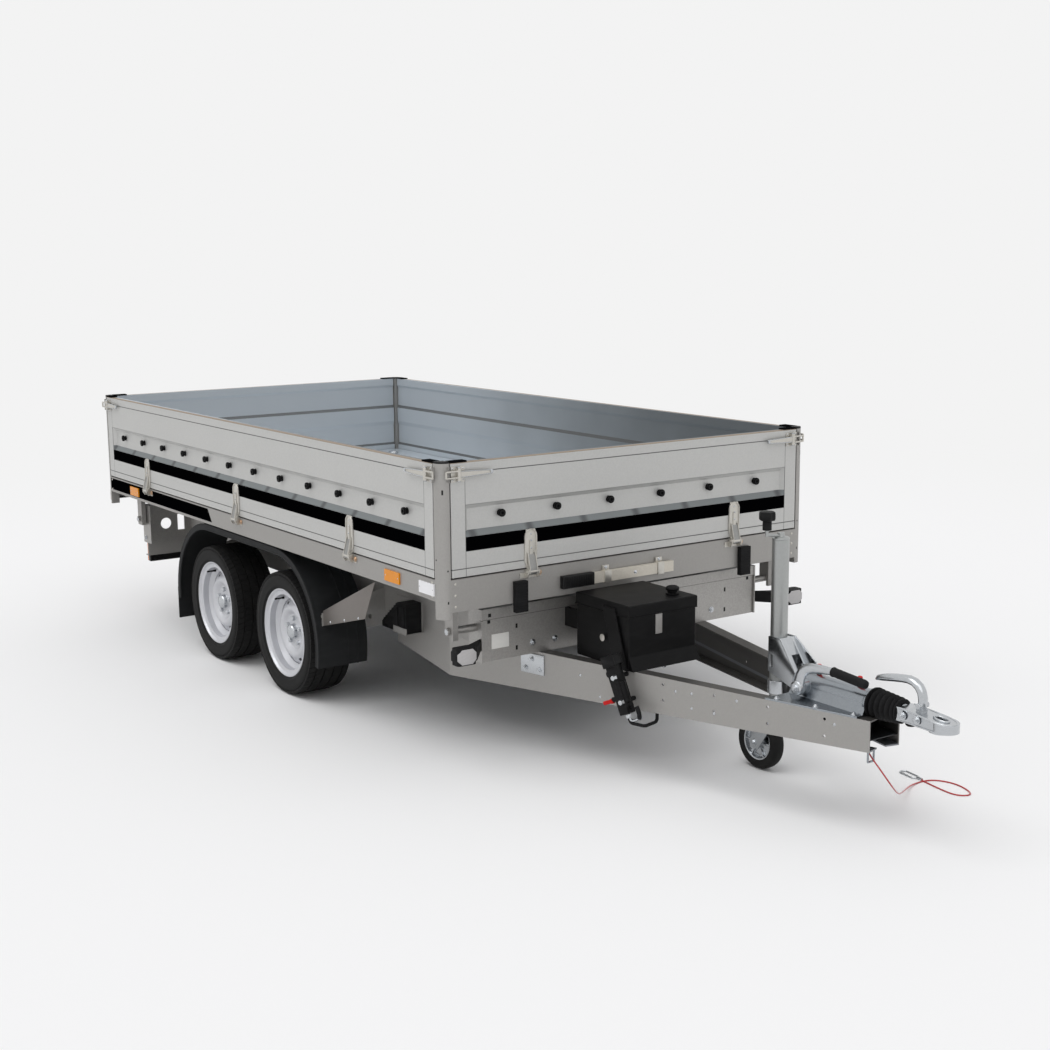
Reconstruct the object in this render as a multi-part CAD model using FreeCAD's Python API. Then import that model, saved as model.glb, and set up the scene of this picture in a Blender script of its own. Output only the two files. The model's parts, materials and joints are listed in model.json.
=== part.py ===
import FreeCAD, Part
import math
import os

# Tandem axle tipping trailer with four drop boards and a V drawbar.
# Millimetres. X points to the trailer's left, Y to its rear, Z up.
# Every piece is placed from the front face of the bed, on the ground, at
# the middle of the width, and is moved by ORIGIN_SHIFT when it is written,
# so that the origin lies under the middle of the whole trailer.

# Bed, boards and rails
BED_WIDTH = 1716.0
BED_LENGTH = 3230.0
BOARD_BOTTOM = 725.0
BOARD_HEIGHT = 400.0
BOARD_WALL = 30.0
MOVING_GAP = 5.0
TOUCH_GAP = 0.3
RAIL_GAP = 5.0
SIDE_RAIL_HEIGHT = 76.0
END_RAIL_HEIGHT = 117.0
RAIL_WALL = 3.0
RAIL_FLANGE = 45.0

# Pressed form of a board, depths inward and heights from its lower edge
POCKET_DEPTH = 15.0
POCKET_LOW = 140.0
POCKET_HIGH = 251.0
POCKET_SLOPE_LOW = 20.0
POCKET_SLOPE_HIGH = 15.0
END_BAND = 58.0
LIP_LINE = 364.0
HEM_LINE = 28.0
LINE_DEPTH = 1.5
LINE_HALF = 1.5
INNER_STEP = 6.0
INNER_RAMP = 12.0

# Knobs for a tarpaulin
KNOB_RADIUS = 13.5
KNOB_STEM_RADIUS = 8.0
KNOB_STAND = 18.0
KNOB_HEAD = 9.0
KNOB_HEIGHT = 208.0
SIDE_KNOBS = 12
END_KNOBS = 6
SIDE_KNOB_END = 200.5
END_KNOB_END = 210.5

# Board hinges, straps on the boards and brackets on the rails
HINGE_OUT = 14.0
HINGE_DROP = 13.0
HINGE_PIN_RADIUS = 5.0
HINGE_RUNNING = 0.05
HINGE_EYE_RADIUS = 9.0
STRAP_HALF = 20.0
STRAP_WALL = 4.0
STRAP_TOP = 138.0
STRAP_SET_IN = 3.0
STRAP_SWAGE = 3.0
STRAP_SWAGE_SHARE = 1 / 3
EAR_GAP = 1.5
EAR_WALL = 4.0
EAR_DROP = 24.0
BRACKET_HALF = 46.0
BRACKET_WALL = 2.0
SIDE_HINGE_FRONT = 645.0
SIDE_HINGE_PITCH = 1013.0
SIDE_HINGES = 3
END_HINGE_OUT = 484.0

# Corner posts and their caps
POST_SIZE = 40.0
POST_ROUND = 34.0
POST_WALL = 3.0
POST_BOTTOM = 580.0
CAP_HEIGHT = 6.0
CAP_ARM = 66.0
CAP_LEDGE = 3.0

# Corner latches
LATCH_PLATE_LENGTH = 56.0
LATCH_PLATE_HEIGHT = 54.0
LATCH_PLATE_WALL = 3.0
LATCH_TOP_DROP = 12.0
LATCH_LEVER_LENGTH = 136.0
LATCH_LEVER_WALL = 6.0
LATCH_LEVER_BIG = 22.0
LATCH_LEVER_SMALL = 12.0
LATCH_KNUCKLE = 8.0
LATCH_BOW_RADIUS = 3.5
LATCH_BOW_GAP = 1.0
LATCH_KEEPER_OUT = 9.0
LATCH_KEEPER_WALL = 4.0
REAR_LEVER_LENGTH = 120.0
REAR_LEVER_SHARE = 1 / 3
REAR_LEVER_KINK = 22.0
REAR_LEVER_WIDTH = 20.0
REAR_PLATE_HEIGHT = 176.0
REAR_PLATE_WIDTH = 34.0
REAR_PLATE_WALL = 6.0
REAR_PIN_RADIUS = 5.0
REAR_PIN_OUT = 15.0

# Floor and members under it
FLOOR_TOP = 727.0
FLOOR_WALL = 5.0
FLOOR_SWAGES = 5
FLOOR_SWAGE_WIDTH = 40.0
FLOOR_SWAGE_HEIGHT = 3.0
BEARERS = 7
BEARER_WIDTH = 60.0
BEARER_HEIGHT = 62.0
BEARER_WALL = 3.0
BED_BEAM_OUT = 430.0
BED_BEAM_WIDTH = 60.0
BED_BEAM_BOTTOM = 592.0

# Chassis frame
CHASSIS_TOP = 580.0
CHASSIS_BOTTOM = 386.0
BEAM_OUT = 520.0
BEAM_FLANGE = 60.0
BEAM_WALL = 4.0
FRONT_BEAM_FACE = 65.0
FRONT_BEAM_DEPTH = 70.0
FRONT_BEAM_HALF = 652.0
FRONT_BEAM_FOLD = 40.0
FRONT_FOLD_STEP = 6.0
REAR_BEAM_FACE = 2992.0
REAR_BEAM_DEPTH = 80.0
REAR_BEAM_HALF = 734.0
END_PLATE_WALL = 6.0
END_PLATE_LIP = 8.0
WEB_HOLE_RADIUS = 28.0
WEB_SLOT_LENGTH = 80.0
WEB_SLOT_WIDTH = 36.0

# Tipping pivots at the four corners of the chassis
PIVOT_OUT = 757.0
PIVOT_HEIGHT = 510.0
PIVOT_FRONT = 100.0
PIVOT_REAR = 3050.0
PIVOT_PIN_RADIUS = 14.0
PIVOT_RUNNING = 0.05
FORK_WALL = 22.0
FORK_WIDTH = 52.0
FORK_DROP = 30.0
FORK_FOOT = 12.0

# Drawbar
DRAWBAR_BOTTOM = 284.0
DRAWBAR_FRONT = -1240.0
DRAWBAR_NOSE_HALF = 68.0
DRAWBAR_BEND = 504.0
DRAWBAR_BEND_OUT = 516.0
DRAWBAR_END = 900.0
DRAWBAR_DEEP = 220.0
DRAWBAR_TAIL = 276.0
DRAWBAR_WALL = 5.0
DRAWBAR_FLANGE = 50.0
DRAWBAR_HOLE_RADIUS = 5.0
DRAWBAR_HOLES = 5
DRAWBAR_HOLE_FIRST = 160.0
DRAWBAR_HOLE_PITCH = 210.0
DRAWBAR_HOLE_SPREAD = 56.0

# Overrun housing and coupling
HOUSING_PLATE_WALL = 6.0
HOUSING_REAR = -870.0
HOUSING_FRONT = -1195.0
HOUSING_RADIUS = 40.0
HOUSING_BORE = 26.0
HOUSING_AXIS = 424.0
HOUSING_SADDLE_HALF = 56.0
HOUSING_LUG_RADIUS = 24.0
HOUSING_LUG_WALL = 12.0
NIPPLE_RADIUS = 6.0
NIPPLE_HEIGHT = 14.0
NIPPLE_SHARES = (1 / 4, 4 / 5)
SHAFT_RADIUS = 25.0
BELLOWS_REAR = -1195.5
BELLOWS_FRONT = -1312.0
BELLOWS_RIBS = 5
BELLOWS_BIG = 47.0
BELLOWS_SMALL = 36.0
BELLOWS_BORE = 26.0
COUPLING_REAR = -1312.5
COUPLING_TIP = -1520.0
COUPLING_HALF = 32.0
COUPLING_HEIGHT = 44.0
COUPLING_WALL = 5.0
BALL_Y = -1462.0
BALL_HEIGHT = 405.0
SOCKET_RADIUS = 25.5
SOCKET_OUTER = 37.0
COUPLING_SLOT_LENGTH = 46.0
COUPLING_SLOT_WIDTH = 22.0
COUPLING_BOLT_RADIUS = 9.0
COUPLING_BOLT_SHARES = (1 / 4, 3 / 4)
HANDLE_RADIUS = 12.0
HANDLE_PIVOT_Y = -1385.0
HANDLE_PIVOT_RADIUS = 10.0
LEVER_RADIUS = 11.0
LEVER_CHEEK = 2.0
LEVER_PIVOT_Y = -930.0
LEVER_SIDE = 36.0
LEVER_RISE = 76.0
LEVER_GRIP_Y = -1085.0
LEVER_TIP_Y = -1225.0
LEVER_GRIP_RADIUS = 14.0
LEVER_BEND_RADIUS = 46.5
GUIDE_Y = -1222.0
GUIDE_SIDE = 40.0
GUIDE_WIDTH = 26.0
GUIDE_DROP = 38.0
GUIDE_ROD = 3.5

# Jockey wheel and its clamp
JACK_X = 143.0
JACK_Y = -615.0
JACK_TOP = 846.0
JACK_TUBE_BOTTOM = 262.0
JACK_RADIUS = 30.0
JACK_WALL = 3.5
JACK_RUNNING = 0.05
LEG_RADIUS = JACK_RADIUS - JACK_WALL - JACK_RUNNING
LEG_TOP = 560.0
LEG_BOTTOM = 214.0
SWIVEL_RADIUS = 20.0
SWIVEL_WALL = 8.0
FORK_PLATE = 5.0
FORK_INSIDE = 31.0
JACK_TRAIL = 80.0
JACK_WHEEL_RADIUS = 100.0
JACK_TYRE_WIDTH = 50.0
JACK_BEAD_SHARE = 4 / 5
JACK_RIM_RADIUS = 66.0
JACK_HUB_RADIUS = 20.0
JACK_AXLE_RADIUS = 8.0
CRANK_HUB_RADIUS = 12.0
CRANK_HUB_HEIGHT = 22.0
CRANK_ARM_LENGTH = 66.0
CRANK_ARM_RADIUS = 6.0
CRANK_GRIP_RADIUS = 13.0
CRANK_GRIP_HEIGHT = 34.0
CRANK_KNOB_RADIUS = 24.0
CRANK_KNOB_HEIGHT = 30.0
CLAMP_RADIUS = 37.0
CLAMP_BAND = 46.0
CLAMP_BAND_Z = 396.0
CLAMP_LOW_Z = 300.0
CLAMP_GUSSET_LENGTH = 150.0
CLAMP_GUSSET_HEIGHT = 110.0
CLAMP_PLATE = 5.0
CLAMP_FOOT = 52.0

# Pump box, hand pump and hose
BOX_LEFT = 4.0
BOX_RIGHT = -303.0
BOX_FRONT = -335.0
BOX_REAR = -30.0
BOX_TOP = 617.0
BOX_BOTTOM = 386.0
BOX_ROUND = 6.0
BOX_LID = 40.0
BOX_LID_LAP = 3.0
BOX_SHELF = 24.0
FILLER_RADIUS = 15.0
FILLER_CAP_RADIUS = 20.0
FILLER_HEIGHT = 22.0
FILLER_SET_IN = 60.0
STRAP_ARM_WIDTH = 70.0
STRAP_ARM_WALL = 6.0
PUMP_Y = -300.0
PUMP_TILT = 22.0
PUMP_STAND = 26.0
PUMP_BODY_HALF = 19.0
PUMP_BODY_DEPTH = 42.0
PUMP_LENGTH = 176.0
PUMP_ROD_SHARE = 2 / 3
PUMP_RELEASE_REACH = 27.0
PUMP_STUD_SHARES = (1 / 4, 3 / 4)
PUMP_TOP = 412.0
PUMP_HEAD_HALF = 26.0
PUMP_HEAD_HEIGHT = 34.0
PUMP_ROD_RADIUS = 9.0
PUMP_STUD_RADIUS = 8.0
HOSE_RADIUS = 6.0
HOSE_BEND = 26.0
HOSE_DROP = 34.0
HOSE_RUN = 60.0

# Stored pump handle on the front rail
PUMP_BAR_WIDTH = 40.0
PUMP_BAR_DEPTH = 16.0
PUMP_BAR_RIGHT = -214.0
PUMP_BAR_LEFT = 165.0
PUMP_BAR_Z = 652.0
PUMP_GRIP_LENGTH = 140.0
PUMP_GRIP_EXTRA = 3.0
PUMP_CLIP_WIDTH = 30.0
PUMP_CLIP_WALL = 3.0
PUMP_CLIP_SHARES = (1 / 6, 5 / 6)

# Lamps, buffers and reflectors
LAMP_OUT = 784.0
LAMP_HALF = 39.0
LAMP_HEIGHT = 60.0
LAMP_DEPTH = 46.0
LAMP_Z = 451.0
LAMP_Y = -22.0
LAMP_ARM_HEIGHT = 44.0
LAMP_SLEEVE = 4.0
BUFFER_OUT = 534.0
BUFFER_WIDTH = 52.0
BUFFER_DEPTH = 20.0
BUFFER_TOP = 682.0
BUFFER_BOTTOM = 570.0
REFLECTOR_LENGTH = 105.0
REFLECTOR_HEIGHT = 42.0
REFLECTOR_WALL = 6.0
REFLECTOR_Z = 682.0
REFLECTOR_FRONT = 331.0
REFLECTOR_REAR = 2856.0
WHITE_FRONT = 88.0
REAR_LAMP_WIDTH = 220.0
REAR_LAMP_HEIGHT = 104.0
REAR_LAMP_DEPTH = 50.0
REAR_LAMP_OUT = 600.0
REAR_LAMP_Z = 330.0
REAR_BAR_HEIGHT = 70.0
REAR_BAR_DEPTH = 34.0
NUMBER_PLATE_HALF = 260.0
NUMBER_PLATE_HEIGHT = 112.0
NUMBER_PLATE_WALL = 4.0

# Wheels, axles and mudguards
AXLE_FRONT = 1349.0
AXLE_REAR = 2056.0
TYRE_RADIUS = 262.5
TYRE_WIDTH = 195.0
TYRE_OUT = 719.5
TYRE_BEAD = 168.0
TYRE_SHOULDER = 24.0
RIM_FLANGE_RADIUS = 182.0
RIM_SEAT_RADIUS = 165.0
RIM_WELL_RADIUS = 142.0
RIM_HALF = 80.0
RIM_INSET = 12.0
RIM_WALL = 6.0
RIM_WELL_SHARE = 1 / 3
RIM_STEP_SHARE = 1 / 5
RIM_OFFSET = 30.0
DISC_DISH = 22.0
DISC_DISH_SHARE = 1 / 3
HUB_BORE = 33.0
DISC_SEAT_RADIUS = 72.0
DISC_CROWN_RADIUS = 96.0
RIM_WINDOWS = 10
RIM_WINDOW_RADIUS = 9.0
RIM_WINDOW_CIRCLE = 118.0
STUD_CIRCLE = 56.0
STUDS = 5
STUD_TURN_SHARE = 1 / 4
STUD_RADIUS = 10.0
STUD_HEIGHT = 14.0
DRUM_RADIUS = 118.0
DRUM_LENGTH = 76.0
HUB_CAP_RADIUS = 32.0
HUB_CAP_LENGTH = 30.0
HUB_FLANGE_RADIUS = 84.0
HUB_NOSE_RADIUS = 24.0
BACKPLATE_RADIUS = 120.0
BACKPLATE_WALL = 4.0
BACKPLATE_GAP = 5.0
STUB_RADIUS = 17.5
STUB_RUNNING = 0.05
ARM_LEAD = 130.0
ARM_RISE = 50.0
ARM_WALL = 26.0
ARM_BIG = 46.0
ARM_SMALL = 34.0
ARM_TUBE_SHARE = 3 / 4
AXLE_TUBE_HALF = 38.0
AXLE_TUBE_REACH = 548.0
AXLE_PLATE_HALF = 60.0
AXLE_PLATE_WALL = 8.0
GUARD_RADIUS = 365.0
GUARD_WALL = 4.0
GUARD_OUT = 835.0
GUARD_IN = 612.0
GUARD_LIP = 26.0
GUARD_FRONT_ANGLE = 192.0
GUARD_REAR_ANGLE = -6.0
GUARD_SKIRT = 44.0
FLAP_WALL = 5.0
FLAP_LENGTH = 150.0
GUARD_STAY_HEIGHT = 96.0
GUARD_STAY_WALL = 3.0

# Chocks in their holders
CHOCK_LENGTH = 190.0
CHOCK_HEIGHT = 120.0
CHOCK_WIDTH = 70.0
CHOCK_NOSE = 22.0
CHOCK_TOP_SHARE = 1 / 3
CHOCK_Y = 700.0
CHOCK_Z = 352.0
CHOCK_HOLDER_WALL = 3.0
CHOCK_HOLDER_GAP = 4.0

# Lifting ram under the bed
RAM_Y = 1615.0
RAM_FOOT_Z = 330.0
RAM_BARREL_RADIUS = 70.0
RAM_BARREL_WALL = 6.0
RAM_BARREL_BOTTOM = 252.0
RAM_BARREL_TOP = 560.0
RAM_STAGES = 4
RAM_STAGE_WALL = 6.5
RAM_CLEARANCE = 0.5
RAM_STAGE_RISE = 7.0
RAM_FLOOR_LIFT = 5.0
RAM_BALL_RADIUS = 22.0
RAM_NECK_SHARE = 2 / 3
RAM_BALL_Z = 622.0
RAM_CUP_GAP = 1.0
RAM_CUP_RADIUS = 38.0
RAM_TRUNNION_RADIUS = 16.0
RAM_TRUNNION_REACH = 92.0
RAM_CRADLE_HALF = 104.0
RAM_CRADLE_WALL = 10.0
CROSS_HEIGHT = 70.0
CROSS_DEPTH = 50.0
CROSS_WALL = 4.0
CROSS_OFFSET = 150.0

# Breakaway cable, a free red cord with a snap hook on it
CABLE_RADIUS = 2.5
CABLE_LIFT = 0.1
CABLE_RUNS = 24
CABLE_BEND_SHARE = 9 / 20
CABLE_ROUTE = [
    (0.0, -1120.0, 378.0),
    (-6.0, -1148.0, 330.0),
    (-24.0, -1184.0, 284.0),
    (-40.0, -1222.0, 262.0),
    (-40.0, -1266.0, 228.0),
    (-6.0, -1282.0, 174.0),
    (90.0, -1222.0, 112.0),
    (215.0, -1128.0, 60.0),
    (335.0, -1038.0, 20.0),
    (440.0, -980.0, 2.6),
    (530.0, -985.0, 2.6),
    (566.0, -1070.0, 2.6),
    (525.0, -1178.0, 2.6),
    (468.0, -1150.0, 2.6),
    (476.0, -1060.0, 2.6),
    (494.0, -975.0, 2.6),
]
FERRULE_RADIUS = 4.5
FERRULE_LENGTH = 26.0
HOOK_ROD = 3.0
HOOK_LENGTH = 90.0
HOOK_WIDTH = 34.0
HOOK_EYE = 7.0
HOOK_GATE_SHARE = 2 / 3

# Overruns and the shift of the whole trailer to its middle
OVERRUN = 20.0
LATCH_REACH = LATCH_PLATE_WALL + LATCH_KNUCKLE + LATCH_LEVER_WALL
REAR_REACH = BED_LENGTH + LATCH_REACH + REAR_LEVER_KINK / 2
ORIGIN_SHIFT = -(COUPLING_TIP + REAR_REACH) / 2

BOARD_TOP = BOARD_BOTTOM + BOARD_HEIGHT
HALF_WIDTH = BED_WIDTH / 2
RAIL_TOP = BOARD_BOTTOM - RAIL_GAP
SIDE_RAIL_BOTTOM = RAIL_TOP - SIDE_RAIL_HEIGHT
END_RAIL_BOTTOM = RAIL_TOP - END_RAIL_HEIGHT
HINGE_Z = BOARD_BOTTOM - HINGE_DROP
SIDE_BOARD_LENGTH = BED_LENGTH - 2 * (POST_SIZE + MOVING_GAP)
END_BOARD_LENGTH = BED_WIDTH - 2 * (POST_SIZE + MOVING_GAP)
WHEEL_Z = TYRE_RADIUS

NODES = {}


def vec(x, y, z):
    return FreeCAD.Vector(x, y, z)


def block(x0, x1, y0, y1, z0, z1):
    """A box between two corners."""
    corner = vec(min(x0, x1), min(y0, y1), min(z0, z1))
    return Part.makeBox(abs(x1 - x0), abs(y1 - y0), abs(z1 - z0), corner)


def rod(start, end, radius):
    """A round bar between two points."""
    run = end.sub(start)
    return Part.makeCylinder(radius, run.Length, start, run)


def tube(start, end, outer, inner):
    """A round tube between two points."""
    return rod(start, end, outer).cut(rod(start, end, inner))


def prism(points, run):
    """A closed outline pushed along a vector."""
    wire = Part.makePolygon(points + [points[0]])
    return Part.Face(wire).extrude(run)


def lathe(profile, origin, axis):
    """Turn (radius, distance along axis) pairs about an axis through origin."""
    turn = FreeCAD.Rotation(vec(0, 0, 1), axis)
    points = [vec(r, 0, h) for r, h in profile]
    wire = Part.makePolygon(points + [points[0]])
    solid = Part.Face(wire).revolve(vec(0, 0, 0), vec(0, 0, 1), 360)
    solid.Placement = FreeCAD.Placement(origin, turn)
    return solid


def fuse(shapes):
    """Join touching or overlapping solids into one."""
    joined = shapes[0]
    if len(shapes) > 1:
        joined = shapes[0].multiFuse(shapes[1:])
    return joined.removeSplitter()


def mirrored(shape):
    """The same piece on the trailer's other side."""
    return shape.mirror(vec(0, 0, 0), vec(1, 0, 0))


def both_sides(shape):
    return [shape, mirrored(shape)]


def save(name, solids):
    """Keep the solids of one node, moved to the shared origin."""
    parts = []
    for shape in solids:
        for solid in shape.Solids:
            moved = solid.copy()
            moved.translate(vec(0, ORIGIN_SHIFT, 0))
            parts.append(moved)
    NODES[name] = parts


def place(shape, side):
    """Put a piece drawn for the front board on any of the four sides."""
    angle = {"front": 0, "right": -90, "left": 90, "rear": 180}[side]
    spot = {
        "front": vec(0, 0, 0),
        "right": vec(-HALF_WIDTH, BED_LENGTH / 2, 0),
        "left": vec(HALF_WIDTH, BED_LENGTH / 2, 0),
        "rear": vec(0, BED_LENGTH, 0),
    }[side]
    moved = shape.copy()
    moved.rotate(vec(0, 0, 0), vec(0, 0, 1), angle)
    moved.translate(spot)
    return moved


def board_length(side):
    return END_BOARD_LENGTH if side in ("front", "rear") else SIDE_BOARD_LENGTH


def board_panel(length):
    """One pressed board: outer pocket for the knobs, ribbed inner face."""
    half = length / 2
    low = BOARD_BOTTOM
    flat = BOARD_WALL - INNER_STEP
    outline = [
        (0, low),
        (0, low + HEM_LINE - LINE_HALF),
        (LINE_DEPTH, low + HEM_LINE),
        (0, low + HEM_LINE + LINE_HALF),
        (0, low + LIP_LINE - LINE_HALF),
        (LINE_DEPTH, low + LIP_LINE),
        (0, low + LIP_LINE + LINE_HALF),
        (0, BOARD_TOP),
        (BOARD_WALL, BOARD_TOP),
        (BOARD_WALL, low + LIP_LINE),
        (flat, low + LIP_LINE - INNER_RAMP),
        (flat, low + POCKET_HIGH),
        (BOARD_WALL, low + POCKET_HIGH - POCKET_SLOPE_HIGH),
        (BOARD_WALL, low + POCKET_LOW + POCKET_SLOPE_LOW),
        (flat, low + POCKET_LOW),
        (flat, low + HEM_LINE + INNER_RAMP),
        (BOARD_WALL, low + HEM_LINE),
        (BOARD_WALL, low),
    ]
    points = [vec(-half, d, z) for d, z in outline]
    return prism(points, vec(length, 0, 0)).cut(board_pocket(half))


def board_pocket(half):
    """The sunk field between the end bands, with sloping sides all round."""
    reach = half - END_BAND
    mouth = pocket_ring(0, reach, POCKET_LOW, POCKET_HIGH)
    floor = pocket_ring(POCKET_DEPTH, reach - POCKET_SLOPE_HIGH,
                        POCKET_LOW + POCKET_SLOPE_LOW,
                        POCKET_HIGH - POCKET_SLOPE_HIGH)
    return Part.makeLoft([mouth, floor], True, True)


def pocket_ring(depth, reach, low, high):
    z0 = BOARD_BOTTOM + low
    z1 = BOARD_BOTTOM + high
    corners = [vec(-reach, depth, z0), vec(reach, depth, z0),
               vec(reach, depth, z1), vec(-reach, depth, z1)]
    return Part.makePolygon(corners + [corners[0]])


def knob(u):
    """A round tarpaulin knob standing out of the pocket's floor."""
    profile = [
        (0, 0), (KNOB_STEM_RADIUS, 0),
        (KNOB_STEM_RADIUS, KNOB_STAND - KNOB_HEAD),
        (KNOB_RADIUS, KNOB_STAND - KNOB_HEAD),
        (KNOB_RADIUS, KNOB_STAND), (0, KNOB_STAND),
    ]
    spot = vec(u, POCKET_DEPTH, BOARD_BOTTOM + KNOB_HEIGHT)
    return lathe(profile, spot, vec(0, -1, 0))


def knob_row(side):
    ends = side in ("front", "rear")
    count = END_KNOBS if ends else SIDE_KNOBS
    margin = END_KNOB_END if ends else SIDE_KNOB_END
    first = margin - board_length(side) / 2
    pitch = -2 * first / (count - 1)
    return [knob(first + i * pitch) for i in range(count)]


def hinge_places(side):
    """Distances along the board, in the board's own frame."""
    if side in ("front", "rear"):
        return [-END_HINGE_OUT, END_HINGE_OUT]
    turn = 1 if side == "left" else -1
    middle = BED_LENGTH / 2
    spots = [SIDE_HINGE_FRONT + i * SIDE_HINGE_PITCH for i in range(SIDE_HINGES)]
    return [turn * (y - middle) for y in spots]


def hinge_strap(u):
    """A riveted strap with an eye below the board's lower edge."""
    top = BOARD_BOTTOM + STRAP_TOP
    outline = [
        (0, top), (-STRAP_WALL, top - STRAP_WALL),
        (-STRAP_WALL, BOARD_BOTTOM + STRAP_WALL),
        (-HINGE_OUT, HINGE_Z + HINGE_EYE_RADIUS),
        (-HINGE_OUT, HINGE_Z),
        (-STRAP_SET_IN - STRAP_WALL, HINGE_Z),
        (-STRAP_SET_IN, HINGE_Z + STRAP_WALL),
        (-STRAP_SET_IN, BOARD_BOTTOM), (0, BOARD_BOTTOM),
    ]
    left = u - STRAP_HALF
    points = [vec(left, d, z) for d, z in outline]
    plate = prism(points, vec(2 * STRAP_HALF, 0, 0))
    a = vec(left, -HINGE_OUT, HINGE_Z)
    b = vec(u + STRAP_HALF, -HINGE_OUT, HINGE_Z)
    eye = rod(a, b, HINGE_EYE_RADIUS)
    bore = rod(a, b, HINGE_PIN_RADIUS + HINGE_RUNNING)
    half = STRAP_HALF * STRAP_SWAGE_SHARE
    swage = block(u - half, u + half,
                  -STRAP_WALL - STRAP_SWAGE, -STRAP_WALL,
                  BOARD_BOTTOM + HEM_LINE, top - 2 * STRAP_HALF)
    return fuse([plate, eye, swage]).cut(bore)


def hinge_bracket(u):
    """A plate on the rail with two ears and the hinge's pin."""
    inner = STRAP_HALF + EAR_GAP
    outer = inner + EAR_WALL
    reach = HINGE_OUT + HINGE_EYE_RADIUS
    low = HINGE_Z - EAR_DROP
    outline = [
        (0, low), (0, HINGE_Z + HINGE_EYE_RADIUS),
        (-HINGE_OUT, HINGE_Z + HINGE_EYE_RADIUS),
        (-reach, HINGE_Z + HINGE_EYE_RADIUS / 2),
        (-reach, HINGE_Z - HINGE_EYE_RADIUS),
        (-HINGE_OUT, low),
    ]
    pieces = []
    for start in (u - outer, u + inner):
        points = [vec(start, d, z) for d, z in outline]
        pieces.append(prism(points, vec(EAR_WALL, 0, 0)))
    pieces.append(block(u - BRACKET_HALF, u + BRACKET_HALF, -BRACKET_WALL, 0,
                        low, HINGE_Z - HINGE_EYE_RADIUS / 2))
    pin_end = outer + EAR_WALL
    pieces.append(rod(vec(u - pin_end, -HINGE_OUT, HINGE_Z),
                      vec(u + pin_end, -HINGE_OUT, HINGE_Z), HINGE_PIN_RADIUS))
    return fuse(pieces)


def corner_latch(length, hand):
    """Over-centre latch on a board's end band; hand is +1 or -1 along u."""
    end = length / 2
    top = BOARD_TOP - LATCH_TOP_DROP
    low = top - LATCH_PLATE_HEIGHT
    mid = (top + low) / 2
    out = -LATCH_PLATE_WALL
    plate = block(hand * end, hand * (end - LATCH_PLATE_LENGTH), out, 0, low, top)
    knuckle_u = end - LATCH_PLATE_LENGTH / 2
    knuckle_d = out - LATCH_KNUCKLE
    knuckle = rod(vec(hand * knuckle_u, knuckle_d, mid - LATCH_LEVER_BIG),
                  vec(hand * knuckle_u, knuckle_d, mid + LATCH_LEVER_BIG), LATCH_KNUCKLE)
    web = block(hand * (knuckle_u - LATCH_KNUCKLE), hand * (knuckle_u + LATCH_KNUCKLE),
                knuckle_d, out, mid - LATCH_LEVER_BIG, mid + LATCH_LEVER_BIG)
    far = knuckle_u - LATCH_LEVER_LENGTH
    half_big = LATCH_LEVER_BIG / 2
    half_small = LATCH_LEVER_SMALL / 2
    lever = prism([vec(hand * knuckle_u, knuckle_d - LATCH_LEVER_WALL / 2, mid - half_big),
                   vec(hand * knuckle_u, knuckle_d - LATCH_LEVER_WALL / 2, mid + half_big),
                   vec(hand * far, knuckle_d - LATCH_LEVER_WALL / 2, mid + half_small),
                   vec(hand * far, knuckle_d - LATCH_LEVER_WALL / 2, mid - half_small)],
                  vec(0, LATCH_LEVER_WALL, 0))
    return fuse([plate, knuckle, web, lever] + latch_bow(end, knuckle_u, knuckle_d, mid, hand))


def latch_bow(end, knuckle_u, knuckle_d, mid, hand):
    """Wire bow that reaches over the keeper on the post."""
    bow_d = -LATCH_KEEPER_OUT - LATCH_BOW_GAP - LATCH_BOW_RADIUS
    tip = end + MOVING_GAP + POST_SIZE / 2
    bars = []
    for z in (mid - LATCH_LEVER_BIG / 2, mid + LATCH_LEVER_BIG / 2):
        bars.append(rod(vec(hand * knuckle_u, bow_d, z),
                        vec(hand * tip, bow_d, z), LATCH_BOW_RADIUS))
    bars.append(rod(vec(hand * tip, bow_d, mid - LATCH_LEVER_BIG / 2),
                    vec(hand * tip, bow_d, mid + LATCH_LEVER_BIG / 2), LATCH_BOW_RADIUS))
    return bars


def rear_latch(length, hand):
    """Rear latch with its lever hanging down behind the corner."""
    end = length / 2
    top = BOARD_TOP - LATCH_TOP_DROP
    low = top - LATCH_PLATE_HEIGHT
    mid = (top + low) / 2
    out = -LATCH_PLATE_WALL
    knuckle_u = end - LATCH_PLATE_LENGTH / 2
    knuckle_d = out - LATCH_KNUCKLE
    plate = block(hand * end, hand * (end - LATCH_PLATE_LENGTH), out, 0, low, top)
    knuckle = rod(vec(hand * (knuckle_u - LATCH_LEVER_BIG), knuckle_d, mid),
                  vec(hand * (knuckle_u + LATCH_LEVER_BIG), knuckle_d, mid), LATCH_KNUCKLE)
    web = block(hand * (knuckle_u - LATCH_LEVER_BIG), hand * (knuckle_u + LATCH_LEVER_BIG),
                knuckle_d, out, mid - LATCH_KNUCKLE, mid + LATCH_KNUCKLE)
    lever = rear_lever(hand * knuckle_u, knuckle_d, mid)
    return fuse([plate, knuckle, web, lever] + latch_bow(end, knuckle_u, knuckle_d, mid, hand))


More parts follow.
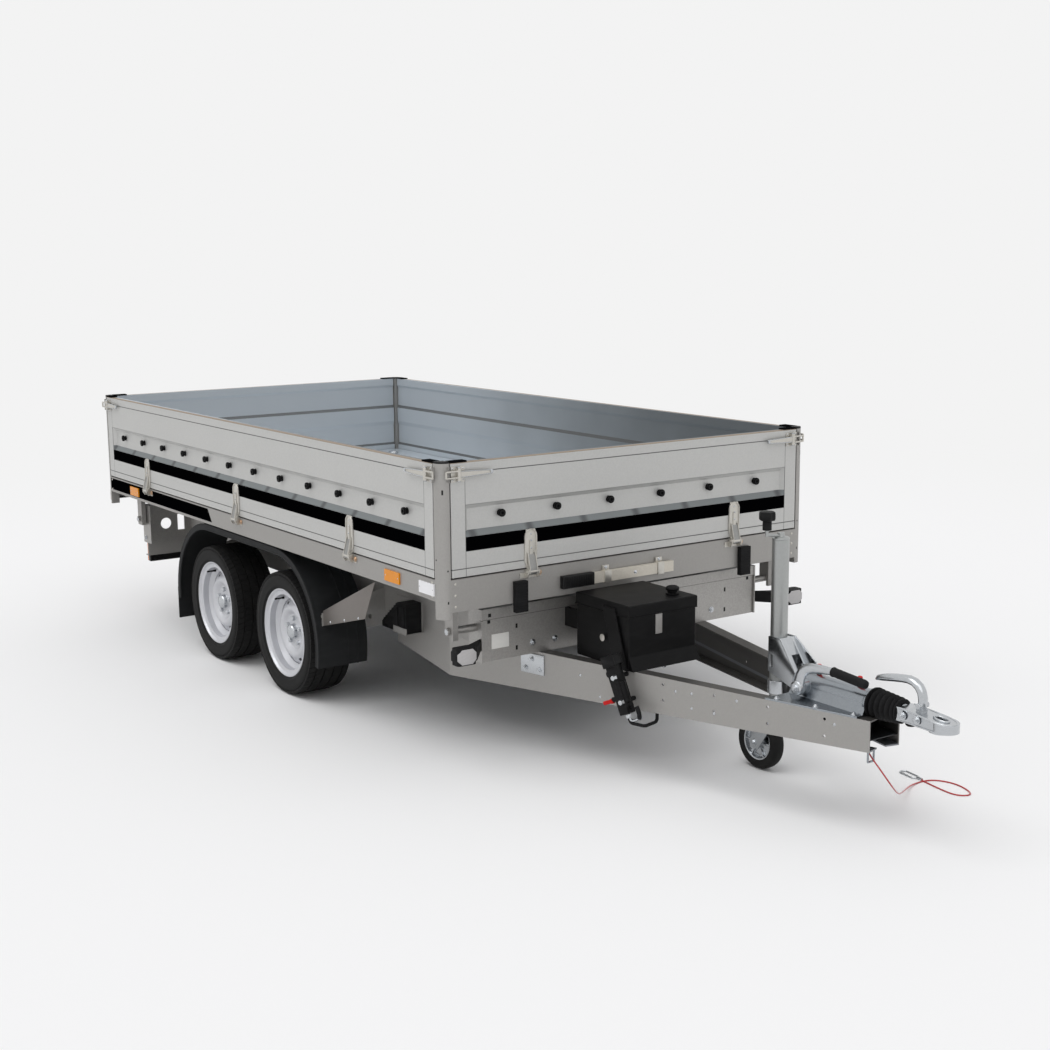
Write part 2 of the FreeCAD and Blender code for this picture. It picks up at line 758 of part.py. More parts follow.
def rear_lever(u, d, z):
    """A flat lever that hangs down and kinks outward."""
    half = REAR_LEVER_WIDTH / 2
    wall = LATCH_LEVER_WALL
    third = REAR_LEVER_LENGTH * REAR_LEVER_SHARE
    kink = min(REAR_LEVER_KINK, third) / 2
    side = [(d, z), (d - wall, z), (d - wall, z - third),
            (d - wall - kink, z - 2 * third), (d - wall - kink, z - REAR_LEVER_LENGTH),
            (d - kink, z - REAR_LEVER_LENGTH), (d - kink, z - 2 * third), (d, z - third)]
    points = [vec(u - half, a, b) for a, b in side]
    return prism(points, vec(REAR_LEVER_WIDTH, 0, 0))


def board_caps(length):
    """Black end caps on the board's top lip."""
    caps = []
    half = length / 2
    for hand in (-1, 1):
        caps.append(block(hand * half, hand * (half - CAP_ARM), -CAP_LEDGE / 2,
                          BOARD_WALL + CAP_LEDGE / 2, BOARD_TOP, BOARD_TOP + CAP_HEIGHT))
    return caps


def build_boards():
    for side in ("front", "right", "left", "rear"):
        length = board_length(side)
        latch = rear_latch if side == "rear" else corner_latch
        fittings = [hinge_strap(u) for u in hinge_places(side)]
        fittings += [latch(length, hand) for hand in (-1, 1)]
        panel = fuse([board_panel(length)] + knob_row(side) + board_caps(length))
        save(side + "_board", [place(panel, side)])
        save(side + "_board_fittings", [place(s, side) for s in fittings])


def corner_post():
    """A folded post with a round outer corner, at the front right corner."""
    x = -HALF_WIDTH
    outer = post_ring(x, 0, POST_SIZE, POST_ROUND)
    inner = post_ring(x + POST_WALL, POST_WALL, POST_SIZE - 2 * POST_WALL,
                      POST_ROUND - POST_WALL)
    height = BOARD_TOP - POST_BOTTOM
    shell = Part.Face(outer).extrude(vec(0, 0, height))
    hollow = Part.Face(inner).extrude(vec(0, 0, height - POST_WALL))
    return shell.cut(hollow)


def post_ring(x, y, size, round_off):
    """Plan outline of a post whose outer corner is an arc."""
    a = vec(x, y + round_off, POST_BOTTOM)
    b = vec(x + round_off, y, POST_BOTTOM)
    slant = round_off * (1 - math.sqrt(2) / 2)
    middle = vec(x + slant, y + slant, POST_BOTTOM)
    right = vec(x + size, y, POST_BOTTOM)
    far = vec(x + size, y + size, POST_BOTTOM)
    back = vec(x, y + size, POST_BOTTOM)
    edges = [Part.Arc(a, middle, b).toShape(), Part.LineSegment(b, right).toShape(),
             Part.LineSegment(right, far).toShape(), Part.LineSegment(far, back).toShape(),
             Part.LineSegment(back, a).toShape()]
    return Part.Wire(edges)


def four_corners(shape):
    """Copies of a front right corner piece at all four corners."""
    rear = shape.mirror(vec(0, BED_LENGTH / 2, 0), vec(0, 1, 0))
    return both_sides(shape) + both_sides(rear)


def post_cap():
    x = -HALF_WIDTH
    ring = post_ring(x, 0, POST_SIZE, POST_ROUND)
    cap = Part.Face(ring).extrude(vec(0, 0, CAP_HEIGHT))
    cap.translate(vec(0, 0, BOARD_TOP - POST_BOTTOM))
    return cap


def keeper():
    """Lugs on the post that the latch bows hold to."""
    top = BOARD_TOP - LATCH_TOP_DROP
    low = top - LATCH_PLATE_HEIGHT
    x = -HALF_WIDTH
    room = POST_SIZE - LATCH_KEEPER_WALL
    front = block(x + POST_ROUND, x + room, -LATCH_KEEPER_OUT, 0, low, top)
    side = block(x - LATCH_KEEPER_OUT, x, POST_ROUND, room, low, top)
    return [front, side]


def lower_latch():
    """Release plate, pin and lever at the foot of a rear post."""
    x1 = -HALF_WIDTH + POST_ROUND
    x0 = x1 - REAR_PLATE_WIDTH
    y = BED_LENGTH
    z1 = BOARD_BOTTOM + POCKET_LOW
    z0 = z1 - REAR_PLATE_HEIGHT
    seat = POST_SIZE - POST_ROUND
    plate = block(x1 - seat, x1 + seat, y, y + REAR_PLATE_WALL, z0, z1)
    cover = block(x0 + POST_ROUND / 2, x1 + seat, y + REAR_PLATE_WALL,
                  y + 2 * REAR_PLATE_WALL, z0, z1)
    mid = (x0 + POST_ROUND / 2 + x1) / 2
    pin = rod(vec(mid, y + REAR_PLATE_WALL, (z0 + z1) / 2),
              vec(mid, y + REAR_PLATE_WALL + REAR_PIN_OUT, (z0 + z1) / 2), REAR_PIN_RADIUS)
    lever = rear_lever(0, 0, 0)
    lever.rotate(vec(0, 0, 0), vec(0, 0, 1), 180)
    lever.translate(vec(mid, y + REAR_PLATE_WALL, z0 + LATCH_LEVER_BIG))
    return fuse([plate, cover, pin, lever])


def build_posts():
    post = fuse([corner_post()] + keeper())
    save("corner_posts", four_corners(post))
    save("post_caps", four_corners(post_cap()))


def channel_x(x0, x1, face, depth, low, high, wall):
    """A C channel along X; depth is signed and points to the open side."""
    way = 1 if depth > 0 else -1
    web = block(x0, x1, face, face + way * wall, low, high)
    top = block(x0, x1, face, face + depth, high - wall, high)
    bottom = block(x0, x1, face, face + depth, low, low + wall)
    return fuse([web, top, bottom])


def channel_y(y0, y1, face, depth, low, high, wall):
    """A C channel along Y; depth is signed and points to the open side."""
    way = 1 if depth > 0 else -1
    web = block(face, face + way * wall, y0, y1, low, high)
    top = block(face, face + depth, y0, y1, high - wall, high)
    bottom = block(face, face + depth, y0, y1, low, low + wall)
    return fuse([web, top, bottom])


def build_bed_frame():
    far = BED_LENGTH
    inner = HALF_WIDTH - POST_SIZE
    side = channel_y(POST_SIZE, far - POST_SIZE, -HALF_WIDTH, RAIL_FLANGE,
                     SIDE_RAIL_BOTTOM, RAIL_TOP, RAIL_WALL)
    rails = both_sides(side)
    reach = inner
    front = channel_x(-reach, reach, 0, POST_SIZE, END_RAIL_BOTTOM, RAIL_TOP, RAIL_WALL)
    rear = channel_x(-reach, reach, far, -POST_SIZE, END_RAIL_BOTTOM, RAIL_TOP, RAIL_WALL)
    save("bed_frame", rails + [front, rear])
    beam = channel_y(POST_SIZE, far - POST_SIZE, -BED_BEAM_OUT, BED_BEAM_WIDTH,
                     BED_BEAM_BOTTOM, bearer_bottom(), BEAM_WALL)
    save("bed_beams", [fuse(both_sides(beam) + ram_cup())])
    save("bed_bearers", bearers() + tipping_forks())
    brackets = []
    for name in ("front", "right", "left", "rear"):
        brackets += [place(hinge_bracket(u), name) for u in hinge_places(name)]
    save("bed_fittings", brackets + both_sides(lower_latch()))


def bearer_bottom():
    return FLOOR_TOP - FLOOR_WALL - BEARER_HEIGHT


def bearers():
    """Folded cross bearers under the floor, between the side rails."""
    reach = HALF_WIDTH - RAIL_WALL
    top = FLOOR_TOP - FLOOR_WALL
    clear = RAIL_TOP - RAIL_WALL
    room = HALF_WIDTH - RAIL_FLANGE
    pitch = (BED_LENGTH - 2 * POST_SIZE - BEARER_WIDTH) / (BEARERS + 1)
    pieces = []
    for i in range(BEARERS):
        y = POST_SIZE + pitch * (i + 1)
        web = channel_x(-room, room, y, BEARER_WIDTH, bearer_bottom(), top, BEARER_WALL)
        ear = channel_x(-reach, reach, y, BEARER_WIDTH, bearer_bottom(), clear, BEARER_WALL)
        pieces.append(fuse([web, ear]))
    return pieces


def build_floor():
    """Steel floor sheet with pressed swages along its length."""
    half = HALF_WIDTH - BOARD_WALL - MOVING_GAP
    front = BOARD_WALL + MOVING_GAP
    rear = BED_LENGTH - front
    low = FLOOR_TOP - FLOOR_WALL
    sheet = block(-half, half, front, rear, low, FLOOR_TOP)
    pitch = 2 * half / (FLOOR_SWAGES + 1)
    pieces = [sheet]
    for i in range(FLOOR_SWAGES):
        x = -half + pitch * (i + 1)
        wide = FLOOR_SWAGE_WIDTH / 2
        narrow = wide - FLOOR_SWAGE_HEIGHT
        top = FLOOR_TOP + FLOOR_SWAGE_HEIGHT
        y0 = front + FLOOR_SWAGE_WIDTH
        outline = [vec(x - wide, y0, FLOOR_TOP), vec(x + wide, y0, FLOOR_TOP),
                   vec(x + narrow, y0, top), vec(x - narrow, y0, top)]
        run = rear - front - 2 * FLOOR_SWAGE_WIDTH
        pieces.append(prism(outline, vec(0, run, 0)))
    corner = block(-HALF_WIDTH, -HALF_WIDTH + POST_SIZE, 0, POST_SIZE, low, FLOOR_TOP)
    save("bed_floor", [fuse(pieces).cut(fuse(four_corners(corner)))])


def tipping_fork(y):
    """Bracket under the bed that sits on a chassis pivot."""
    x = -PIVOT_OUT
    half = FORK_WIDTH / 2
    low = PIVOT_HEIGHT - FORK_DROP
    leg = block(x - FORK_WALL / 2, x + FORK_WALL / 2, y - half, y + half,
                low, SIDE_RAIL_BOTTOM)
    foot = block(-HALF_WIDTH + RAIL_FLANGE / 2, x + FORK_WALL / 2, y - half, y + half,
                 SIDE_RAIL_BOTTOM - FORK_FOOT, SIDE_RAIL_BOTTOM)
    return fuse([leg, foot]), x


def tipping_forks():
    """Closed rear forks and front forks that are open downward."""
    forks = []
    for y, half in ((PIVOT_FRONT, FRONT_BEAM_HALF), (PIVOT_REAR, REAR_BEAM_HALF)):
        plate = half + END_PLATE_WALL
        solid, x = tipping_fork(y)
        end = -PIVOT_OUT - FORK_WALL
        width = 2 * (PIVOT_PIN_RADIUS + PIVOT_RUNNING)
        solid = solid.cut(rod(vec(end - OVERRUN, y, PIVOT_HEIGHT), vec(-plate, y, PIVOT_HEIGHT),
                              width / 2))
        if y == PIVOT_FRONT:
            low = PIVOT_HEIGHT - FORK_DROP - OVERRUN
            slot = block(end, -plate, y - width / 2, y + FORK_WIDTH, low, PIVOT_HEIGHT)
            solid = solid.cut(slot)
        forks += both_sides(solid)
    return forks


def tipping_pins(y, half):
    """Round pins on both end plates of a cross beam."""
    pin = rod(vec(-PIVOT_OUT - FORK_WALL, y, PIVOT_HEIGHT),
              vec(-half - END_PLATE_WALL / 2, y, PIVOT_HEIGHT), PIVOT_PIN_RADIUS)
    return both_sides(pin)


def cross_beam(face, depth, half, fold, pin_y):
    """A chassis cross beam with end plates and, in front, a fold along its web."""
    beam = channel_x(-half, half, face, depth, CHASSIS_BOTTOM, CHASSIS_TOP, BEAM_WALL)
    pieces = [beam]
    if fold:
        z = CHASSIS_TOP - FRONT_BEAM_FOLD
        pieces.append(block(-half, half, face - FRONT_FOLD_STEP, face, z, CHASSIS_TOP))
    for hand in (-1, 1):
        pieces.append(block(hand * half, hand * (half + END_PLATE_WALL),
                            face - END_PLATE_LIP, face + depth + END_PLATE_LIP,
                            CHASSIS_BOTTOM, CHASSIS_TOP))
    return fuse(pieces + tipping_pins(pin_y, half))


def build_chassis():
    front = cross_beam(FRONT_BEAM_FACE, FRONT_BEAM_DEPTH, FRONT_BEAM_HALF, True,
                       PIVOT_FRONT)
    rear = cross_beam(REAR_BEAM_FACE, REAR_BEAM_DEPTH, REAR_BEAM_HALF, False,
                      PIVOT_REAR)
    rear = rear.cut(fuse(rear_web_holes()))
    save("cross_beams", [front, rear])
    y0 = FRONT_BEAM_FACE + FRONT_BEAM_DEPTH
    beam = channel_y(y0, REAR_BEAM_FACE, -BEAM_OUT, BEAM_FLANGE,
                     CHASSIS_BOTTOM, CHASSIS_TOP, BEAM_WALL)
    save("side_beams", both_sides(beam))
    save("ram_cross_members", ram_cross_members())


def rear_web_holes():
    """Round holes and upright slots in the rear beam's web."""
    z = (CHASSIS_BOTTOM + CHASSIS_TOP) / 2
    y0 = REAR_BEAM_FACE - OVERRUN
    y1 = REAR_BEAM_FACE + BEAM_WALL + OVERRUN
    holes = []
    for hand in (-1, 1):
        x = hand * (REAR_BEAM_HALF - REAR_BEAM_DEPTH)
        holes.append(rod(vec(x, y0, z), vec(x, y1, z), WEB_HOLE_RADIUS))
        sx = x - hand * WEB_SLOT_LENGTH
        holes.append(block(sx - WEB_SLOT_WIDTH / 2, sx + WEB_SLOT_WIDTH / 2, y0, y1,
                           z - WEB_SLOT_LENGTH / 2, z + WEB_SLOT_LENGTH / 2))
    return holes


def offset_path(points, distance):
    """Plan points moved sideways, mitred at the bends."""
    moved = []
    count = len(points)
    for i in range(count):
        sides = []
        if i > 0:
            sides.append(side_normal(points[i - 1], points[i]))
        if i < count - 1:
            sides.append(side_normal(points[i], points[i + 1]))
        nx = sum(s[0] for s in sides) / len(sides)
        ny = sum(s[1] for s in sides) / len(sides)
        scale = distance / (nx * nx + ny * ny)
        moved.append((points[i][0] + nx * scale, points[i][1] + ny * scale))
    return moved


def side_normal(a, b):
    """Unit vector in plan that points from the outer face to the middle."""
    dx = b[0] - a[0]
    dy = b[1] - a[1]
    length = math.hypot(dx, dy)
    return (dy / length, -dx / length)


def strip(points, inner, low, high):
    outline = [vec(x, y, low) for x, y in points]
    outline += [vec(x, y, low) for x, y in reversed(inner)]
    return prism(outline, vec(0, 0, high - low))


def drawbar_path():
    """Outer face of the right hand member in plan, from the nose backwards."""
    return [(-DRAWBAR_NOSE_HALF, DRAWBAR_FRONT), (-DRAWBAR_BEND_OUT, DRAWBAR_BEND),
            (-DRAWBAR_BEND_OUT, DRAWBAR_END)]


def side_plate(a, b, outline, depth):
    """A plate over one run of the member, drawn as (share, height) pairs."""
    nx, ny = side_normal(a, b)
    points = []
    for share, z in outline:
        points.append(vec(a[0] + share * (b[0] - a[0]), a[1] + share * (b[1] - a[1]), z))
    return prism(points, vec(nx * depth, ny * depth, 0))


def drawbar_member():
    """Folded channel, open to the inside, deepest where it meets the frame."""
    path = drawbar_path()
    top = CHASSIS_BOTTOM
    heights = [DRAWBAR_BOTTOM, DRAWBAR_DEEP, DRAWBAR_TAIL]
    pieces = [strip(path, offset_path(path, DRAWBAR_FLANGE), top - DRAWBAR_WALL, top)]
    for i in (0, 1):
        low = heights[i]
        next_low = heights[i + 1]
        web = [(0, low), (1, next_low), (1, top), (0, top)]
        flange = [(0, low), (1, next_low), (1, next_low + DRAWBAR_WALL), (0, low + DRAWBAR_WALL)]
        pieces.append(side_plate(path[i], path[i + 1], web, DRAWBAR_WALL))
        pieces.append(side_plate(path[i], path[i + 1], flange, DRAWBAR_FLANGE))
    return fuse(pieces).cut(fuse(member_holes()))


def member_holes():
    """Pairs of punched holes along the member's web."""
    start, bend = drawbar_path()[0], drawbar_path()[1]
    run = math.hypot(bend[0] - start[0], bend[1] - start[1])
    ux = (bend[0] - start[0]) / run
    uy = (bend[1] - start[1]) / run
    nx, ny = side_normal(start, bend)
    middle = (DRAWBAR_BOTTOM + CHASSIS_BOTTOM) / 2
    holes = []
    for i in range(DRAWBAR_HOLES):
        along = DRAWBAR_HOLE_FIRST + i * DRAWBAR_HOLE_PITCH
        x = start[0] + ux * along
        y = start[1] + uy * along
        for z in (middle - DRAWBAR_HOLE_SPREAD / 2, middle + DRAWBAR_HOLE_SPREAD / 2):
            a = vec(x - nx * OVERRUN, y - ny * OVERRUN, z)
            b = vec(x + nx * OVERRUN, y + ny * OVERRUN, z)
            holes.append(rod(a, b, DRAWBAR_HOLE_RADIUS))
    return holes


def build_drawbar():
    room = rod(vec(0, BELLOWS_REAR + TOUCH_GAP, HOUSING_AXIS),
               vec(0, DRAWBAR_FRONT - OVERRUN, HOUSING_AXIS), BELLOWS_BIG + TOUCH_GAP)
    right = drawbar_member().cut(room)
    save("drawbar_right", [right])
    save("drawbar_left", [mirrored(right)])


def member_half(y):
    """Half width between the outer faces of the drawbar at a given Y."""
    slope = (DRAWBAR_BEND_OUT - DRAWBAR_NOSE_HALF) / (DRAWBAR_BEND - DRAWBAR_FRONT)
    return DRAWBAR_NOSE_HALF + slope * (y - DRAWBAR_FRONT)


def member_bottom(y):
    """Height of the drawbar's lower face at a given Y ahead of its bend."""
    share = (y - DRAWBAR_FRONT) / (DRAWBAR_BEND - DRAWBAR_FRONT)
    return DRAWBAR_BOTTOM + share * (DRAWBAR_DEEP - DRAWBAR_BOTTOM)


def housing_saddle(y0, y1):
    """Plate on the flanges that rises to carry the tube."""
    z0 = CHASSIS_BOTTOM
    z1 = z0 + HOUSING_PLATE_WALL
    w0 = member_half(y0)
    w1 = member_half(y1)
    plate = prism([vec(-w0, y0, z0), vec(w0, y0, z0), vec(w1, y1, z0), vec(-w1, y1, z0)],
                  vec(0, 0, HOUSING_PLATE_WALL))
    s = HOUSING_SADDLE_HALF
    r = HOUSING_RADIUS
    rise = HOUSING_AXIS
    ring = [vec(-s, y0, z1), vec(s, y0, z1), vec(r, y0, rise), vec(-r, y0, rise)]
    hump = prism(ring, vec(0, y1 - y0, 0))
    return [plate, hump]


def build_housing():
    axis0 = vec(0, HOUSING_FRONT, HOUSING_AXIS)
    axis1 = vec(0, HOUSING_REAR, HOUSING_AXIS)
    pieces = housing_saddle(HOUSING_FRONT, HOUSING_REAR)
    pieces.append(rod(axis0, axis1, HOUSING_RADIUS))
    lug0 = vec(-LEVER_SIDE + HOUSING_LUG_WALL, LEVER_PIVOT_Y, HOUSING_AXIS)
    lug1 = vec(-LEVER_SIDE - LEVER_RADIUS - HOUSING_LUG_WALL, LEVER_PIVOT_Y, HOUSING_AXIS)
    pieces.append(rod(lug0, lug1, HOUSING_LUG_RADIUS))
    for share in NIPPLE_SHARES:
        y = HOUSING_REAR + share * (HOUSING_FRONT - HOUSING_REAR)
        top = HOUSING_AXIS + HOUSING_RADIUS
        pieces.append(rod(vec(0, y, top - NIPPLE_HEIGHT), vec(0, y, top + NIPPLE_HEIGHT),
                          NIPPLE_RADIUS))
    body = fuse(pieces)
    bore_end = vec(0, HOUSING_REAR - OVERRUN, HOUSING_AXIS)
    body = body.cut(rod(vec(0, HOUSING_FRONT - OVERRUN, HOUSING_AXIS), bore_end, HOUSING_BORE))
    save("overrun_housing", [body, cable_guide().cut(drawbar_member())])
    shaft = rod(vec(0, HOUSING_REAR - OVERRUN, HOUSING_AXIS),
                vec(0, COUPLING_REAR - COUPLING_WALL, HOUSING_AXIS), SHAFT_RADIUS)
    return shaft


def build_bellows():
    length = BELLOWS_FRONT - BELLOWS_REAR
    pitch = length / (2 * BELLOWS_RIBS)
    profile = [(BELLOWS_BORE, 0), (BELLOWS_BIG, 0)]
    for i in range(1, 2 * BELLOWS_RIBS):
        radius = BELLOWS_SMALL if i % 2 else BELLOWS_BIG
        taper = 1 - i / (2 * BELLOWS_RIBS) * (1 - BELLOWS_SMALL / BELLOWS_BIG) / 2
        profile.append((radius * taper, abs(i * pitch)))
    profile += [(BELLOWS_SMALL, abs(length)), (BELLOWS_BORE, abs(length))]
    save("bellows", [lathe(profile, vec(0, BELLOWS_REAR, HOUSING_AXIS), vec(0, -1, 0))])


def coupling_outline(half_rear, half_ball, inset):
    """Plan outline of the coupling head, a body that swells to a round nose."""
    rear = COUPLING_REAR - inset
    neck = (COUPLING_REAR + BALL_Y) / 2
    points = [vec(-half_rear + inset, rear, 0), vec(-half_rear + inset, neck, 0)]
    edges = [Part.LineSegment(points[0], points[1]).toShape()]
    shoulder = BALL_Y
    radius = half_ball - inset
    edges.append(Part.LineSegment(points[1], vec(-radius, shoulder, 0)).toShape())
    nose = COUPLING_TIP + inset
    edges.append(Part.Arc(vec(-radius, shoulder, 0), vec(0, nose, 0),
                          vec(radius, shoulder, 0)).toShape())
    right = vec(half_rear - inset, neck, 0)
    edges.append(Part.LineSegment(vec(radius, shoulder, 0), right).toShape())
    last = vec(half_rear - inset, rear, 0)
    edges.append(Part.LineSegment(right, last).toShape())
    edges.append(Part.LineSegment(last, points[0]).toShape())
    return Part.Wire(edges)


def build_coupling(shaft):
    """Pressed coupling head: rear sleeve, tapering body and ball socket."""
    top = HOUSING_AXIS + COUPLING_HEIGHT / 2
    slab = Part.Face(coupling_outline(COUPLING_HALF, SOCKET_OUTER, 0))
    body = slab.extrude(vec(0, 0, COUPLING_HEIGHT))
    body.translate(vec(0, 0, top - COUPLING_HEIGHT))
    slope = prism([vec(-HALF_WIDTH, COUPLING_REAR - SOCKET_OUTER, top),
                   vec(-HALF_WIDTH, COUPLING_TIP - OVERRUN, BALL_HEIGHT + COUPLING_SLOT_WIDTH),
                   vec(-HALF_WIDTH, COUPLING_TIP - OVERRUN, top + OVERRUN),
                   vec(-HALF_WIDTH, COUPLING_REAR - SOCKET_OUTER, top + OVERRUN)],
                  vec(2 * HALF_WIDTH, 0, 0))
    body = body.cut(slope)
    ball = vec(0, BALL_Y, BALL_HEIGHT)
    low = top - COUPLING_HEIGHT
    rim = rod(vec(0, BALL_Y, low - COUPLING_WALL), vec(0, BALL_Y, BALL_HEIGHT), SOCKET_OUTER)
    body = fuse([body, rim])
    body = body.cut(Part.makeSphere(SOCKET_RADIUS, ball))
    body = body.cut(rod(vec(0, BALL_Y, low - OVERRUN), ball, SOCKET_RADIUS))
    slot_half = COUPLING_SLOT_WIDTH / 2
    reach = (COUPLING_SLOT_LENGTH - COUPLING_SLOT_WIDTH) / 2
    ends = [vec(0, BALL_Y + hand * reach, BALL_HEIGHT) for hand in (-1, 1)]
    rise = vec(0, 0, COUPLING_HEIGHT + OVERRUN)
    cut = [Part.makeCylinder(slot_half, rise.Length, spot) for spot in ends]
    cut.append(block(-slot_half, slot_half, BALL_Y - reach, BALL_Y + reach,
                     BALL_HEIGHT, BALL_HEIGHT + rise.Length))
    body = body.cut(fuse(cut))
    bolts = []
    for share in COUPLING_BOLT_SHARES:
        y = COUPLING_REAR + share * (BALL_Y + SOCKET_OUTER - COUPLING_REAR)
        bolts.append(rod(vec(-COUPLING_HALF - COUPLING_WALL, y, HOUSING_AXIS),
                         vec(COUPLING_HALF + COUPLING_WALL, y, HOUSING_AXIS),
                         COUPLING_BOLT_RADIUS))
    boss = block(-HANDLE_RADIUS, HANDLE_RADIUS, HANDLE_PIVOT_Y - HANDLE_RADIUS,
                 HANDLE_PIVOT_Y + HANDLE_RADIUS, HOUSING_AXIS, top + COUPLING_WALL)
    save("coupling_head", [fuse([body, shaft, boss] + bolts)])


def bent_bar(points, bend, radius):
    """A round bar along straight runs joined by tangent arcs."""
    edges = []
    here = points[0]
    for i in range(1, len(points) - 1):
        corner = points[i]
        back = points[i - 1].sub(corner)
        ahead = points[i + 1].sub(corner)
        back.normalize()
        ahead.normalize()
        turn = math.pi - back.getAngle(ahead)
        cut = bend[i - 1] * math.tan(turn / 2)
        a = corner.add(back.multiply(cut))
        b = corner.add(ahead.multiply(cut))
        inward = a.add(b).multiply(1 / 2).sub(corner)
        depth = bend[i - 1] * (1 / math.cos(turn / 2) - 1)
        inward.normalize()
        middle = corner.add(inward.multiply(depth))
        edges.append(Part.LineSegment(here, a).toShape())
        edges.append(Part.Arc(a, middle, b).toShape())
        here = b
    edges.append(Part.LineSegment(here, points[-1]).toShape())
    path = Part.Wire(edges)
    start = points[0]
    way = points[1].sub(points[0])
    ring = Part.Wire([Part.makeCircle(radius, start, way)])
    return path.makePipeShell([ring], True, True), path


def build_levers():
    """Coupling handle and handbrake lever, both bent from round bar."""
    top = HOUSING_AXIS + COUPLING_HEIGHT / 2
    foot = vec(0, HANDLE_PIVOT_Y, top + COUPLING_WALL + TOUCH_GAP)
    rise = 2 * COUPLING_HEIGHT
    knee = vec(0, HANDLE_PIVOT_Y, top + rise)
    tip = vec(0, HANDLE_PIVOT_Y + 2 * rise, top + rise - COUPLING_HEIGHT / 2)
    handle, path = bent_bar([foot, knee, tip], [2 * HANDLE_RADIUS + HANDLE_PIVOT_RADIUS],
                            HANDLE_RADIUS)
    save("coupling_handle", [handle])
    x = -LEVER_SIDE - LEVER_RADIUS - HOUSING_LUG_WALL
    pivot_end = x - 2 * LEVER_RADIUS - 2 * LEVER_CHEEK
    z = HOUSING_AXIS
    pivot = rod(vec(x, LEVER_PIVOT_Y, z), vec(pivot_end, LEVER_PIVOT_Y, z), HOUSING_LUG_RADIUS)
    mid = (x + pivot_end) / 2
    bar, path = bent_bar([vec(mid, LEVER_PIVOT_Y, z),
                          vec(mid, LEVER_PIVOT_Y - LEVER_RADIUS, z + LEVER_RISE),
                          vec(mid, LEVER_GRIP_Y, z + LEVER_RISE + LEVER_RADIUS)],
                         [LEVER_BEND_RADIUS], LEVER_RADIUS)
    grip = rod(vec(mid, LEVER_GRIP_Y, z + LEVER_RISE + LEVER_RADIUS),
               vec(mid, LEVER_TIP_Y, z + LEVER_RISE), LEVER_GRIP_RADIUS)
    save("handbrake_lever", [fuse([pivot, bar, grip])])


def cable_guide():
    """A wire stirrup under the drawbar that the breakaway cable runs through."""
    x0 = -GUIDE_SIDE - GUIDE_WIDTH / 2
    x1 = -GUIDE_SIDE + GUIDE_WIDTH / 2
    top = DRAWBAR_BOTTOM
    low = top - GUIDE_DROP
    bars = [rod(vec(x0, GUIDE_Y, low), vec(x0, GUIDE_Y, top), GUIDE_ROD),
            rod(vec(x1, GUIDE_Y, low), vec(x1, GUIDE_Y, top), GUIDE_ROD),
            rod(vec(x0, GUIDE_Y, low), vec(x1, GUIDE_Y, low), GUIDE_ROD)]
    return fuse(bars)


def build_jack():
    """Jockey wheel: outer tube, crank, sliding leg, swivelling fork and wheel."""
    spot = lambda z: vec(JACK_X, JACK_Y, z)
    outer = tube(spot(JACK_TUBE_BOTTOM), spot(JACK_TOP), JACK_RADIUS, JACK_RADIUS - JACK_WALL)
    lid = rod(spot(JACK_TOP - JACK_WALL), spot(JACK_TOP), JACK_RADIUS)
    save("jack_tube", [fuse([outer, lid, jack_crank(), jack_grip()])])
    save("jack_clamp", jack_clamp())
    leg = tube(spot(LEG_BOTTOM), spot(LEG_TOP), LEG_RADIUS, LEG_RADIUS - JACK_WALL)
    foot = rod(spot(LEG_BOTTOM), spot(LEG_BOTTOM + SWIVEL_WALL), LEG_RADIUS)
    save("jack_leg", [fuse([leg, foot])])
    build_jack_fork()
    build_jack_wheel()


def jack_crank():
    z0 = JACK_TOP
    z1 = z0 + CRANK_HUB_HEIGHT
    hub = rod(vec(JACK_X, JACK_Y, z0), vec(JACK_X, JACK_Y, z1), CRANK_HUB_RADIUS)
    start = vec(JACK_X, JACK_Y, (z0 + z1) / 2)
    end = vec(JACK_X - CRANK_ARM_LENGTH, JACK_Y, z1)
    arm = rod(start, end, CRANK_ARM_RADIUS)
    pin = rod(vec(end.x, end.y, z1 - CRANK_ARM_RADIUS),
              vec(end.x, end.y, z1 + CRANK_GRIP_HEIGHT / 2), CRANK_ARM_RADIUS)
    return fuse([hub, arm, pin])


def jack_grip():
    x = JACK_X - CRANK_ARM_LENGTH
    z0 = JACK_TOP + CRANK_HUB_HEIGHT + CRANK_GRIP_HEIGHT / 2
    z1 = z0 + CRANK_GRIP_HEIGHT
    profile = [(0, 0), (CRANK_GRIP_RADIUS, 0), (CRANK_GRIP_RADIUS, z1 - z0),
               (CRANK_KNOB_RADIUS, z1 - z0 + JACK_WALL),
               (CRANK_KNOB_RADIUS, z1 - z0 + CRANK_KNOB_HEIGHT - JACK_WALL),
               (CRANK_KNOB_RADIUS - JACK_WALL, z1 - z0 + CRANK_KNOB_HEIGHT),
               (0, z1 - z0 + CRANK_KNOB_HEIGHT)]
    return lathe(profile, vec(x, JACK_Y, z0), vec(0, 0, 1))


def inside_face(y):
    """X of the left member's inner web face at a given Y."""
    slope = (DRAWBAR_BEND_OUT - DRAWBAR_NOSE_HALF) / (DRAWBAR_BEND - DRAWBAR_FRONT)
    return member_half(y) - DRAWBAR_WALL * math.hypot(1, slope)


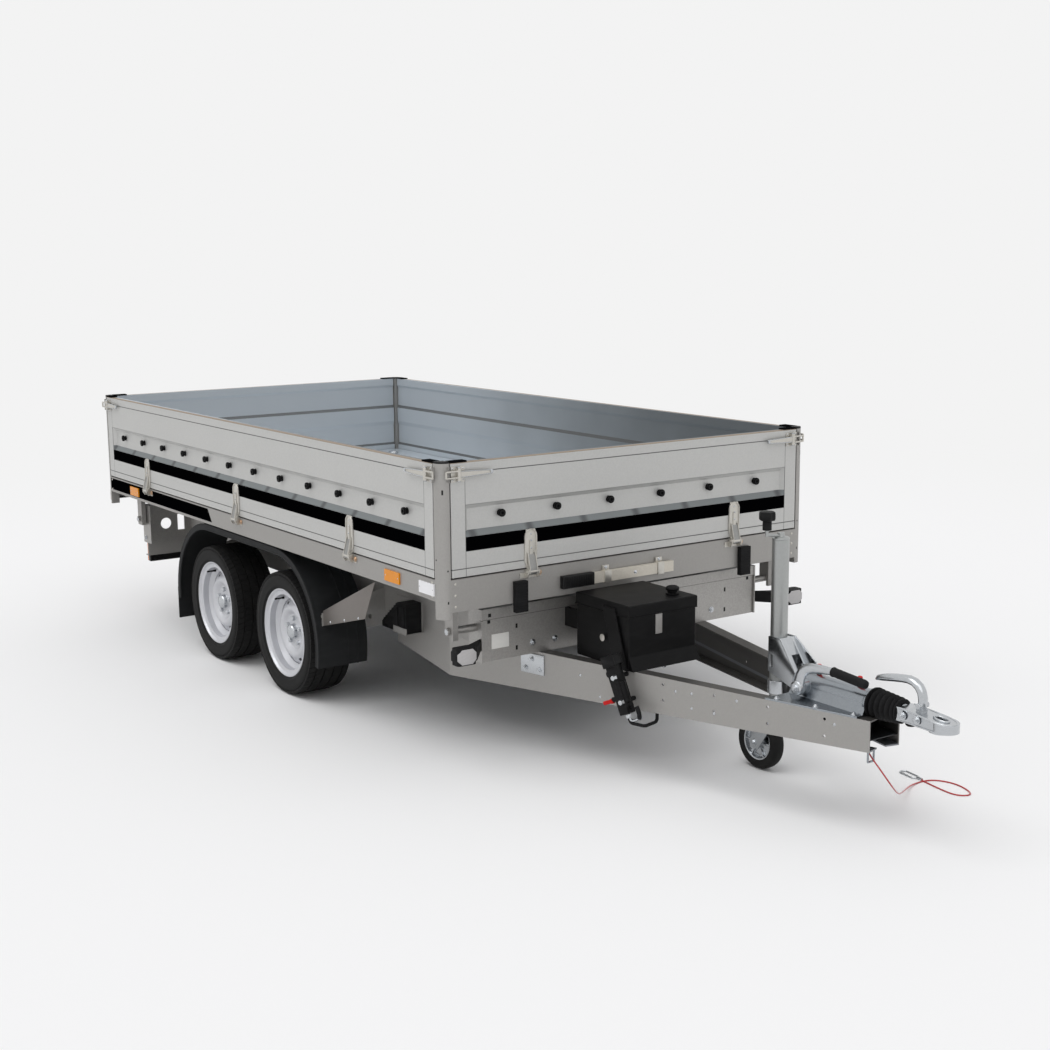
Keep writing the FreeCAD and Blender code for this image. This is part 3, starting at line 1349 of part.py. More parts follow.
def jack_clamp():
    """Clamp bands round the tube and the gusset that bolts to the drawbar."""
    grip = JACK_RADIUS
    bands = []
    for z in (CLAMP_BAND_Z, CLAMP_LOW_Z):
        bands.append(tube(vec(JACK_X, JACK_Y, z), vec(JACK_X, JACK_Y, z + CLAMP_BAND),
                          CLAMP_RADIUS, grip))
    foot_z = CHASSIS_BOTTOM
    top_z = CLAMP_BAND_Z + CLAMP_GUSSET_HEIGHT
    x0 = JACK_X + CLAMP_RADIUS - CLAMP_PLATE
    far = JACK_Y - CLAMP_GUSSET_LENGTH
    rear = JACK_Y + CLAMP_BAND
    plate = block(x0, x0 + CLAMP_FOOT, JACK_Y, JACK_Y - CLAMP_PLATE, foot_z, top_z - CLAMP_FOOT)
    rib = prism([vec(x0, JACK_Y, foot_z), vec(x0, JACK_Y, top_z),
                 vec(x0, JACK_Y - CLAMP_BAND, top_z), vec(x0, far, foot_z + CLAMP_BAND),
                 vec(x0, far, foot_z)], vec(CLAMP_PLATE, 0, 0))
    sole = prism([vec(x0, rear, foot_z), vec(x0, far, foot_z),
                  vec(member_half(far), far, foot_z), vec(member_half(rear), rear, foot_z)],
                 vec(0, 0, CLAMP_PLATE))
    hollow = rod(vec(JACK_X, JACK_Y, JACK_TUBE_BOTTOM), vec(JACK_X, JACK_Y, JACK_TOP), grip)
    upper = fuse([bands[0], plate, rib, sole]).cut(hollow)
    y0 = JACK_Y - CLAMP_BAND / 4
    y1 = JACK_Y + CLAMP_BAND / 4
    arm = prism([vec(x0, y0, CLAMP_LOW_Z), vec(inside_face(y0), y0, CLAMP_LOW_Z),
                 vec(inside_face(y1), y1, CLAMP_LOW_Z), vec(x0, y1, CLAMP_LOW_Z)],
                vec(0, 0, CLAMP_BAND))
    return [upper, fuse([bands[1], arm]).cut(hollow)]


def fork_top():
    return LEG_BOTTOM - TOUCH_GAP


def build_jack_fork():
    """Swivelling fork under the leg, its wheel trailing behind."""
    top = fork_top()
    y = JACK_Y + JACK_TRAIL
    half = FORK_INSIDE + FORK_PLATE
    crown = block(JACK_X - half, JACK_X + half, JACK_Y - SWIVEL_RADIUS,
                  JACK_Y + SWIVEL_RADIUS, top - SWIVEL_WALL, top)
    pieces = [crown]
    for hand in (-1, 1):
        x0 = JACK_X + hand * FORK_INSIDE
        low = JACK_WHEEL_RADIUS
        side = prism([vec(x0, JACK_Y - SWIVEL_RADIUS, top),
                      vec(x0, JACK_Y + SWIVEL_RADIUS, top),
                      vec(x0, y + SWIVEL_RADIUS, low + SWIVEL_RADIUS / 2),
                      vec(x0, y + SWIVEL_RADIUS, low - SWIVEL_RADIUS),
                      vec(x0, y - SWIVEL_RADIUS, low - SWIVEL_RADIUS),
                      vec(x0, JACK_Y - SWIVEL_RADIUS, top - 2 * SWIVEL_WALL)],
                     vec(hand * FORK_PLATE, 0, 0))
        pieces.append(side)
    axle = rod(vec(JACK_X - half, y, JACK_WHEEL_RADIUS), vec(JACK_X + half, y, JACK_WHEEL_RADIUS),
               JACK_AXLE_RADIUS)
    body = fuse(pieces + [axle])
    save("jack_fork", [body])


def build_jack_wheel():
    y = JACK_Y + JACK_TRAIL
    half = JACK_TYRE_WIDTH / 2
    r = JACK_WHEEL_RADIUS
    inner = JACK_RIM_RADIUS
    tyre = [(inner, -half * JACK_BEAD_SHARE), (r - half / 2, -half), (r, -half / 2), (r, half / 2),
            (r - half / 2, half), (inner, half * JACK_BEAD_SHARE)]
    origin = vec(JACK_X, y, r)
    save("jack_tyre", [lathe(tyre, origin, vec(1, 0, 0))])
    bore = JACK_AXLE_RADIUS + HINGE_RUNNING
    web = JACK_WALL
    rim = [(bore, -half), (JACK_HUB_RADIUS, -half), (JACK_HUB_RADIUS, -web),
           (inner - web, -web), (inner - web, -half * JACK_BEAD_SHARE), (inner, -half * JACK_BEAD_SHARE),
           (inner, half * JACK_BEAD_SHARE), (inner - web, half * JACK_BEAD_SHARE), (inner - web, web),
           (JACK_HUB_RADIUS, web), (JACK_HUB_RADIUS, half), (bore, half)]
    save("jack_rim", [lathe(rim, origin, vec(1, 0, 0))])


def build_pump_box():
    """Black housing of the lifting unit, between the drawbar members."""
    body = block(BOX_RIGHT, BOX_LEFT, BOX_FRONT, BOX_REAR, BOX_BOTTOM, BOX_TOP - BOX_LID)
    edges = [e for e in body.Edges if is_upright(e)]
    body = body.makeFillet(BOX_ROUND, edges)
    lid = block(BOX_RIGHT - BOX_LID_LAP, BOX_LEFT + BOX_LID_LAP, BOX_FRONT - BOX_LID_LAP,
                BOX_REAR, BOX_TOP - BOX_LID, BOX_TOP)
    lid = lid.makeChamfer(BOX_LID_LAP, [e for e in lid.Edges if at_height(e, BOX_TOP)])
    shelf = prism([vec(BOX_LEFT, BOX_FRONT, BOX_BOTTOM),
                   vec(BOX_LEFT, BOX_FRONT - BOX_SHELF, BOX_BOTTOM),
                   vec(BOX_LEFT, BOX_FRONT, BOX_BOTTOM + 2 * BOX_SHELF)],
                  vec(BOX_RIGHT - BOX_LEFT, 0, 0))
    x = BOX_LEFT - FILLER_SET_IN
    y = BOX_FRONT + FILLER_SET_IN
    cap = lathe([(0, 0), (FILLER_RADIUS, 0), (FILLER_RADIUS, FILLER_HEIGHT / 2),
                 (FILLER_CAP_RADIUS, FILLER_HEIGHT / 2), (FILLER_CAP_RADIUS, FILLER_HEIGHT),
                 (0, FILLER_HEIGHT)], vec(x, y, BOX_TOP), vec(0, 0, 1))
    x0 = BOX_RIGHT - BOX_LID_LAP
    lap = BOX_TOP - BOX_LID / 2
    arm = prism([vec(x0, BOX_FRONT + STRAP_ARM_WIDTH, lap),
                 vec(x0, BOX_FRONT + 2 * STRAP_ARM_WIDTH, lap),
                 vec(x0, BOX_FRONT + STRAP_ARM_WIDTH, CHASSIS_BOTTOM),
                 vec(x0, BOX_FRONT, CHASSIS_BOTTOM)], vec(-STRAP_ARM_WALL, 0, 0))
    foot = block(x0, -member_half(BOX_FRONT) + DRAWBAR_WALL, BOX_FRONT,
                 BOX_FRONT + STRAP_ARM_WIDTH, CHASSIS_BOTTOM, CHASSIS_BOTTOM + STRAP_ARM_WALL)
    save("pump_box", [fuse([body, lid, shelf, cap, arm, foot] + box_mounts())])


def box_mounts():
    """Two bars from the back of the box to the front cross beam."""
    face = FRONT_BEAM_FACE
    z1 = CHASSIS_TOP - FRONT_BEAM_FOLD
    bars = []
    for x in (BOX_RIGHT + BOX_SHELF, BOX_LEFT - BOX_SHELF):
        bars.append(block(x - STRAP_ARM_WALL, x + STRAP_ARM_WALL, BOX_REAR, face,
                          z1 - STRAP_ARM_WIDTH, z1))
    return bars


def is_upright(edge):
    a, b = edge.Vertexes[0].Point, edge.Vertexes[-1].Point
    return abs(a.z - b.z) > BOX_ROUND and abs(a.x - b.x) < TOUCH_GAP and abs(a.y - b.y) < TOUCH_GAP


def at_height(edge, z):
    return all(abs(v.Point.z - z) < TOUCH_GAP for v in edge.Vertexes)


def build_hand_pump():
    """Hand pump on studs outside the right member, leaning forward."""
    start, bend = drawbar_path()[0], drawbar_path()[1]
    angle = math.degrees(math.atan2(start[0] - bend[0], bend[1] - start[1]))
    half = PUMP_BODY_HALF
    depth = PUMP_BODY_DEPTH
    body = block(-depth, 0, -half, half, -PUMP_LENGTH, 0)
    head = block(-depth, 0, -PUMP_HEAD_HALF, PUMP_HEAD_HALF, 0, PUMP_HEAD_HEIGHT)
    rod_y = half + PUMP_ROD_RADIUS / 2
    ram = rod(vec(-depth / 2, rod_y, -PUMP_LENGTH * PUMP_ROD_SHARE), vec(-depth / 2, rod_y, 0),
              PUMP_ROD_RADIUS)
    release = rod(vec(-depth / 2, half, -PUMP_LENGTH * PUMP_ROD_SHARE),
                  vec(-depth / 2, half + PUMP_RELEASE_REACH, -PUMP_LENGTH * PUMP_ROD_SHARE),
                  PUMP_ROD_RADIUS)
    shapes = [body, head, ram, release]
    for share in PUMP_STUD_SHARES:
        z = -PUMP_LENGTH * share
        shapes.append(rod(vec(0, -half / 2, z), vec(PUMP_STAND, -half / 2, z),
                          PUMP_STUD_RADIUS))
    pump = fuse(shapes)
    pump.rotate(vec(0, 0, 0), vec(1, 0, 0), -PUMP_TILT)
    pump.rotate(vec(0, 0, 0), vec(0, 0, 1), angle)
    nx, ny = side_normal(start, bend)
    x = -member_half(PUMP_Y) - nx * PUMP_STAND
    spot = vec(x, PUMP_Y - ny * PUMP_STAND, PUMP_TOP)
    pump.translate(spot)
    save("hand_pump", [pump])
    build_pump_hose(spot, angle)


def build_pump_hose(spot, angle):
    """Hose from the foot of the hand pump to the underside of the drawbar."""
    lean = math.radians(PUMP_TILT)
    reach = PUMP_LENGTH
    local = vec(-PUMP_BODY_DEPTH / 2, -reach * math.sin(lean), -reach * math.cos(lean))
    frame = FreeCAD.Rotation(vec(0, 0, 1), angle)
    down = vec(0, -math.sin(lean), -math.cos(lean))
    foot = spot.add(frame.multVec(local))
    way = frame.multVec(down)
    first = foot.add(way.multiply(HOSE_DROP))
    second = first.add(frame.multVec(vec(0, -HOSE_RUN, 0)))
    inside = PUMP_BODY_DEPTH / 2 + PUMP_STAND + DRAWBAR_FLANGE / 2
    third = second.add(frame.multVec(vec(inside, 0, 0)))
    fourth = vec(third.x, third.y, member_bottom(third.y) - TOUCH_GAP)
    bends = [HOSE_BEND / 2, HOSE_BEND / 2, HOSE_BEND / 2]
    hose, path = bent_bar([foot, first, second, third, fourth], bends, HOSE_RADIUS)
    save("pump_hose", [hose])


def build_pump_handle():
    """The hand pump's lever, stored in clips on the front rail."""
    z0 = PUMP_BAR_Z - PUMP_BAR_WIDTH / 2
    z1 = PUMP_BAR_Z + PUMP_BAR_WIDTH / 2
    back = -PUMP_CLIP_WALL
    front = back - PUMP_BAR_DEPTH
    bar = block(PUMP_BAR_RIGHT, PUMP_BAR_LEFT, front, back, z0, z1)
    grip = block(PUMP_BAR_RIGHT - PUMP_GRIP_LENGTH, PUMP_BAR_RIGHT, front - PUMP_GRIP_EXTRA,
                 back + PUMP_GRIP_EXTRA / 2, z0 - PUMP_GRIP_EXTRA, z1 + PUMP_GRIP_EXTRA)
    clips = []
    for share in PUMP_CLIP_SHARES:
        x = PUMP_BAR_RIGHT + share * (PUMP_BAR_LEFT - PUMP_BAR_RIGHT)
        half = PUMP_CLIP_WIDTH / 2
        ring = block(x - half, x + half, front - PUMP_CLIP_WALL, 0,
                     z0 - PUMP_CLIP_WALL, z1 + PUMP_CLIP_WALL)
        clips.append(ring.cut(block(x - half, x + half, front, back, z0, z1)))
    save("pump_lever", [fuse([bar, grip] + clips)])


def build_lamps():
    """White front lamps on rubber arms, rear lamps on their bar."""
    z0 = LAMP_Z - LAMP_HEIGHT / 2
    z1 = LAMP_Z + LAMP_HEIGHT / 2
    x0 = -LAMP_OUT - LAMP_HALF
    x1 = -LAMP_OUT + LAMP_HALF
    lamp = block(x0, x1, LAMP_Y - LAMP_DEPTH / 2, LAMP_Y + LAMP_DEPTH / 2, z0, z1)
    lamp = lamp.makeFillet(LAMP_DEPTH / 4, [e for e in lamp.Edges if is_upright(e)])
    s = LAMP_SLEEVE
    plate = FRONT_BEAM_HALF + END_PLATE_WALL
    a0 = LAMP_Z - LAMP_ARM_HEIGHT / 2
    back = LAMP_Y + LAMP_DEPTH / 2
    arm = prism([vec(x0 + LAMP_DEPTH, back, a0), vec(x1, back, a0),
                 vec(x1 + s, LAMP_Y - LAMP_DEPTH / 4, a0), vec(x1 + 2 * s, LAMP_Y - LAMP_DEPTH / 4, a0),
                 vec(-plate, FRONT_BEAM_FACE, a0), vec(-plate, PIVOT_FRONT - FORK_WIDTH / 2 - s, a0)],
                vec(0, 0, LAMP_ARM_HEIGHT))
    save("front_lamps", both_sides(fuse([lamp, arm])))
    build_rear_lamps()


def build_rear_lamps():
    face = REAR_BEAM_FACE + REAR_BEAM_DEPTH + END_PLATE_LIP
    bar = channel_x(-REAR_BEAM_HALF, REAR_BEAM_HALF, face - REAR_BAR_DEPTH, REAR_BAR_DEPTH,
                    CHASSIS_BOTTOM - REAR_BAR_HEIGHT, CHASSIS_BOTTOM, BEAM_WALL)
    w = REAR_LAMP_WIDTH / 2
    lamp = block(-REAR_LAMP_OUT - w, -REAR_LAMP_OUT + w, face, face + REAR_LAMP_DEPTH,
                 REAR_LAMP_Z - REAR_LAMP_HEIGHT / 2, REAR_LAMP_Z + REAR_LAMP_HEIGHT / 2)
    far = face + REAR_LAMP_DEPTH
    edges = [e for e in lamp.Edges if all(abs(v.Point.y - far) < TOUCH_GAP for v in e.Vertexes)]
    lamp = lamp.makeFillet(REAR_LAMP_DEPTH / 4, edges)
    save("rear_lamps", both_sides(lamp))
    plate = block(-NUMBER_PLATE_HALF, NUMBER_PLATE_HALF, face, face + NUMBER_PLATE_WALL,
                  REAR_LAMP_Z - NUMBER_PLATE_HEIGHT / 2, REAR_LAMP_Z + NUMBER_PLATE_HEIGHT / 2)
    save("rear_lamp_bar", [fuse([bar, plate])])


def build_rail_fittings():
    """Rubber buffers on the front rail and reflectors on the side rails."""
    half = BUFFER_WIDTH / 2
    buffer = block(-BUFFER_OUT - half, -BUFFER_OUT + half, -BUFFER_DEPTH, 0,
                   BUFFER_BOTTOM, BUFFER_TOP)
    save("front_buffers", both_sides(buffer))
    z0 = REFLECTOR_Z - REFLECTOR_HEIGHT / 2
    z1 = REFLECTOR_Z + REFLECTOR_HEIGHT / 2
    x0 = -HALF_WIDTH - REFLECTOR_WALL
    amber = []
    for y in (REFLECTOR_FRONT, REFLECTOR_REAR):
        tab = block(x0, -HALF_WIDTH, y - REFLECTOR_LENGTH / 2, y + REFLECTOR_LENGTH / 2, z0, z1)
        amber += both_sides(tab)
    white = block(x0, -HALF_WIDTH, WHITE_FRONT - REFLECTOR_LENGTH / 2 + REFLECTOR_WALL,
                  WHITE_FRONT + REFLECTOR_LENGTH / 2, z0, z1)
    save("reflectors", amber + both_sides(white))


def wheel_frame(side, y):
    """Wheel centre and the outward direction of its axis."""
    way = -1 if side == "right" else 1
    return vec(way * TYRE_OUT, y, WHEEL_Z), vec(way, 0, 0)


def tyre_side(shift):
    """Section of one tyre side; shift is how far the rim stands out of the middle."""
    half = TYRE_WIDTH / 2
    tread = half - TYRE_SHOULDER / 2
    r = TYRE_RADIUS
    bulge = (TYRE_BEAD + r) / 2
    seat = RIM_HALF - RIM_WALL + shift
    return [(RIM_SEAT_RADIUS, seat - RIM_WALL), (RIM_FLANGE_RADIUS, seat),
            (RIM_FLANGE_RADIUS + RIM_WALL, half - RIM_WALL),
            (bulge, half), (r - TYRE_SHOULDER, half - TYRE_SHOULDER / 8),
            (r - TYRE_SHOULDER / 4, half - TYRE_SHOULDER / 2),
            (r, tread - TYRE_SHOULDER / 2)]


def tyre_profile():
    """Both sides of the tyre, its beads on the rim's seats."""
    shift = TYRE_WIDTH / 2 - RIM_INSET - RIM_HALF
    inner = [(radius, -h) for radius, h in reversed(tyre_side(-shift))]
    return tyre_side(shift) + inner


def rim_profile():
    """Drop-centre rim section, flanges turned out."""
    half = RIM_HALF
    w = RIM_WALL
    seat = RIM_SEAT_RADIUS
    well = RIM_WELL_RADIUS
    flange = RIM_FLANGE_RADIUS
    outer = [(flange, half), (flange, half - w), (seat, half - w - w / 2),
             (seat, half / 2), (well, half * RIM_WELL_SHARE),
             (well, -half * RIM_STEP_SHARE), (seat, -half / 2),
             (seat, -half + w + w / 2), (flange, -half + w), (flange, -half)]
    inner = [(seat - w, -half + w), (seat - w, -half / 2 + w),
             (well - w, -half * RIM_STEP_SHARE + w), (well - w, half * RIM_WELL_SHARE - w),
             (seat - w, half / 2 - w), (seat - w, half - w)]
    return outer + inner


def disc_profile():
    """Dished wheel disc with a raised crown round the studs."""
    face = RIM_OFFSET
    w = RIM_WALL
    dish = DISC_DISH
    crown = DISC_CROWN_RADIUS
    rim = RIM_WELL_RADIUS - w / 2
    seat = DISC_SEAT_RADIUS
    return [(HUB_BORE, face), (seat, face), (crown, face + dish - w),
            (crown + dish, face + dish - w), (rim, face - dish / 2), (rim, face - dish),
            (crown + dish, face - w + dish * DISC_DISH_SHARE), (crown, face - w + dish * DISC_DISH_SHARE),
            (seat, face - w), (HUB_BORE, face - w)]


def hub_profile():
    """Brake drum, hub flange and cap as one turning piece."""
    flange = RIM_OFFSET - RIM_WALL / 2
    low = RIM_OFFSET - RIM_WALL - DRUM_LENGTH
    nose = RIM_OFFSET + HUB_CAP_LENGTH
    bore = STUB_RADIUS + STUB_RUNNING
    inside = flange - RIM_WALL * 2
    return [(DRUM_RADIUS, low), (DRUM_RADIUS, flange - RIM_WALL), (HUB_FLANGE_RADIUS, flange),
            (HUB_CAP_RADIUS, flange), (HUB_CAP_RADIUS, nose - RIM_WALL),
            (HUB_NOSE_RADIUS, nose), (0, nose), (0, inside), (bore, inside),
            (bore, low), (HUB_CAP_RADIUS, low), (HUB_CAP_RADIUS, inside - RIM_WALL),
            (DRUM_RADIUS - RIM_WALL, inside - RIM_WALL), (DRUM_RADIUS - RIM_WALL, low)]


def build_wheels():
    for side in ("right", "left"):
        for place_name, y in (("front", AXLE_FRONT), ("rear", AXLE_REAR)):
            centre, way = wheel_frame(side, y)
            name = "wheel_" + side + "_" + place_name
            save(name + "_tyre", [lathe(tyre_profile(), centre, way)])
            face = centre.add(way * (TYRE_WIDTH / 2 - RIM_INSET - RIM_HALF))
            rim = fuse([lathe(rim_profile(), face, way), lathe(disc_profile(), face, way)])
            rim = rim.cut(fuse(rim_windows(face, way)))
            hub = lathe(hub_profile(), face, way)
            save(name + "_rim", [fuse([rim, hub] + studs(face, way))])


def rim_windows(face, way):
    """Vent holes round the disc's edge."""
    holes = []
    for i in range(RIM_WINDOWS):
        angle = 2 * math.pi * i / RIM_WINDOWS
        y = face.y + RIM_WINDOW_CIRCLE * math.cos(angle)
        z = face.z + RIM_WINDOW_CIRCLE * math.sin(angle)
        a = vec(face.x, y, z)
        b = a.add(way * RIM_HALF)
        holes.append(rod(a, b, RIM_WINDOW_RADIUS))
    return holes


def studs(face, way):
    bolts = []
    for i in range(STUDS):
        angle = 2 * math.pi * (i + STUD_TURN_SHARE) / STUDS
        y = face.y + STUD_CIRCLE * math.cos(angle)
        z = face.z + STUD_CIRCLE * math.sin(angle)
        a = vec(face.x + way.x * RIM_OFFSET, y, z)
        bolts.append(rod(a, a.add(way * STUD_HEIGHT), STUD_RADIUS))
        bolts.append(rod(a.sub(way * 2 * RIM_WALL), a, STUD_RADIUS / 2))
    return bolts


def axle_half(y):
    """Trailing arm, backplate and stub on the right hand side."""
    tube_y = y - ARM_LEAD
    tube_z = WHEEL_Z + ARM_RISE
    x0 = -AXLE_TUBE_REACH
    x1 = x0 - ARM_WALL
    boss = rod(vec(x0, tube_y, tube_z), vec(x1, tube_y, tube_z), ARM_BIG)
    eye = rod(vec(x0, y, WHEEL_Z), vec(x1, y, WHEEL_Z), ARM_SMALL)
    arm = prism([vec(x0, tube_y, tube_z + ARM_BIG * ARM_TUBE_SHARE), vec(x0, y, WHEEL_Z + ARM_SMALL),
                 vec(x0, y, WHEEL_Z - ARM_SMALL), vec(x0, tube_y, tube_z - ARM_BIG * ARM_TUBE_SHARE)],
                vec(-ARM_WALL, 0, 0))
    face = -TYRE_OUT - (TYRE_WIDTH / 2 - RIM_INSET - RIM_HALF)
    drum_in = face - RIM_OFFSET + RIM_WALL + DRUM_LENGTH
    plate_x = drum_in + BACKPLATE_GAP
    plate = rod(vec(plate_x, y, WHEEL_Z), vec(plate_x + BACKPLATE_WALL, y, WHEEL_Z),
                BACKPLATE_RADIUS)
    neck = rod(vec(x1, y, WHEEL_Z), vec(plate_x, y, WHEEL_Z), ARM_SMALL - BACKPLATE_WALL)
    stub_end = face - RIM_OFFSET + RIM_WALL * 4
    stub = rod(vec(plate_x, y, WHEEL_Z), vec(stub_end, y, WHEEL_Z), STUB_RADIUS)
    return [boss, eye, arm, plate, neck, stub]


def axle(y):
    """Rubber torsion axle: square tube, arms at both ends, plates to the beams."""
    tube_y = y - ARM_LEAD
    tube_z = WHEEL_Z + ARM_RISE
    h = AXLE_TUBE_HALF
    shapes = [block(-AXLE_TUBE_REACH, AXLE_TUBE_REACH, tube_y - h, tube_y + h,
                    tube_z - h, tube_z + h)]
    for half in axle_half(y):
        shapes += both_sides(half)
    for hand in (-1, 1):
        x = hand * (BEAM_OUT - BEAM_FLANGE / 2)
        w = AXLE_PLATE_WALL / 2
        shapes.append(block(x - w, x + w, tube_y - AXLE_PLATE_HALF, tube_y + AXLE_PLATE_HALF,
                            tube_z, CHASSIS_BOTTOM - AXLE_PLATE_WALL))
        shapes.append(block(hand * (BEAM_OUT - BEAM_FLANGE), hand * BEAM_OUT,
                            tube_y - AXLE_PLATE_HALF, tube_y + AXLE_PLATE_HALF,
                            CHASSIS_BOTTOM - AXLE_PLATE_WALL, CHASSIS_BOTTOM))
    return fuse(shapes)


def guard_point(centre, radius, angle):
    a = math.radians(angle)
    return (centre + radius * math.cos(a), WHEEL_Z + radius * math.sin(a))


def guard_ring(x, radius):
    """Side outline of the mudguard at one radius, open at the bottom."""
    front0 = guard_point(AXLE_FRONT, radius, GUARD_FRONT_ANGLE)
    front1 = guard_point(AXLE_FRONT, radius, (GUARD_FRONT_ANGLE + 90) / 2)
    front2 = guard_point(AXLE_FRONT, radius, 90)
    rear2 = guard_point(AXLE_REAR, radius, 90)
    rear1 = guard_point(AXLE_REAR, radius, (GUARD_REAR_ANGLE + 90) / 2)
    rear0 = guard_point(AXLE_REAR, radius, GUARD_REAR_ANGLE)
    p = [vec(x, y, z) for y, z in (front0, front1, front2, rear2, rear1, rear0)]
    return [Part.Arc(p[0], p[1], p[2]).toShape(), Part.LineSegment(p[2], p[3]).toShape(),
            Part.Arc(p[3], p[4], p[5]).toShape()], p[0], p[5]


def guard_band(x0, x1, outer, inner):
    """A solid band between two mudguard radii, from x0 to x1."""
    outside, a, b = guard_ring(x0, outer)
    inside, c, d = guard_ring(x0, inner)
    edges = outside + [Part.LineSegment(b, d).toShape()] + inside
    edges.append(Part.LineSegment(c, a).toShape())
    wire = Part.Wire(Part.__sortEdges__(edges))
    return Part.Face(wire).extrude(vec(x1 - x0, 0, 0))


def build_mudguards():
    roof = guard_band(-GUARD_OUT, -GUARD_IN, GUARD_RADIUS, GUARD_RADIUS - GUARD_WALL)
    lip = guard_band(-GUARD_OUT, -GUARD_OUT + GUARD_WALL, GUARD_RADIUS, GUARD_RADIUS - GUARD_LIP)
    guard = fuse([roof, lip])
    y, z = guard_point(AXLE_REAR, GUARD_RADIUS, GUARD_REAR_ANGLE)
    lap = 2 * GUARD_LIP
    flap = block(-GUARD_OUT, -GUARD_IN, y + TOUCH_GAP, y + TOUCH_GAP + FLAP_WALL,
                 z - FLAP_LENGTH + lap, z + lap)
    save("mudguards", both_sides(guard) + both_sides(flap))
    stays = []
    rise = CHASSIS_BOTTOM - GUARD_LIP - WHEEL_Z
    reach = math.sqrt(GUARD_RADIUS ** 2 - rise ** 2)
    stays.append(guard_stay(AXLE_FRONT - reach, -1))
    stays.append(guard_stay(AXLE_REAR + reach + FLAP_WALL + TOUCH_GAP, 1))
    for y in (AXLE_FRONT, (AXLE_FRONT + AXLE_REAR) / 2, AXLE_REAR):
        stays.append(guard_arm(y))
    save("side_brackets", [s for stay in stays + [chock_holder()] for s in both_sides(stay)])


def guard_arm(y):
    """Angle bracket from the side beam that lies on the mudguard's roof."""
    roof = WHEEL_Z + GUARD_RADIUS
    w = GUARD_STAY_WALL
    half = GUARD_SKIRT / 2
    leg = block(-BEAM_OUT - w, -BEAM_OUT, y - half, y + half, CHASSIS_TOP - GUARD_STAY_HEIGHT,
                roof + w)
    arm = block(-BEAM_OUT - w, -GUARD_IN - 2 * GUARD_SKIRT, y - half, y + half, roof, roof + w)
    return fuse([leg, arm])


def guard_stay(y, way):
    """Folded plate that carries a mudguard's end from the side beam."""
    low = CHASSIS_BOTTOM
    high = low + GUARD_STAY_HEIGHT
    outline = [vec(-BEAM_OUT, y, high), vec(-BEAM_OUT, y, low),
               vec(-GUARD_OUT + GUARD_LIP, y, low - GUARD_LIP),
               vec(-GUARD_OUT + GUARD_LIP, y, low + GUARD_LIP)]
    return prism(outline, vec(0, way * GUARD_STAY_WALL, 0))


def build_chocks():
    """Wheel chocks in wire holders outside the side beams."""
    x0 = -BEAM_OUT - CHOCK_HOLDER_WALL
    y0 = CHOCK_Y
    z0 = CHOCK_Z
    outline = [(0, 0), (CHOCK_LENGTH, 0), (CHOCK_LENGTH, CHOCK_NOSE),
               (CHOCK_LENGTH * CHOCK_TOP_SHARE, CHOCK_HEIGHT), (0, CHOCK_HEIGHT)]
    points = [vec(x0, y0 + a, z0 + b) for a, b in outline]
    chock = prism(points, vec(-CHOCK_WIDTH, 0, 0))
    save("wheel_chocks", both_sides(chock))


def chock_holder():
    """Folded holder that carries a chock on the side beam."""
    x0 = -BEAM_OUT - CHOCK_HOLDER_WALL
    y0 = CHOCK_Y
    z0 = CHOCK_Z
    g = CHOCK_HOLDER_GAP
    w = CHOCK_HOLDER_WALL
    back = block(-BEAM_OUT, x0, y0 - g, y0 + CHOCK_LENGTH + g, z0 - w, z0 + CHOCK_HEIGHT)
    base = block(-BEAM_OUT, x0 - CHOCK_WIDTH - g, y0 - g, y0 + CHOCK_LENGTH / 2, z0 - w, z0)
    lip = block(x0 - CHOCK_WIDTH, x0 - CHOCK_WIDTH - g, y0 - g, y0 + CHOCK_LENGTH / 2,
                z0 - w, z0 + CHOCK_NOSE)
    return fuse([back, base, lip])


def ram_cross_members():
    """Two cross members and the cradle that holds the ram's trunnions."""
    z0 = RAM_FOOT_Z - CROSS_HEIGHT / 2
    reach = BEAM_OUT - BEAM_WALL
    pieces = []
    for way in (-1, 1):
        face = RAM_Y + way * CROSS_OFFSET
        pieces.append(channel_x(-reach + BEAM_FLANGE, reach - BEAM_FLANGE, face,
                                way * CROSS_DEPTH, CHASSIS_BOTTOM, CHASSIS_BOTTOM + CROSS_HEIGHT,
                                CROSS_WALL))
        for hand in (-1, 1):
            pieces.append(block(hand * (reach - BEAM_FLANGE - CROSS_WALL), hand * reach, face,
                                face + way * CROSS_DEPTH, CHASSIS_BOTTOM + BEAM_WALL,
                                CHASSIS_BOTTOM + CROSS_HEIGHT))
    for hand in (-1, 1):
        x0 = hand * (RAM_TRUNNION_REACH - RAM_CRADLE_WALL)
        x1 = hand * RAM_TRUNNION_REACH
        side = block(x0, x1, RAM_Y - CROSS_OFFSET, RAM_Y + CROSS_OFFSET,
                     z0, CHASSIS_BOTTOM + CROSS_HEIGHT / 2)
        pieces.append(side)
    frame = fuse(pieces)
    a = vec(-RAM_CRADLE_HALF, RAM_Y, RAM_FOOT_Z)
    b = vec(RAM_CRADLE_HALF, RAM_Y, RAM_FOOT_Z)
    return [frame.cut(rod(a, b, RAM_TRUNNION_RADIUS + HINGE_RUNNING))]


def stage_radius(i):
    """Outer radius of stage i, counted from the barrel as stage 0."""
    step = RAM_STAGE_WALL + RAM_CLEARANCE
    return RAM_BARREL_RADIUS - RAM_BARREL_WALL - RAM_CLEARANCE - (i - 1) * step


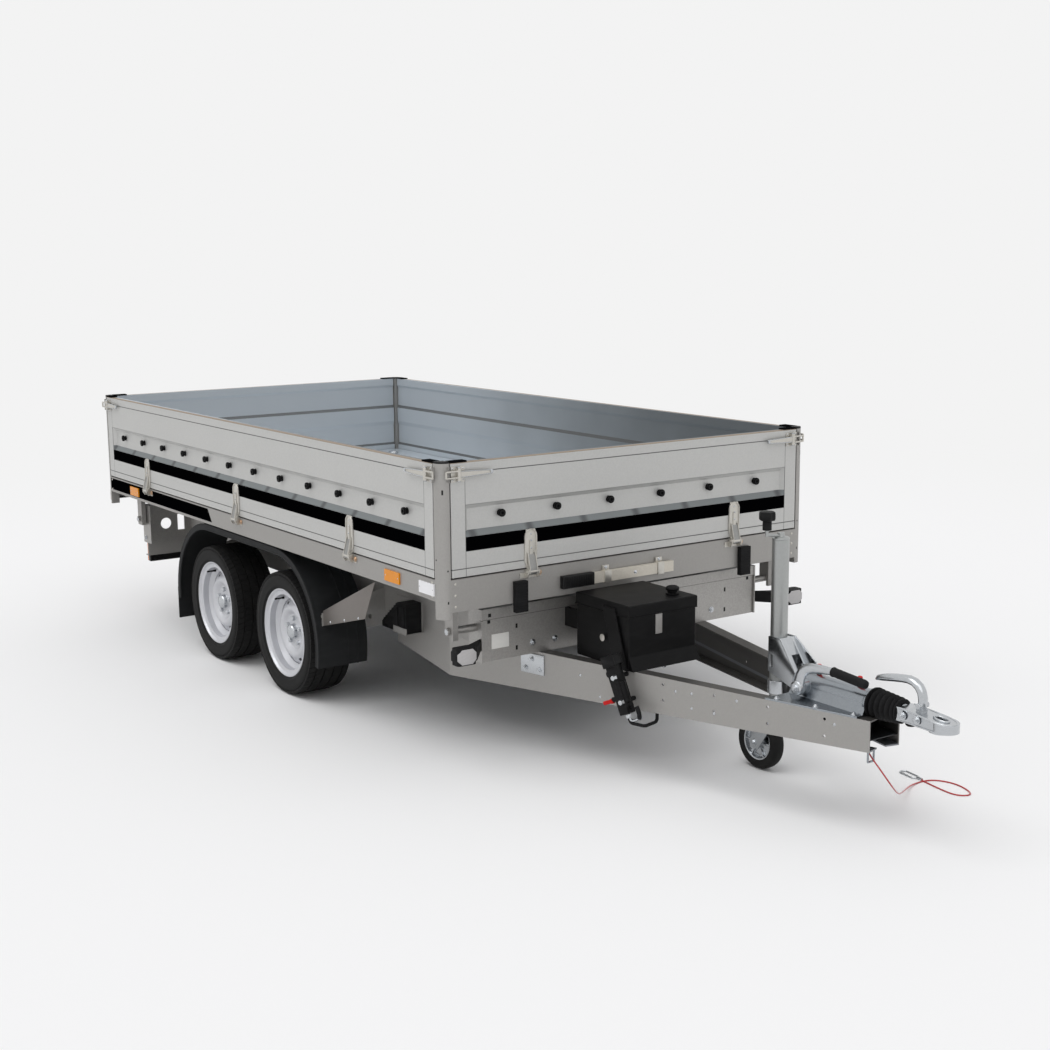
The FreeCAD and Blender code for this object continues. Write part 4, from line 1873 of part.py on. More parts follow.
def build_ram():
    """Telescopic lifting ram: barrel on trunnions, nested stages, ball head."""
    spot = lambda z: vec(0, RAM_Y, z)
    low = RAM_BARREL_BOTTOM
    high = RAM_BARREL_TOP
    barrel = rod(spot(low), spot(high), RAM_BARREL_RADIUS)
    hollow = rod(spot(low + RAM_BARREL_WALL), spot(high), RAM_BARREL_RADIUS - RAM_BARREL_WALL)
    pin = rod(vec(-RAM_TRUNNION_REACH, RAM_Y, RAM_FOOT_Z),
              vec(RAM_TRUNNION_REACH, RAM_Y, RAM_FOOT_Z), RAM_TRUNNION_RADIUS)
    save("ram_barrel", [fuse([barrel, pin]).cut(hollow)])
    base = low + RAM_BARREL_WALL
    for i in range(1, RAM_STAGES + 1):
        base += RAM_FLOOR_LIFT
        top = high + i * RAM_STAGE_RISE
        outer = stage_radius(i)
        if i < RAM_STAGES:
            body = tube(spot(base), spot(top), outer, outer - RAM_STAGE_WALL)
        else:
            body = rod(spot(base), spot(top), outer)
            neck = rod(spot(top), spot(RAM_BALL_Z), RAM_BALL_RADIUS * RAM_NECK_SHARE)
            ball = Part.makeSphere(RAM_BALL_RADIUS, spot(RAM_BALL_Z))
            body = fuse([body, neck, ball])
        save("ram_stage_" + str(i), [body])


def ram_cup():
    """Socket under the bed that the ram's ball head pushes on."""
    top = bearer_bottom()
    low = RAM_BALL_Z + RAM_BALL_RADIUS / 2
    spot = lambda z: vec(0, RAM_Y, z)
    cup = rod(spot(low), spot(top), RAM_CUP_RADIUS)
    cup = cup.cut(Part.makeSphere(RAM_BALL_RADIUS + RAM_CUP_GAP, spot(RAM_BALL_Z)))
    half = BED_BEAM_OUT - BED_BEAM_WIDTH
    beam = block(-half, half, RAM_Y - RAM_CUP_RADIUS, RAM_Y + RAM_CUP_RADIUS,
                 top - RAM_CRADLE_WALL, top)
    return [cup, beam]


def cable_bends(points):
    """Bend radii of a free cord: as large as its two runs allow."""
    radii = []
    for i in range(1, len(points) - 1):
        back = points[i].sub(points[i - 1])
        ahead = points[i + 1].sub(points[i])
        turn = back.getAngle(ahead)
        share = CABLE_BEND_SHARE
        radii.append(share * min(back.Length, ahead.Length) / math.tan(turn / 2))
    return radii


def cable_points():
    """Even runs along a smooth line through the route, kept on the ground."""
    curve = Part.BSplineCurve()
    curve.interpolate([vec(x, y, z) for x, y, z in CABLE_ROUTE])
    floor = CABLE_RADIUS + CABLE_LIFT
    spots = curve.discretize(Number=CABLE_RUNS)
    return [vec(s.x, s.y, max(s.z, floor)) for s in spots]


def build_cable():
    """The red breakaway cable and the snap hook that lies on it."""
    points = cable_points()
    radii = cable_bends(points)
    cord, path = bent_bar(points, radii, CABLE_RADIUS)
    section = math.pi * CABLE_RADIUS ** 2
    print("cable length", round(path.Length, 1), "smallest bend", round(min(radii), 1))
    print("cable volume over section x length", round(cord.Volume / (section * path.Length), 4))
    save("breakaway_cable", [cord])
    end = points[-1]
    way = end.sub(points[-2])
    save("snap_hook", [snap_hook(end, math.degrees(math.atan2(way.y, way.x)))])


def snap_hook(end, angle):
    """Wire hook with a ferrule, drawn along X and turned onto the cable's end."""
    r = HOOK_WIDTH / 2 - HOOK_ROD
    x0 = FERRULE_LENGTH + r
    x1 = FERRULE_LENGTH + HOOK_LENGTH - r - 2 * HOOK_ROD
    z = HOOK_ROD + CABLE_LIFT
    near = Part.makeTorus(r, HOOK_ROD, vec(x0, 0, z), vec(0, 0, 1), -180, 180, 180)
    near.rotate(vec(x0, 0, z), vec(0, 0, 1), 90)
    far = Part.makeTorus(r, HOOK_ROD, vec(x1, 0, z), vec(0, 0, 1), -180, 180, 180)
    far.rotate(vec(x1, 0, z), vec(0, 0, 1), -90)
    sides = [rod(vec(x0, way * r, z), vec(x1, way * r, z), HOOK_ROD) for way in (-1, 1)]
    gate = rod(vec(x0, r, z), vec(x1, r - HOOK_EYE, z), HOOK_ROD * HOOK_GATE_SHARE)
    ferrule = rod(vec(TOUCH_GAP, 0, z + HOOK_ROD), vec(FERRULE_LENGTH, 0, z + HOOK_ROD),
                  FERRULE_RADIUS)
    hook = fuse([near, far, gate, ferrule] + sides)
    hook.rotate(vec(0, 0, 0), vec(0, 0, 1), angle)
    hook.translate(vec(end.x, end.y, 0))
    return hook


def build_all():
    build_boards()
    build_posts()
    build_bed_frame()
    build_floor()
    build_chassis()
    build_drawbar()
    shaft = build_housing()
    build_bellows()
    build_coupling(shaft)
    build_levers()
    build_jack()
    build_pump_box()
    build_hand_pump()
    build_pump_handle()
    build_lamps()
    build_rail_fittings()
    build_wheels()
    save("axle_front", [axle(AXLE_FRONT)])
    save("axle_rear", [axle(AXLE_REAR)])
    build_mudguards()
    build_chocks()
    build_ram()
    build_cable()


def write_all():
    os.makedirs("parts", exist_ok=True)
    for name, solids in NODES.items():
        shape = solids[0] if len(solids) == 1 else Part.makeCompound(solids)
        shape.exportStep(os.path.join("parts", name + ".step"))
    print(len(NODES), "nodes")


build_all()
write_all()
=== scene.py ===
import json
import math

import bmesh
import bpy
from mathutils import Matrix, Vector


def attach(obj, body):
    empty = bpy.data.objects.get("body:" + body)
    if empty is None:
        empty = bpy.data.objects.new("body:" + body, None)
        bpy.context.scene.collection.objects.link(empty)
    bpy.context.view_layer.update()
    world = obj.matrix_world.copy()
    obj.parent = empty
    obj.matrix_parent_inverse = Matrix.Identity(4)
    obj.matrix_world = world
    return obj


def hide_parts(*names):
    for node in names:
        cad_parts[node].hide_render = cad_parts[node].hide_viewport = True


# Looks of the tandem axle tipping trailer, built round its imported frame.
# Pieces are drawn in millimetres from the bed's front face, as in the part's
# source, and become metres in the row frame when they are finished.

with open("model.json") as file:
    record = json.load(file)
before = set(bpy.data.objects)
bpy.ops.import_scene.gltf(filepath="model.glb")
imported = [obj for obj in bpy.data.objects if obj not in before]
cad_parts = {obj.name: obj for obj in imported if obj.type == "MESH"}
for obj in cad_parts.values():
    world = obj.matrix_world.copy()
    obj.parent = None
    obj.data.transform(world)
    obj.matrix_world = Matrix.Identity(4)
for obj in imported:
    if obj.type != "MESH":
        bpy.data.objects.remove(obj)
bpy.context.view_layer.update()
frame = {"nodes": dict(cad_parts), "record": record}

# From the bed's front face to the row frame along Y, the bed's length, half width
# and floor, each axle's Y, and how far out and high the wheels' middles lie.
SHIFT_Y = -869.0
BED_LENGTH = 3230.0
HALF_WIDTH = 858.0
FLOOR_TOP = 727.0
AXLES = {"front": 1349.0, "rear": 2056.0}
WHEEL_OUT = 719.5
WHEEL_Z = 262.5

# Boards: their edges, their half lengths, and each row of knobs as (count, pitch).
# The section's lines are heights over the lower edge; the panel stops short of
# the board's end by END_CAP.
BOARD_LOW = 725.0
BOARD_TOP = 1125.0
BOARD_HALF = {"front": 813.0, "right": 1570.0, "left": 1570.0, "rear": 813.0}
BOARD_SEAMS = (28, 364)
BOARD_FOLDS = (251, 140)
BOARD_STRIPE = (87.5, 138.5)
BOARD_SLOPE = (139, 160)
BOARD_POCKET = (165, 232)
END_CAP = 58.0
END_KNOBS = (6, 241.0)
SIDE_KNOBS = (12, 249.0)

# Drawbar: the nose's Y and its half width there, how much the half width grows for
# each millimetre back, where it stops growing, and the right member's direction.
NOSE_Y = -1240.0
NOSE_HALF = 68.0
MEMBER_SPREAD = 0.256881
MEMBER_FAR_HALF = 516.0
MEMBER_WAY = Vector((-0.9686, -0.2488, 0.0))

# Across the trailer, the lines between a rear lamp's fields.
LAMP_SEAMS = (636.0, 545.0)

HANDS = (-1, 1)
UP = (0, 0, 1)
DOWN = (0, 0, -1)
FORWARD = (0, -1, 0)
BACKWARD = (0, 1, 0)
SIDEWAYS = (1, 0, 0)

nodes = frame["nodes"]
BODY_OF = {}
for body_name, members in frame["record"]["behaviour"]["bodies"].items():
    for member in members:
        BODY_OF[member] = body_name


def linear(*shades):
    """A colour written as 0 to 255 shades, as the shader wants it."""
    found = []
    for shade in shades:
        c = shade / 255
        found.append(c / 12.92 if c <= 0.04045 else ((c + 0.055) / 1.055) ** 2.4)
    return (*found, 1.0)


def scaled(colour, share):
    """A colour made darker or lighter by a share."""
    return (*[min(1.0, c * share) for c in colour[:3]], 1.0)


def is_end(side):
    return side in ("front", "rear")


def knobs_of(side):
    return END_KNOBS if is_end(side) else SIDE_KNOBS


# Finishes

class Value:
    """A shader number; an expression on it adds its Math nodes."""

    def __init__(self, net, socket):
        self.net = net
        self.socket = socket

    def math(self, operation, *terms):
        return self.net.node("ShaderNodeMath", {"operation": operation}, terms)

    def __add__(self, other):
        return self.math("ADD", self, other)

    __radd__ = __add__

    def __sub__(self, other):
        return self.math("SUBTRACT", self, other)

    def __rsub__(self, other):
        return self.math("SUBTRACT", other, self)

    def __mul__(self, other):
        return self.math("MULTIPLY", self, other)

    __rmul__ = __mul__

    def __truediv__(self, other):
        return self.math("DIVIDE", self, other)

    def __gt__(self, other):
        return self.math("GREATER_THAN", self, other)

    def __lt__(self, other):
        return self.math("LESS_THAN", self, other)

    def __abs__(self):
        return self.math("ABSOLUTE", self)

    def smooth(self, low, high):
        """0 below low, 1 above high, eased between them."""
        values = {"Value": self, "From Min": low, "From Max": high}
        return self.net.node("ShaderNodeMapRange", {"interpolation_type": "SMOOTHSTEP"}, values)

    def near(self, middle, half, soft):
        """1 within half of the middle, falling to 0 over soft."""
        return 1 - abs(self - middle).smooth(half, half + soft)

    def within(self, low, high):
        """1 between low and high, with hard edges."""
        return (self > low) * (self < high)

    def most(self, other):
        return self.math("MAXIMUM", self, other)

    def least(self, other):
        return self.math("MINIMUM", self, other)

    def zigzag(self, reach):
        """Rises to the reach and falls back to 0, over and over."""
        return self.math("PINGPONG", self, reach)


def set_stops(elements, stops):
    """Give a colour ramp its (place, shade) stops."""
    while len(elements) < len(stops):
        elements.new(0.5)
    for element, (place, shade) in zip(elements, stops):
        element.position = place
        element.color = (*shade, 1.0)


class Net:
    """The shader nodes of one material or world, all made by one method."""

    def __init__(self, owner):
        owner.use_nodes = True
        self.tree = owner.node_tree
        self.tree.nodes.clear()

    def node(self, kind, settings=None, values=None, out=0):
        """A new node's output, with its settings set first and then its sockets."""
        made = self.tree.nodes.new(kind)
        for key, value in (settings or {}).items():
            if key == "stops":
                set_stops(made.color_ramp.elements, value)
            else:
                setattr(made, key, value)
        pairs = values.items() if isinstance(values, dict) else enumerate(values or ())
        for key, value in pairs:
            self.feed(made.inputs[key], value)
        return Value(self, made.outputs[out]) if made.outputs else None

    def feed(self, socket, value):
        if isinstance(value, Value):
            self.tree.links.new(value.socket, socket)
        else:
            socket.default_value = value

    def background_rays(self):
        """1 on the rays that see the background: the camera's, and those of gloss and glass."""
        camera, glossy, through = [self.node("ShaderNodeLightPath", out="Is " + kind + " Ray")
                                   for kind in ("Camera", "Glossy", "Transmission")]
        return camera.most(glossy).most(through)


class Finish(Net):
    """A surface finish: one Principled shader fed by procedural nodes."""

    def __init__(self, name, **constants):
        self.material = bpy.data.materials.new(name)
        super().__init__(self.material)
        self.surface = self.node("ShaderNodeBsdfPrincipled")
        self.shader = self.surface.socket.node
        self.show(self.surface)
        self.set(**constants)
        self.axes = None
        self.metal = constants.get("Metallic", 0.0)

    def show(self, surface):
        for old in [n for n in self.tree.nodes if n.type == "OUTPUT_MATERIAL"]:
            self.tree.nodes.remove(old)
        self.node("ShaderNodeOutputMaterial", None, {"Surface": surface})

    def place(self, stretch=(1, 1, 1)):
        """Object coordinates, turned so that no face lies along a pattern's lattice."""
        spot = self.node("ShaderNodeTexCoord", out="Object")
        return self.node("ShaderNodeMapping", None,
                         {"Vector": spot, "Scale": stretch, "Rotation": (0.37, 0.61, 0.83)})

    def xyz(self):
        """Place in millimetres from the bed's front face."""
        if self.axes is None:
            spot = self.node("ShaderNodeTexCoord", out="Object")
            split = [self.node("ShaderNodeSeparateXYZ", None, [spot], i) * 1000 for i in range(3)]
            split[1] = split[1] - SHIFT_Y
            self.axes = split
        return self.axes

    def noise(self, scale, detail=3.0, stretch=(1, 1, 1)):
        return self.node("ShaderNodeTexNoise", None,
                         {"Vector": self.place(stretch), "Scale": scale, "Detail": detail})

    def cells(self, scale):
        """A random number for each spangle."""
        colour = self.node("ShaderNodeTexVoronoi", None,
                           {"Vector": self.place(), "Scale": scale}, "Color")
        return self.node("ShaderNodeSeparateColor", None, [colour])

    def mix(self, share, first, second):
        return self.node("ShaderNodeMix", {"data_type": "RGBA"}, {0: share, 6: first, 7: second}, 2)

    def rounded(self, radius):
        return self.node("ShaderNodeBevel", {"samples": 4}, {"Radius": radius / 1000})

    def edges(self, soft):
        """How much the surface bends within the softened edge."""
        flat = self.node("ShaderNodeNewGeometry", out="Normal")
        same = self.node("ShaderNodeVectorMath", {"operation": "DOT_PRODUCT"}, [soft, flat], "Value")
        return (1 - same).smooth(0.01, 0.22)

    def bump(self, height, distance, strength, soft=None):
        values = {"Height": height, "Distance": distance / 1000, "Strength": strength}
        if soft is not None:
            values["Normal"] = soft
        return self.node("ShaderNodeBump", None, values)

    def set(self, **inputs):
        for key, value in inputs.items():
            self.feed(self.shader.inputs[key.replace("_", " ")], value)
        return self

    def colour(self):
        """What feeds the base colour so far."""
        return Value(self, self.shader.inputs["Base Color"].links[0].from_socket)


def zinc_coat(name, colour, metal=0.62, rough=0.46, contrast=0.5, marks=None, edge=0.8, hazy=0.5):
    """Zinc coat: fine spangles, faint clouds and rolling lines, and a painted highlight along the edges."""
    finish = Finish(name, Metallic=metal, Specular_IOR_Level=hazy)
    flakes = finish.cells(240.0)
    clouds = finish.noise(2.2, 4.0)
    lines = finish.noise(520.0, 2.0, (1, 0.06, 1))
    soft = finish.rounded(edge)
    edge_highlight_and_tread_wear = finish.edges(soft)
    dark = scaled(colour, 1 - 0.14 * contrast)
    pale = scaled(colour, 1 + 0.12 * contrast)
    share = flakes * 0.34 + clouds * 0.5 + lines * 0.16
    base = finish.mix(share.smooth(0.18, 0.82), dark, pale)
    # The edges are painted brighter in the base colour: a painted highlight along them.
    base = finish.mix(edge_highlight_and_tread_wear * 0.6, base, scaled(colour, 1.6))
    roughness = rough + flakes * 0.06 * contrast + clouds * 0.1 - edge_highlight_and_tread_wear * 0.1
    if marks is not None:
        base, roughness = marks(finish, base, roughness)
    bumps = finish.bump(flakes * 0.3 + lines * 0.4, 0.03, 0.25, soft)
    return finish.set(Base_Color=base, Roughness=roughness, Normal=bumps, Metallic=finish.metal)


def paint_over(finish, mask, base, roughness, colour, gloss):
    """Lay a decal or a second material over a zinc surface."""
    finish.metal = (1 - mask) * finish.metal
    return finish.mix(mask, base, colour), roughness * (1 - mask) + mask * gloss


def moulded(name, colour, rough=0.5, grain=900.0, metal=0.0, edge=1.0, lift=0.06):
    """Moulded plastic or rubber with a fine grain, scuffs, and a painted highlight along its edges."""
    finish = Finish(name, Metallic=metal, Specular_IOR_Level=0.16)
    fine = finish.noise(grain, 2.0)
    scuffs = finish.noise(14.0, 6.0, (1, 1, 3.0))
    soft = finish.rounded(edge)
    edge_highlight_and_tread_wear = finish.edges(soft)
    pale = tuple(min(1.0, c + lift * (0.25 + c)) for c in colour[:3]) + (1.0,)
    # Scuffs are real wear; the edge term is a painted highlight.
    base = finish.mix(scuffs.smooth(0.4, 0.75) * 0.45 + edge_highlight_and_tread_wear * 0.4, colour, pale)
    roughness = rough + fine * 0.1 + scuffs * 0.12 - edge_highlight_and_tread_wear * 0.08
    return finish.set(Base_Color=base, Roughness=roughness,
                      Normal=finish.bump(fine, 0.12, 0.4, soft))


def lens(name, colour, pitch):
    """Coloured prismatic plastic under a clear gloss."""
    finish = Finish(name, Coat_Weight=0.25, Coat_Roughness=0.08, Specular_IOR_Level=0.2)
    x, y, z = finish.xyz()
    ribs = (z + x * 0.35 + y * 0.35).zigzag(pitch / 2)
    pattern = (ribs + (y + x).zigzag(pitch / 2)) / pitch
    base = finish.mix(pattern, scaled(colour, 0.72), colour)
    return finish.set(Base_Color=base, Roughness=0.12 + pattern * 0.12,
                      Normal=finish.bump(pattern, 0.4, 0.5))


RAIL = linear(164, 162, 159)
BOARD = linear(196, 196, 194)
# Painted-light end of the boards' bluish inner face; towards the front it is painted darker as shade.
INSIDE_LIT = linear(196, 202, 207)
BLACK = linear(15, 15, 16)
DECAL = linear(3, 3, 4)
DECAL_GLOSS = 0.34


def board_marks(side):
    """Stripe, seams, caps and knobs of one board, and its bluish inner face with painted light and shade:
    lighter towards the rear, painted shade on its upward ledges, along the outer fold lines, on the pocket
    slope and under each knob.
    """
    panel_half = BOARD_HALF[side] - END_CAP

    def marks(finish, base, roughness):
        x, y, z = finish.xyz()
        along = x if is_end(side) else y - BED_LENGTH / 2
        depth = {"front": y, "rear": BED_LENGTH - y, "right": x + HALF_WIDTH,
                 "left": HALF_WIDTH - x}[side]
        inner = depth.smooth(17.0, 19.0)
        out = 1 - inner
        on_panel = abs(along) < panel_half

        # The inner face is painted lighter towards the rear and darker towards the front, as painted light
        # and shade, with a cloudy boundary.
        clouds = finish.noise(2.0, 3.0) - 0.5
        painted_rear_light = (y + clouds * 900.0).smooth(500.0, 2900.0)
        base = finish.mix(inner, base, finish.mix(painted_rear_light, linear(118, 122, 124), INSIDE_LIT))
        # Upward-facing inner faces below the top are painted dark: painted shade on the ledges.
        way = finish.node("ShaderNodeNewGeometry", out="Normal")
        up = finish.node("ShaderNodeSeparateXYZ", None, [way], 2)
        ledge_shade = up.smooth(0.12, 0.4) * inner * (z < BOARD_TOP - 6)
        base = finish.mix(ledge_shade * 0.85, base, linear(84, 84, 83))
        roughness = roughness - inner * 0.18
        finish.metal = finish.metal - inner * 0.1

        seam_low, seam_high = [BOARD_LOW + height for height in BOARD_SEAMS]
        band = abs(along).near(panel_half, 0.7, 0.9) * out * (z < seam_high)
        lines = z.near(seam_low, 1.2, 1.2).most(z.near(seam_high, 1.2, 1.2)) * out
        # Seam lines and end bands are dark joints; the fold lines are painted shade in the bends.
        fold_high, fold_low = [z.near(BOARD_LOW + height, 0.8, 1.4) for height in BOARD_FOLDS]
        folds = fold_high.most(fold_low) * out * on_panel * 0.55
        base = finish.mix(band.most(lines).most(folds) * 0.72, base, linear(62, 64, 66))
        rim = z.within(BOARD_TOP - 2.6, BOARD_TOP + 0.02) * out
        base = finish.mix(rim * 0.75, base, linear(142, 121, 96))

        # The downward pocket slope is painted a darker bluish shade, with a painted shadow under each knob.
        slope = z.within(*[BOARD_LOW + height for height in BOARD_SLOPE]) * out * on_panel
        shift = knobs_of(side)[1] / 2
        knob_shadow = shift - (along + shift).zigzag(shift)
        shade = finish.mix(knob_shadow.smooth(2.0, 26.0), linear(66, 70, 74), linear(116, 122, 124))
        base = finish.mix(slope * 0.85, base, shade)

        stripe = z.within(*[BOARD_LOW + height for height in BOARD_STRIPE])
        stripe = stripe * (depth < 2.0) * (depth > -2.0) * (abs(along) < panel_half - 0.5)
        base, roughness = paint_over(finish, stripe, base, roughness, DECAL, DECAL_GLOSS)
        pocket = z.within(*[BOARD_LOW + height for height in BOARD_POCKET]) * (depth < 14.6)
        knobs = pocket * (abs(along) < BOARD_HALF[side] - 90)
        cap = (z > BOARD_TOP + 0.05).most(knobs)
        return paint_over(finish, cap, base, roughness, BLACK, 0.46)

    return marks


def rail_marks(finish, base, roughness):
    """Plain black tapered decal along the rear of the side rails, and a darker hem."""
    x, y, z = finish.xyz()
    start = 1936.0 + (z - 660) * 0.75
    field = z.within(656.0, 713.0) * (y > start) * (abs(x) > HALF_WIDTH - 1.0)
    base, roughness = paint_over(finish, field, base, roughness, DECAL, DECAL_GLOSS)
    hem = z.near(720.0, 1.6, 1.0) * 0.5
    return finish.mix(hem, base, linear(88, 84, 80)), roughness


def post_marks(finish, base, roughness):
    """Slots and small punched holes in the corner posts."""
    x, y, z = finish.xyz()
    wide = abs(x)
    end = abs(y - BED_LENGTH / 2)
    bed_end = BED_LENGTH / 2
    soft = 0.6
    slot = wide.near(843.0, 2.4, soft) * z.near(1026.0, 8.0, soft) * (end > bed_end - 22)
    side = end.near(bed_end - 30.0, 2.2, soft) * z.near(790.0, 2.6, soft) * (wide > 850)
    column = wide.near(829.0, 2.2, soft)
    upper, lower = [column * z.near(height, half, soft) for height, half in ((752.0, 2.6), (640.0, 4.5))]
    low = upper.most(lower) * (end > bed_end - 6)
    return finish.mix(slot.most(side).most(low) * 0.95, base, linear(12, 12, 13)), roughness


def member_marks(finish, base, roughness):
    """Inside the drawbar's channels the sheet is darker and slicker, with a painted bluish highlight along
    the channels' lips.
    """
    x, y, z = finish.xyz()
    outer = ((y - NOSE_Y) * MEMBER_SPREAD + NOSE_HALF).least(MEMBER_FAR_HALF)
    inner = abs(x) < outer - 2.2
    lip_highlight = inner * ((z > 500.0).most(z.near(284.0, 5.5, 0.4)))
    base = finish.mix(inner * 0.9, base, linear(86, 84, 82))
    return finish.mix(lip_highlight * 0.5, base, linear(150, 156, 164)), roughness - inner * 0.16


# Slots in the front cross beam's web: distance from the middle, half width,
# height and half height.
BEAM_SLOTS = ((502.0, 4.0, 500.0, 8.0), (502.0, 4.0, 419.0, 8.0), (622.0, 6.0, 556.0, 6.0),
              (622.0, 6.0, 531.0, 6.0))


def beam_marks(finish, base, roughness):
    """Painted shade along the fold line, and the dark slots, of the front cross beam's web."""
    x, y, z = finish.xyz()
    front = y < 70.0
    # The fold line is painted shade; the slots are dark openings.
    fold_shade = z.near(540.0, 1.0, 1.2) * front
    first, *others = [abs(x).near(out, half_out, 0.7) * z.near(height, half_height, 0.7)
                      for out, half_out, height, half_height in BEAM_SLOTS]
    for slot in others:
        first = first.most(slot)
    return finish.mix((first * front).most(fold_shade * 0.7), base, linear(30, 30, 31)), roughness


def lever_marks(finish, base, roughness):
    """The stored lever is pale bar with a black grip."""
    return paint_over(finish, finish.xyz()[0] < -213.9, base, roughness, BLACK, 0.5)


def reflector_finish():
    """Amber reflectors along the sides, white at the front."""
    finish = lens("amber reflector", linear(242, 150, 0), 4.0)
    at_front = finish.xyz()[1] < 200.0
    return finish.set(Base_Color=finish.mix(at_front, finish.colour(), linear(236, 236, 238)))


def lamp_finish():
    """Rear lamp: amber, red and clear fields in a dark case."""
    finish = lens("rear lamp", linear(176, 22, 18), 6.0)
    x, y = finish.xyz()[:2]
    wide = abs(x)
    outer, inner = LAMP_SEAMS
    base = finish.mix(wide > outer, finish.colour(), linear(232, 128, 20))
    base = finish.mix(wide < inner, base, linear(214, 214, 216))
    seams = wide.near(outer, 1.0, 0.5).most(wide.near(inner, 1.0, 0.5))
    case = (y < 3110.0).most(seams)
    return finish.set(Base_Color=finish.mix(case, base, BLACK))


def tyre_finish():
    """Vulcanised rubber: a fine grain, a little dust, and a painted highlight along the edges."""
    finish = Finish("tyre rubber", Specular_IOR_Level=0.25)
    fine = finish.noise(700.0, 3.0)
    dust = finish.noise(26.0, 5.0)
    soft = finish.rounded(0.9)
    edge_highlight_and_tread_wear = finish.edges(soft)
    # Dust is real; the edge term paints a highlight.
    base = finish.mix(dust.smooth(0.42, 0.8) * 0.5 + edge_highlight_and_tread_wear * 0.3, linear(17, 17, 17), linear(36, 35, 34))
    return finish.set(Base_Color=base, Roughness=0.62 + fine * 0.12 + dust * 0.1,
                      Normal=finish.bump(fine, 0.2, 0.5, soft))


def cable_finish():
    """Glossy red plastic over laid wire, slightly uneven."""
    finish = Finish("red coated wire", Coat_Weight=0.5, Coat_Roughness=0.15)
    ripple = finish.noise(380.0, 1.0)
    base = finish.mix(ripple, linear(150, 22, 26), linear(196, 44, 46))
    return finish.set(Base_Color=base, Roughness=0.3 + ripple * 0.15, Normal=finish.bump(ripple, 0.3, 0.5))


def chrome_finish():
    """Polished steel with faint rings from grinding."""
    finish = Finish("polished ram stages", Metallic=1.0)
    rings = finish.noise(300.0, 2.0, (0.1, 0.1, 1))
    base = finish.mix(rings, linear(196, 198, 202), linear(222, 223, 226))
    return finish.set(Base_Color=base, Roughness=0.1 + rings * 0.1)


FINISH = {
    "rail": zinc_coat("rail zinc", RAIL, contrast=0.3, marks=rail_marks, hazy=0.0),
    "post": zinc_coat("post zinc", RAIL, contrast=0.3, marks=post_marks),
    "frame": zinc_coat("frame zinc", RAIL, contrast=0.4),
    "member": zinc_coat("drawbar zinc", RAIL, contrast=0.25, marks=member_marks),
    "beam": zinc_coat("cross beam zinc", RAIL, metal=0.75, rough=0.36, contrast=0.9, marks=beam_marks),
    "floor": zinc_coat("floor sheet", linear(202, 209, 215), metal=0.5, rough=0.28, contrast=0.3),
    "bright": zinc_coat("bright zinc", linear(190, 193, 196), metal=1.0, rough=0.16, contrast=0.3,
                        edge=1.2),
    "tube": zinc_coat("tube zinc", linear(168, 170, 169), metal=0.9, rough=0.3, contrast=0.3),
    "fitting": zinc_coat("fitting zinc", linear(197, 194, 187), metal=0.8, rough=0.3, contrast=0.4),
    "hook": zinc_coat("hook zinc", linear(150, 150, 148), metal=0.95, rough=0.24, contrast=0.4),
    "lever": zinc_coat("lever bar", linear(212, 206, 194), metal=0.3, rough=0.38, contrast=0.4,
                       marks=lever_marks),
    "housing": zinc_coat("housing zinc", linear(150, 155, 160), metal=1.0, rough=0.18, contrast=0.5,
                         edge=1.5),
    # Shaded sheet: zinc painted dark as shade, for the nose tray between the members.
    "shade": zinc_coat("shaded sheet", linear(66, 68, 70), metal=0.8, rough=0.3),
    # Shaded stay: zinc painted darker as the shade the stay wings sit in.
    "wing": zinc_coat("shaded stay", linear(124, 119, 115), metal=0.6, rough=0.4, contrast=0.4),
    "yellow": zinc_coat("yellow chromate", linear(196, 170, 146), metal=0.9, rough=0.25, contrast=0.5),
    "black": moulded("black moulding", BLACK, 0.42),
    "box": moulded("box moulding", linear(8, 8, 9), 0.38, 500.0, edge=1.5, lift=0.03),
    "guard": moulded("mudguard plastic", linear(33, 34, 35), 0.5, 420.0, lift=0.03),
    "rubber": moulded("rubber", linear(22, 22, 23), 0.55, 700.0, lift=0.04),
    "pump": moulded("pump paint", linear(11, 11, 12), 0.26, 300.0, edge=1.2),
    "red": moulded("red plastic", linear(196, 30, 28), 0.32, 600.0),
    "clear": lens("clear lamp", linear(196, 194, 194), 5.0),
    "wheel": moulded("wheel lacquer", linear(203, 204, 208), 0.3, metal=0.55, lift=0.05),
    "cream": moulded("blank plate", linear(214, 213, 209), 0.4, 900.0),
    "tyre": tyre_finish(),
    "reflector": reflector_finish(),
    "lamp": lamp_finish(),
    "cable": cable_finish(),
    "chrome": chrome_finish(),
    "ram": moulded("ram paint", linear(22, 22, 24), 0.35, 300.0),
}
for board_side in BOARD_HALF:
    FINISH[board_side] = zinc_coat(board_side + " board zinc", BOARD, metal=0.5, rough=0.46,
                                   contrast=0.3, marks=board_marks(board_side), hazy=0.0)

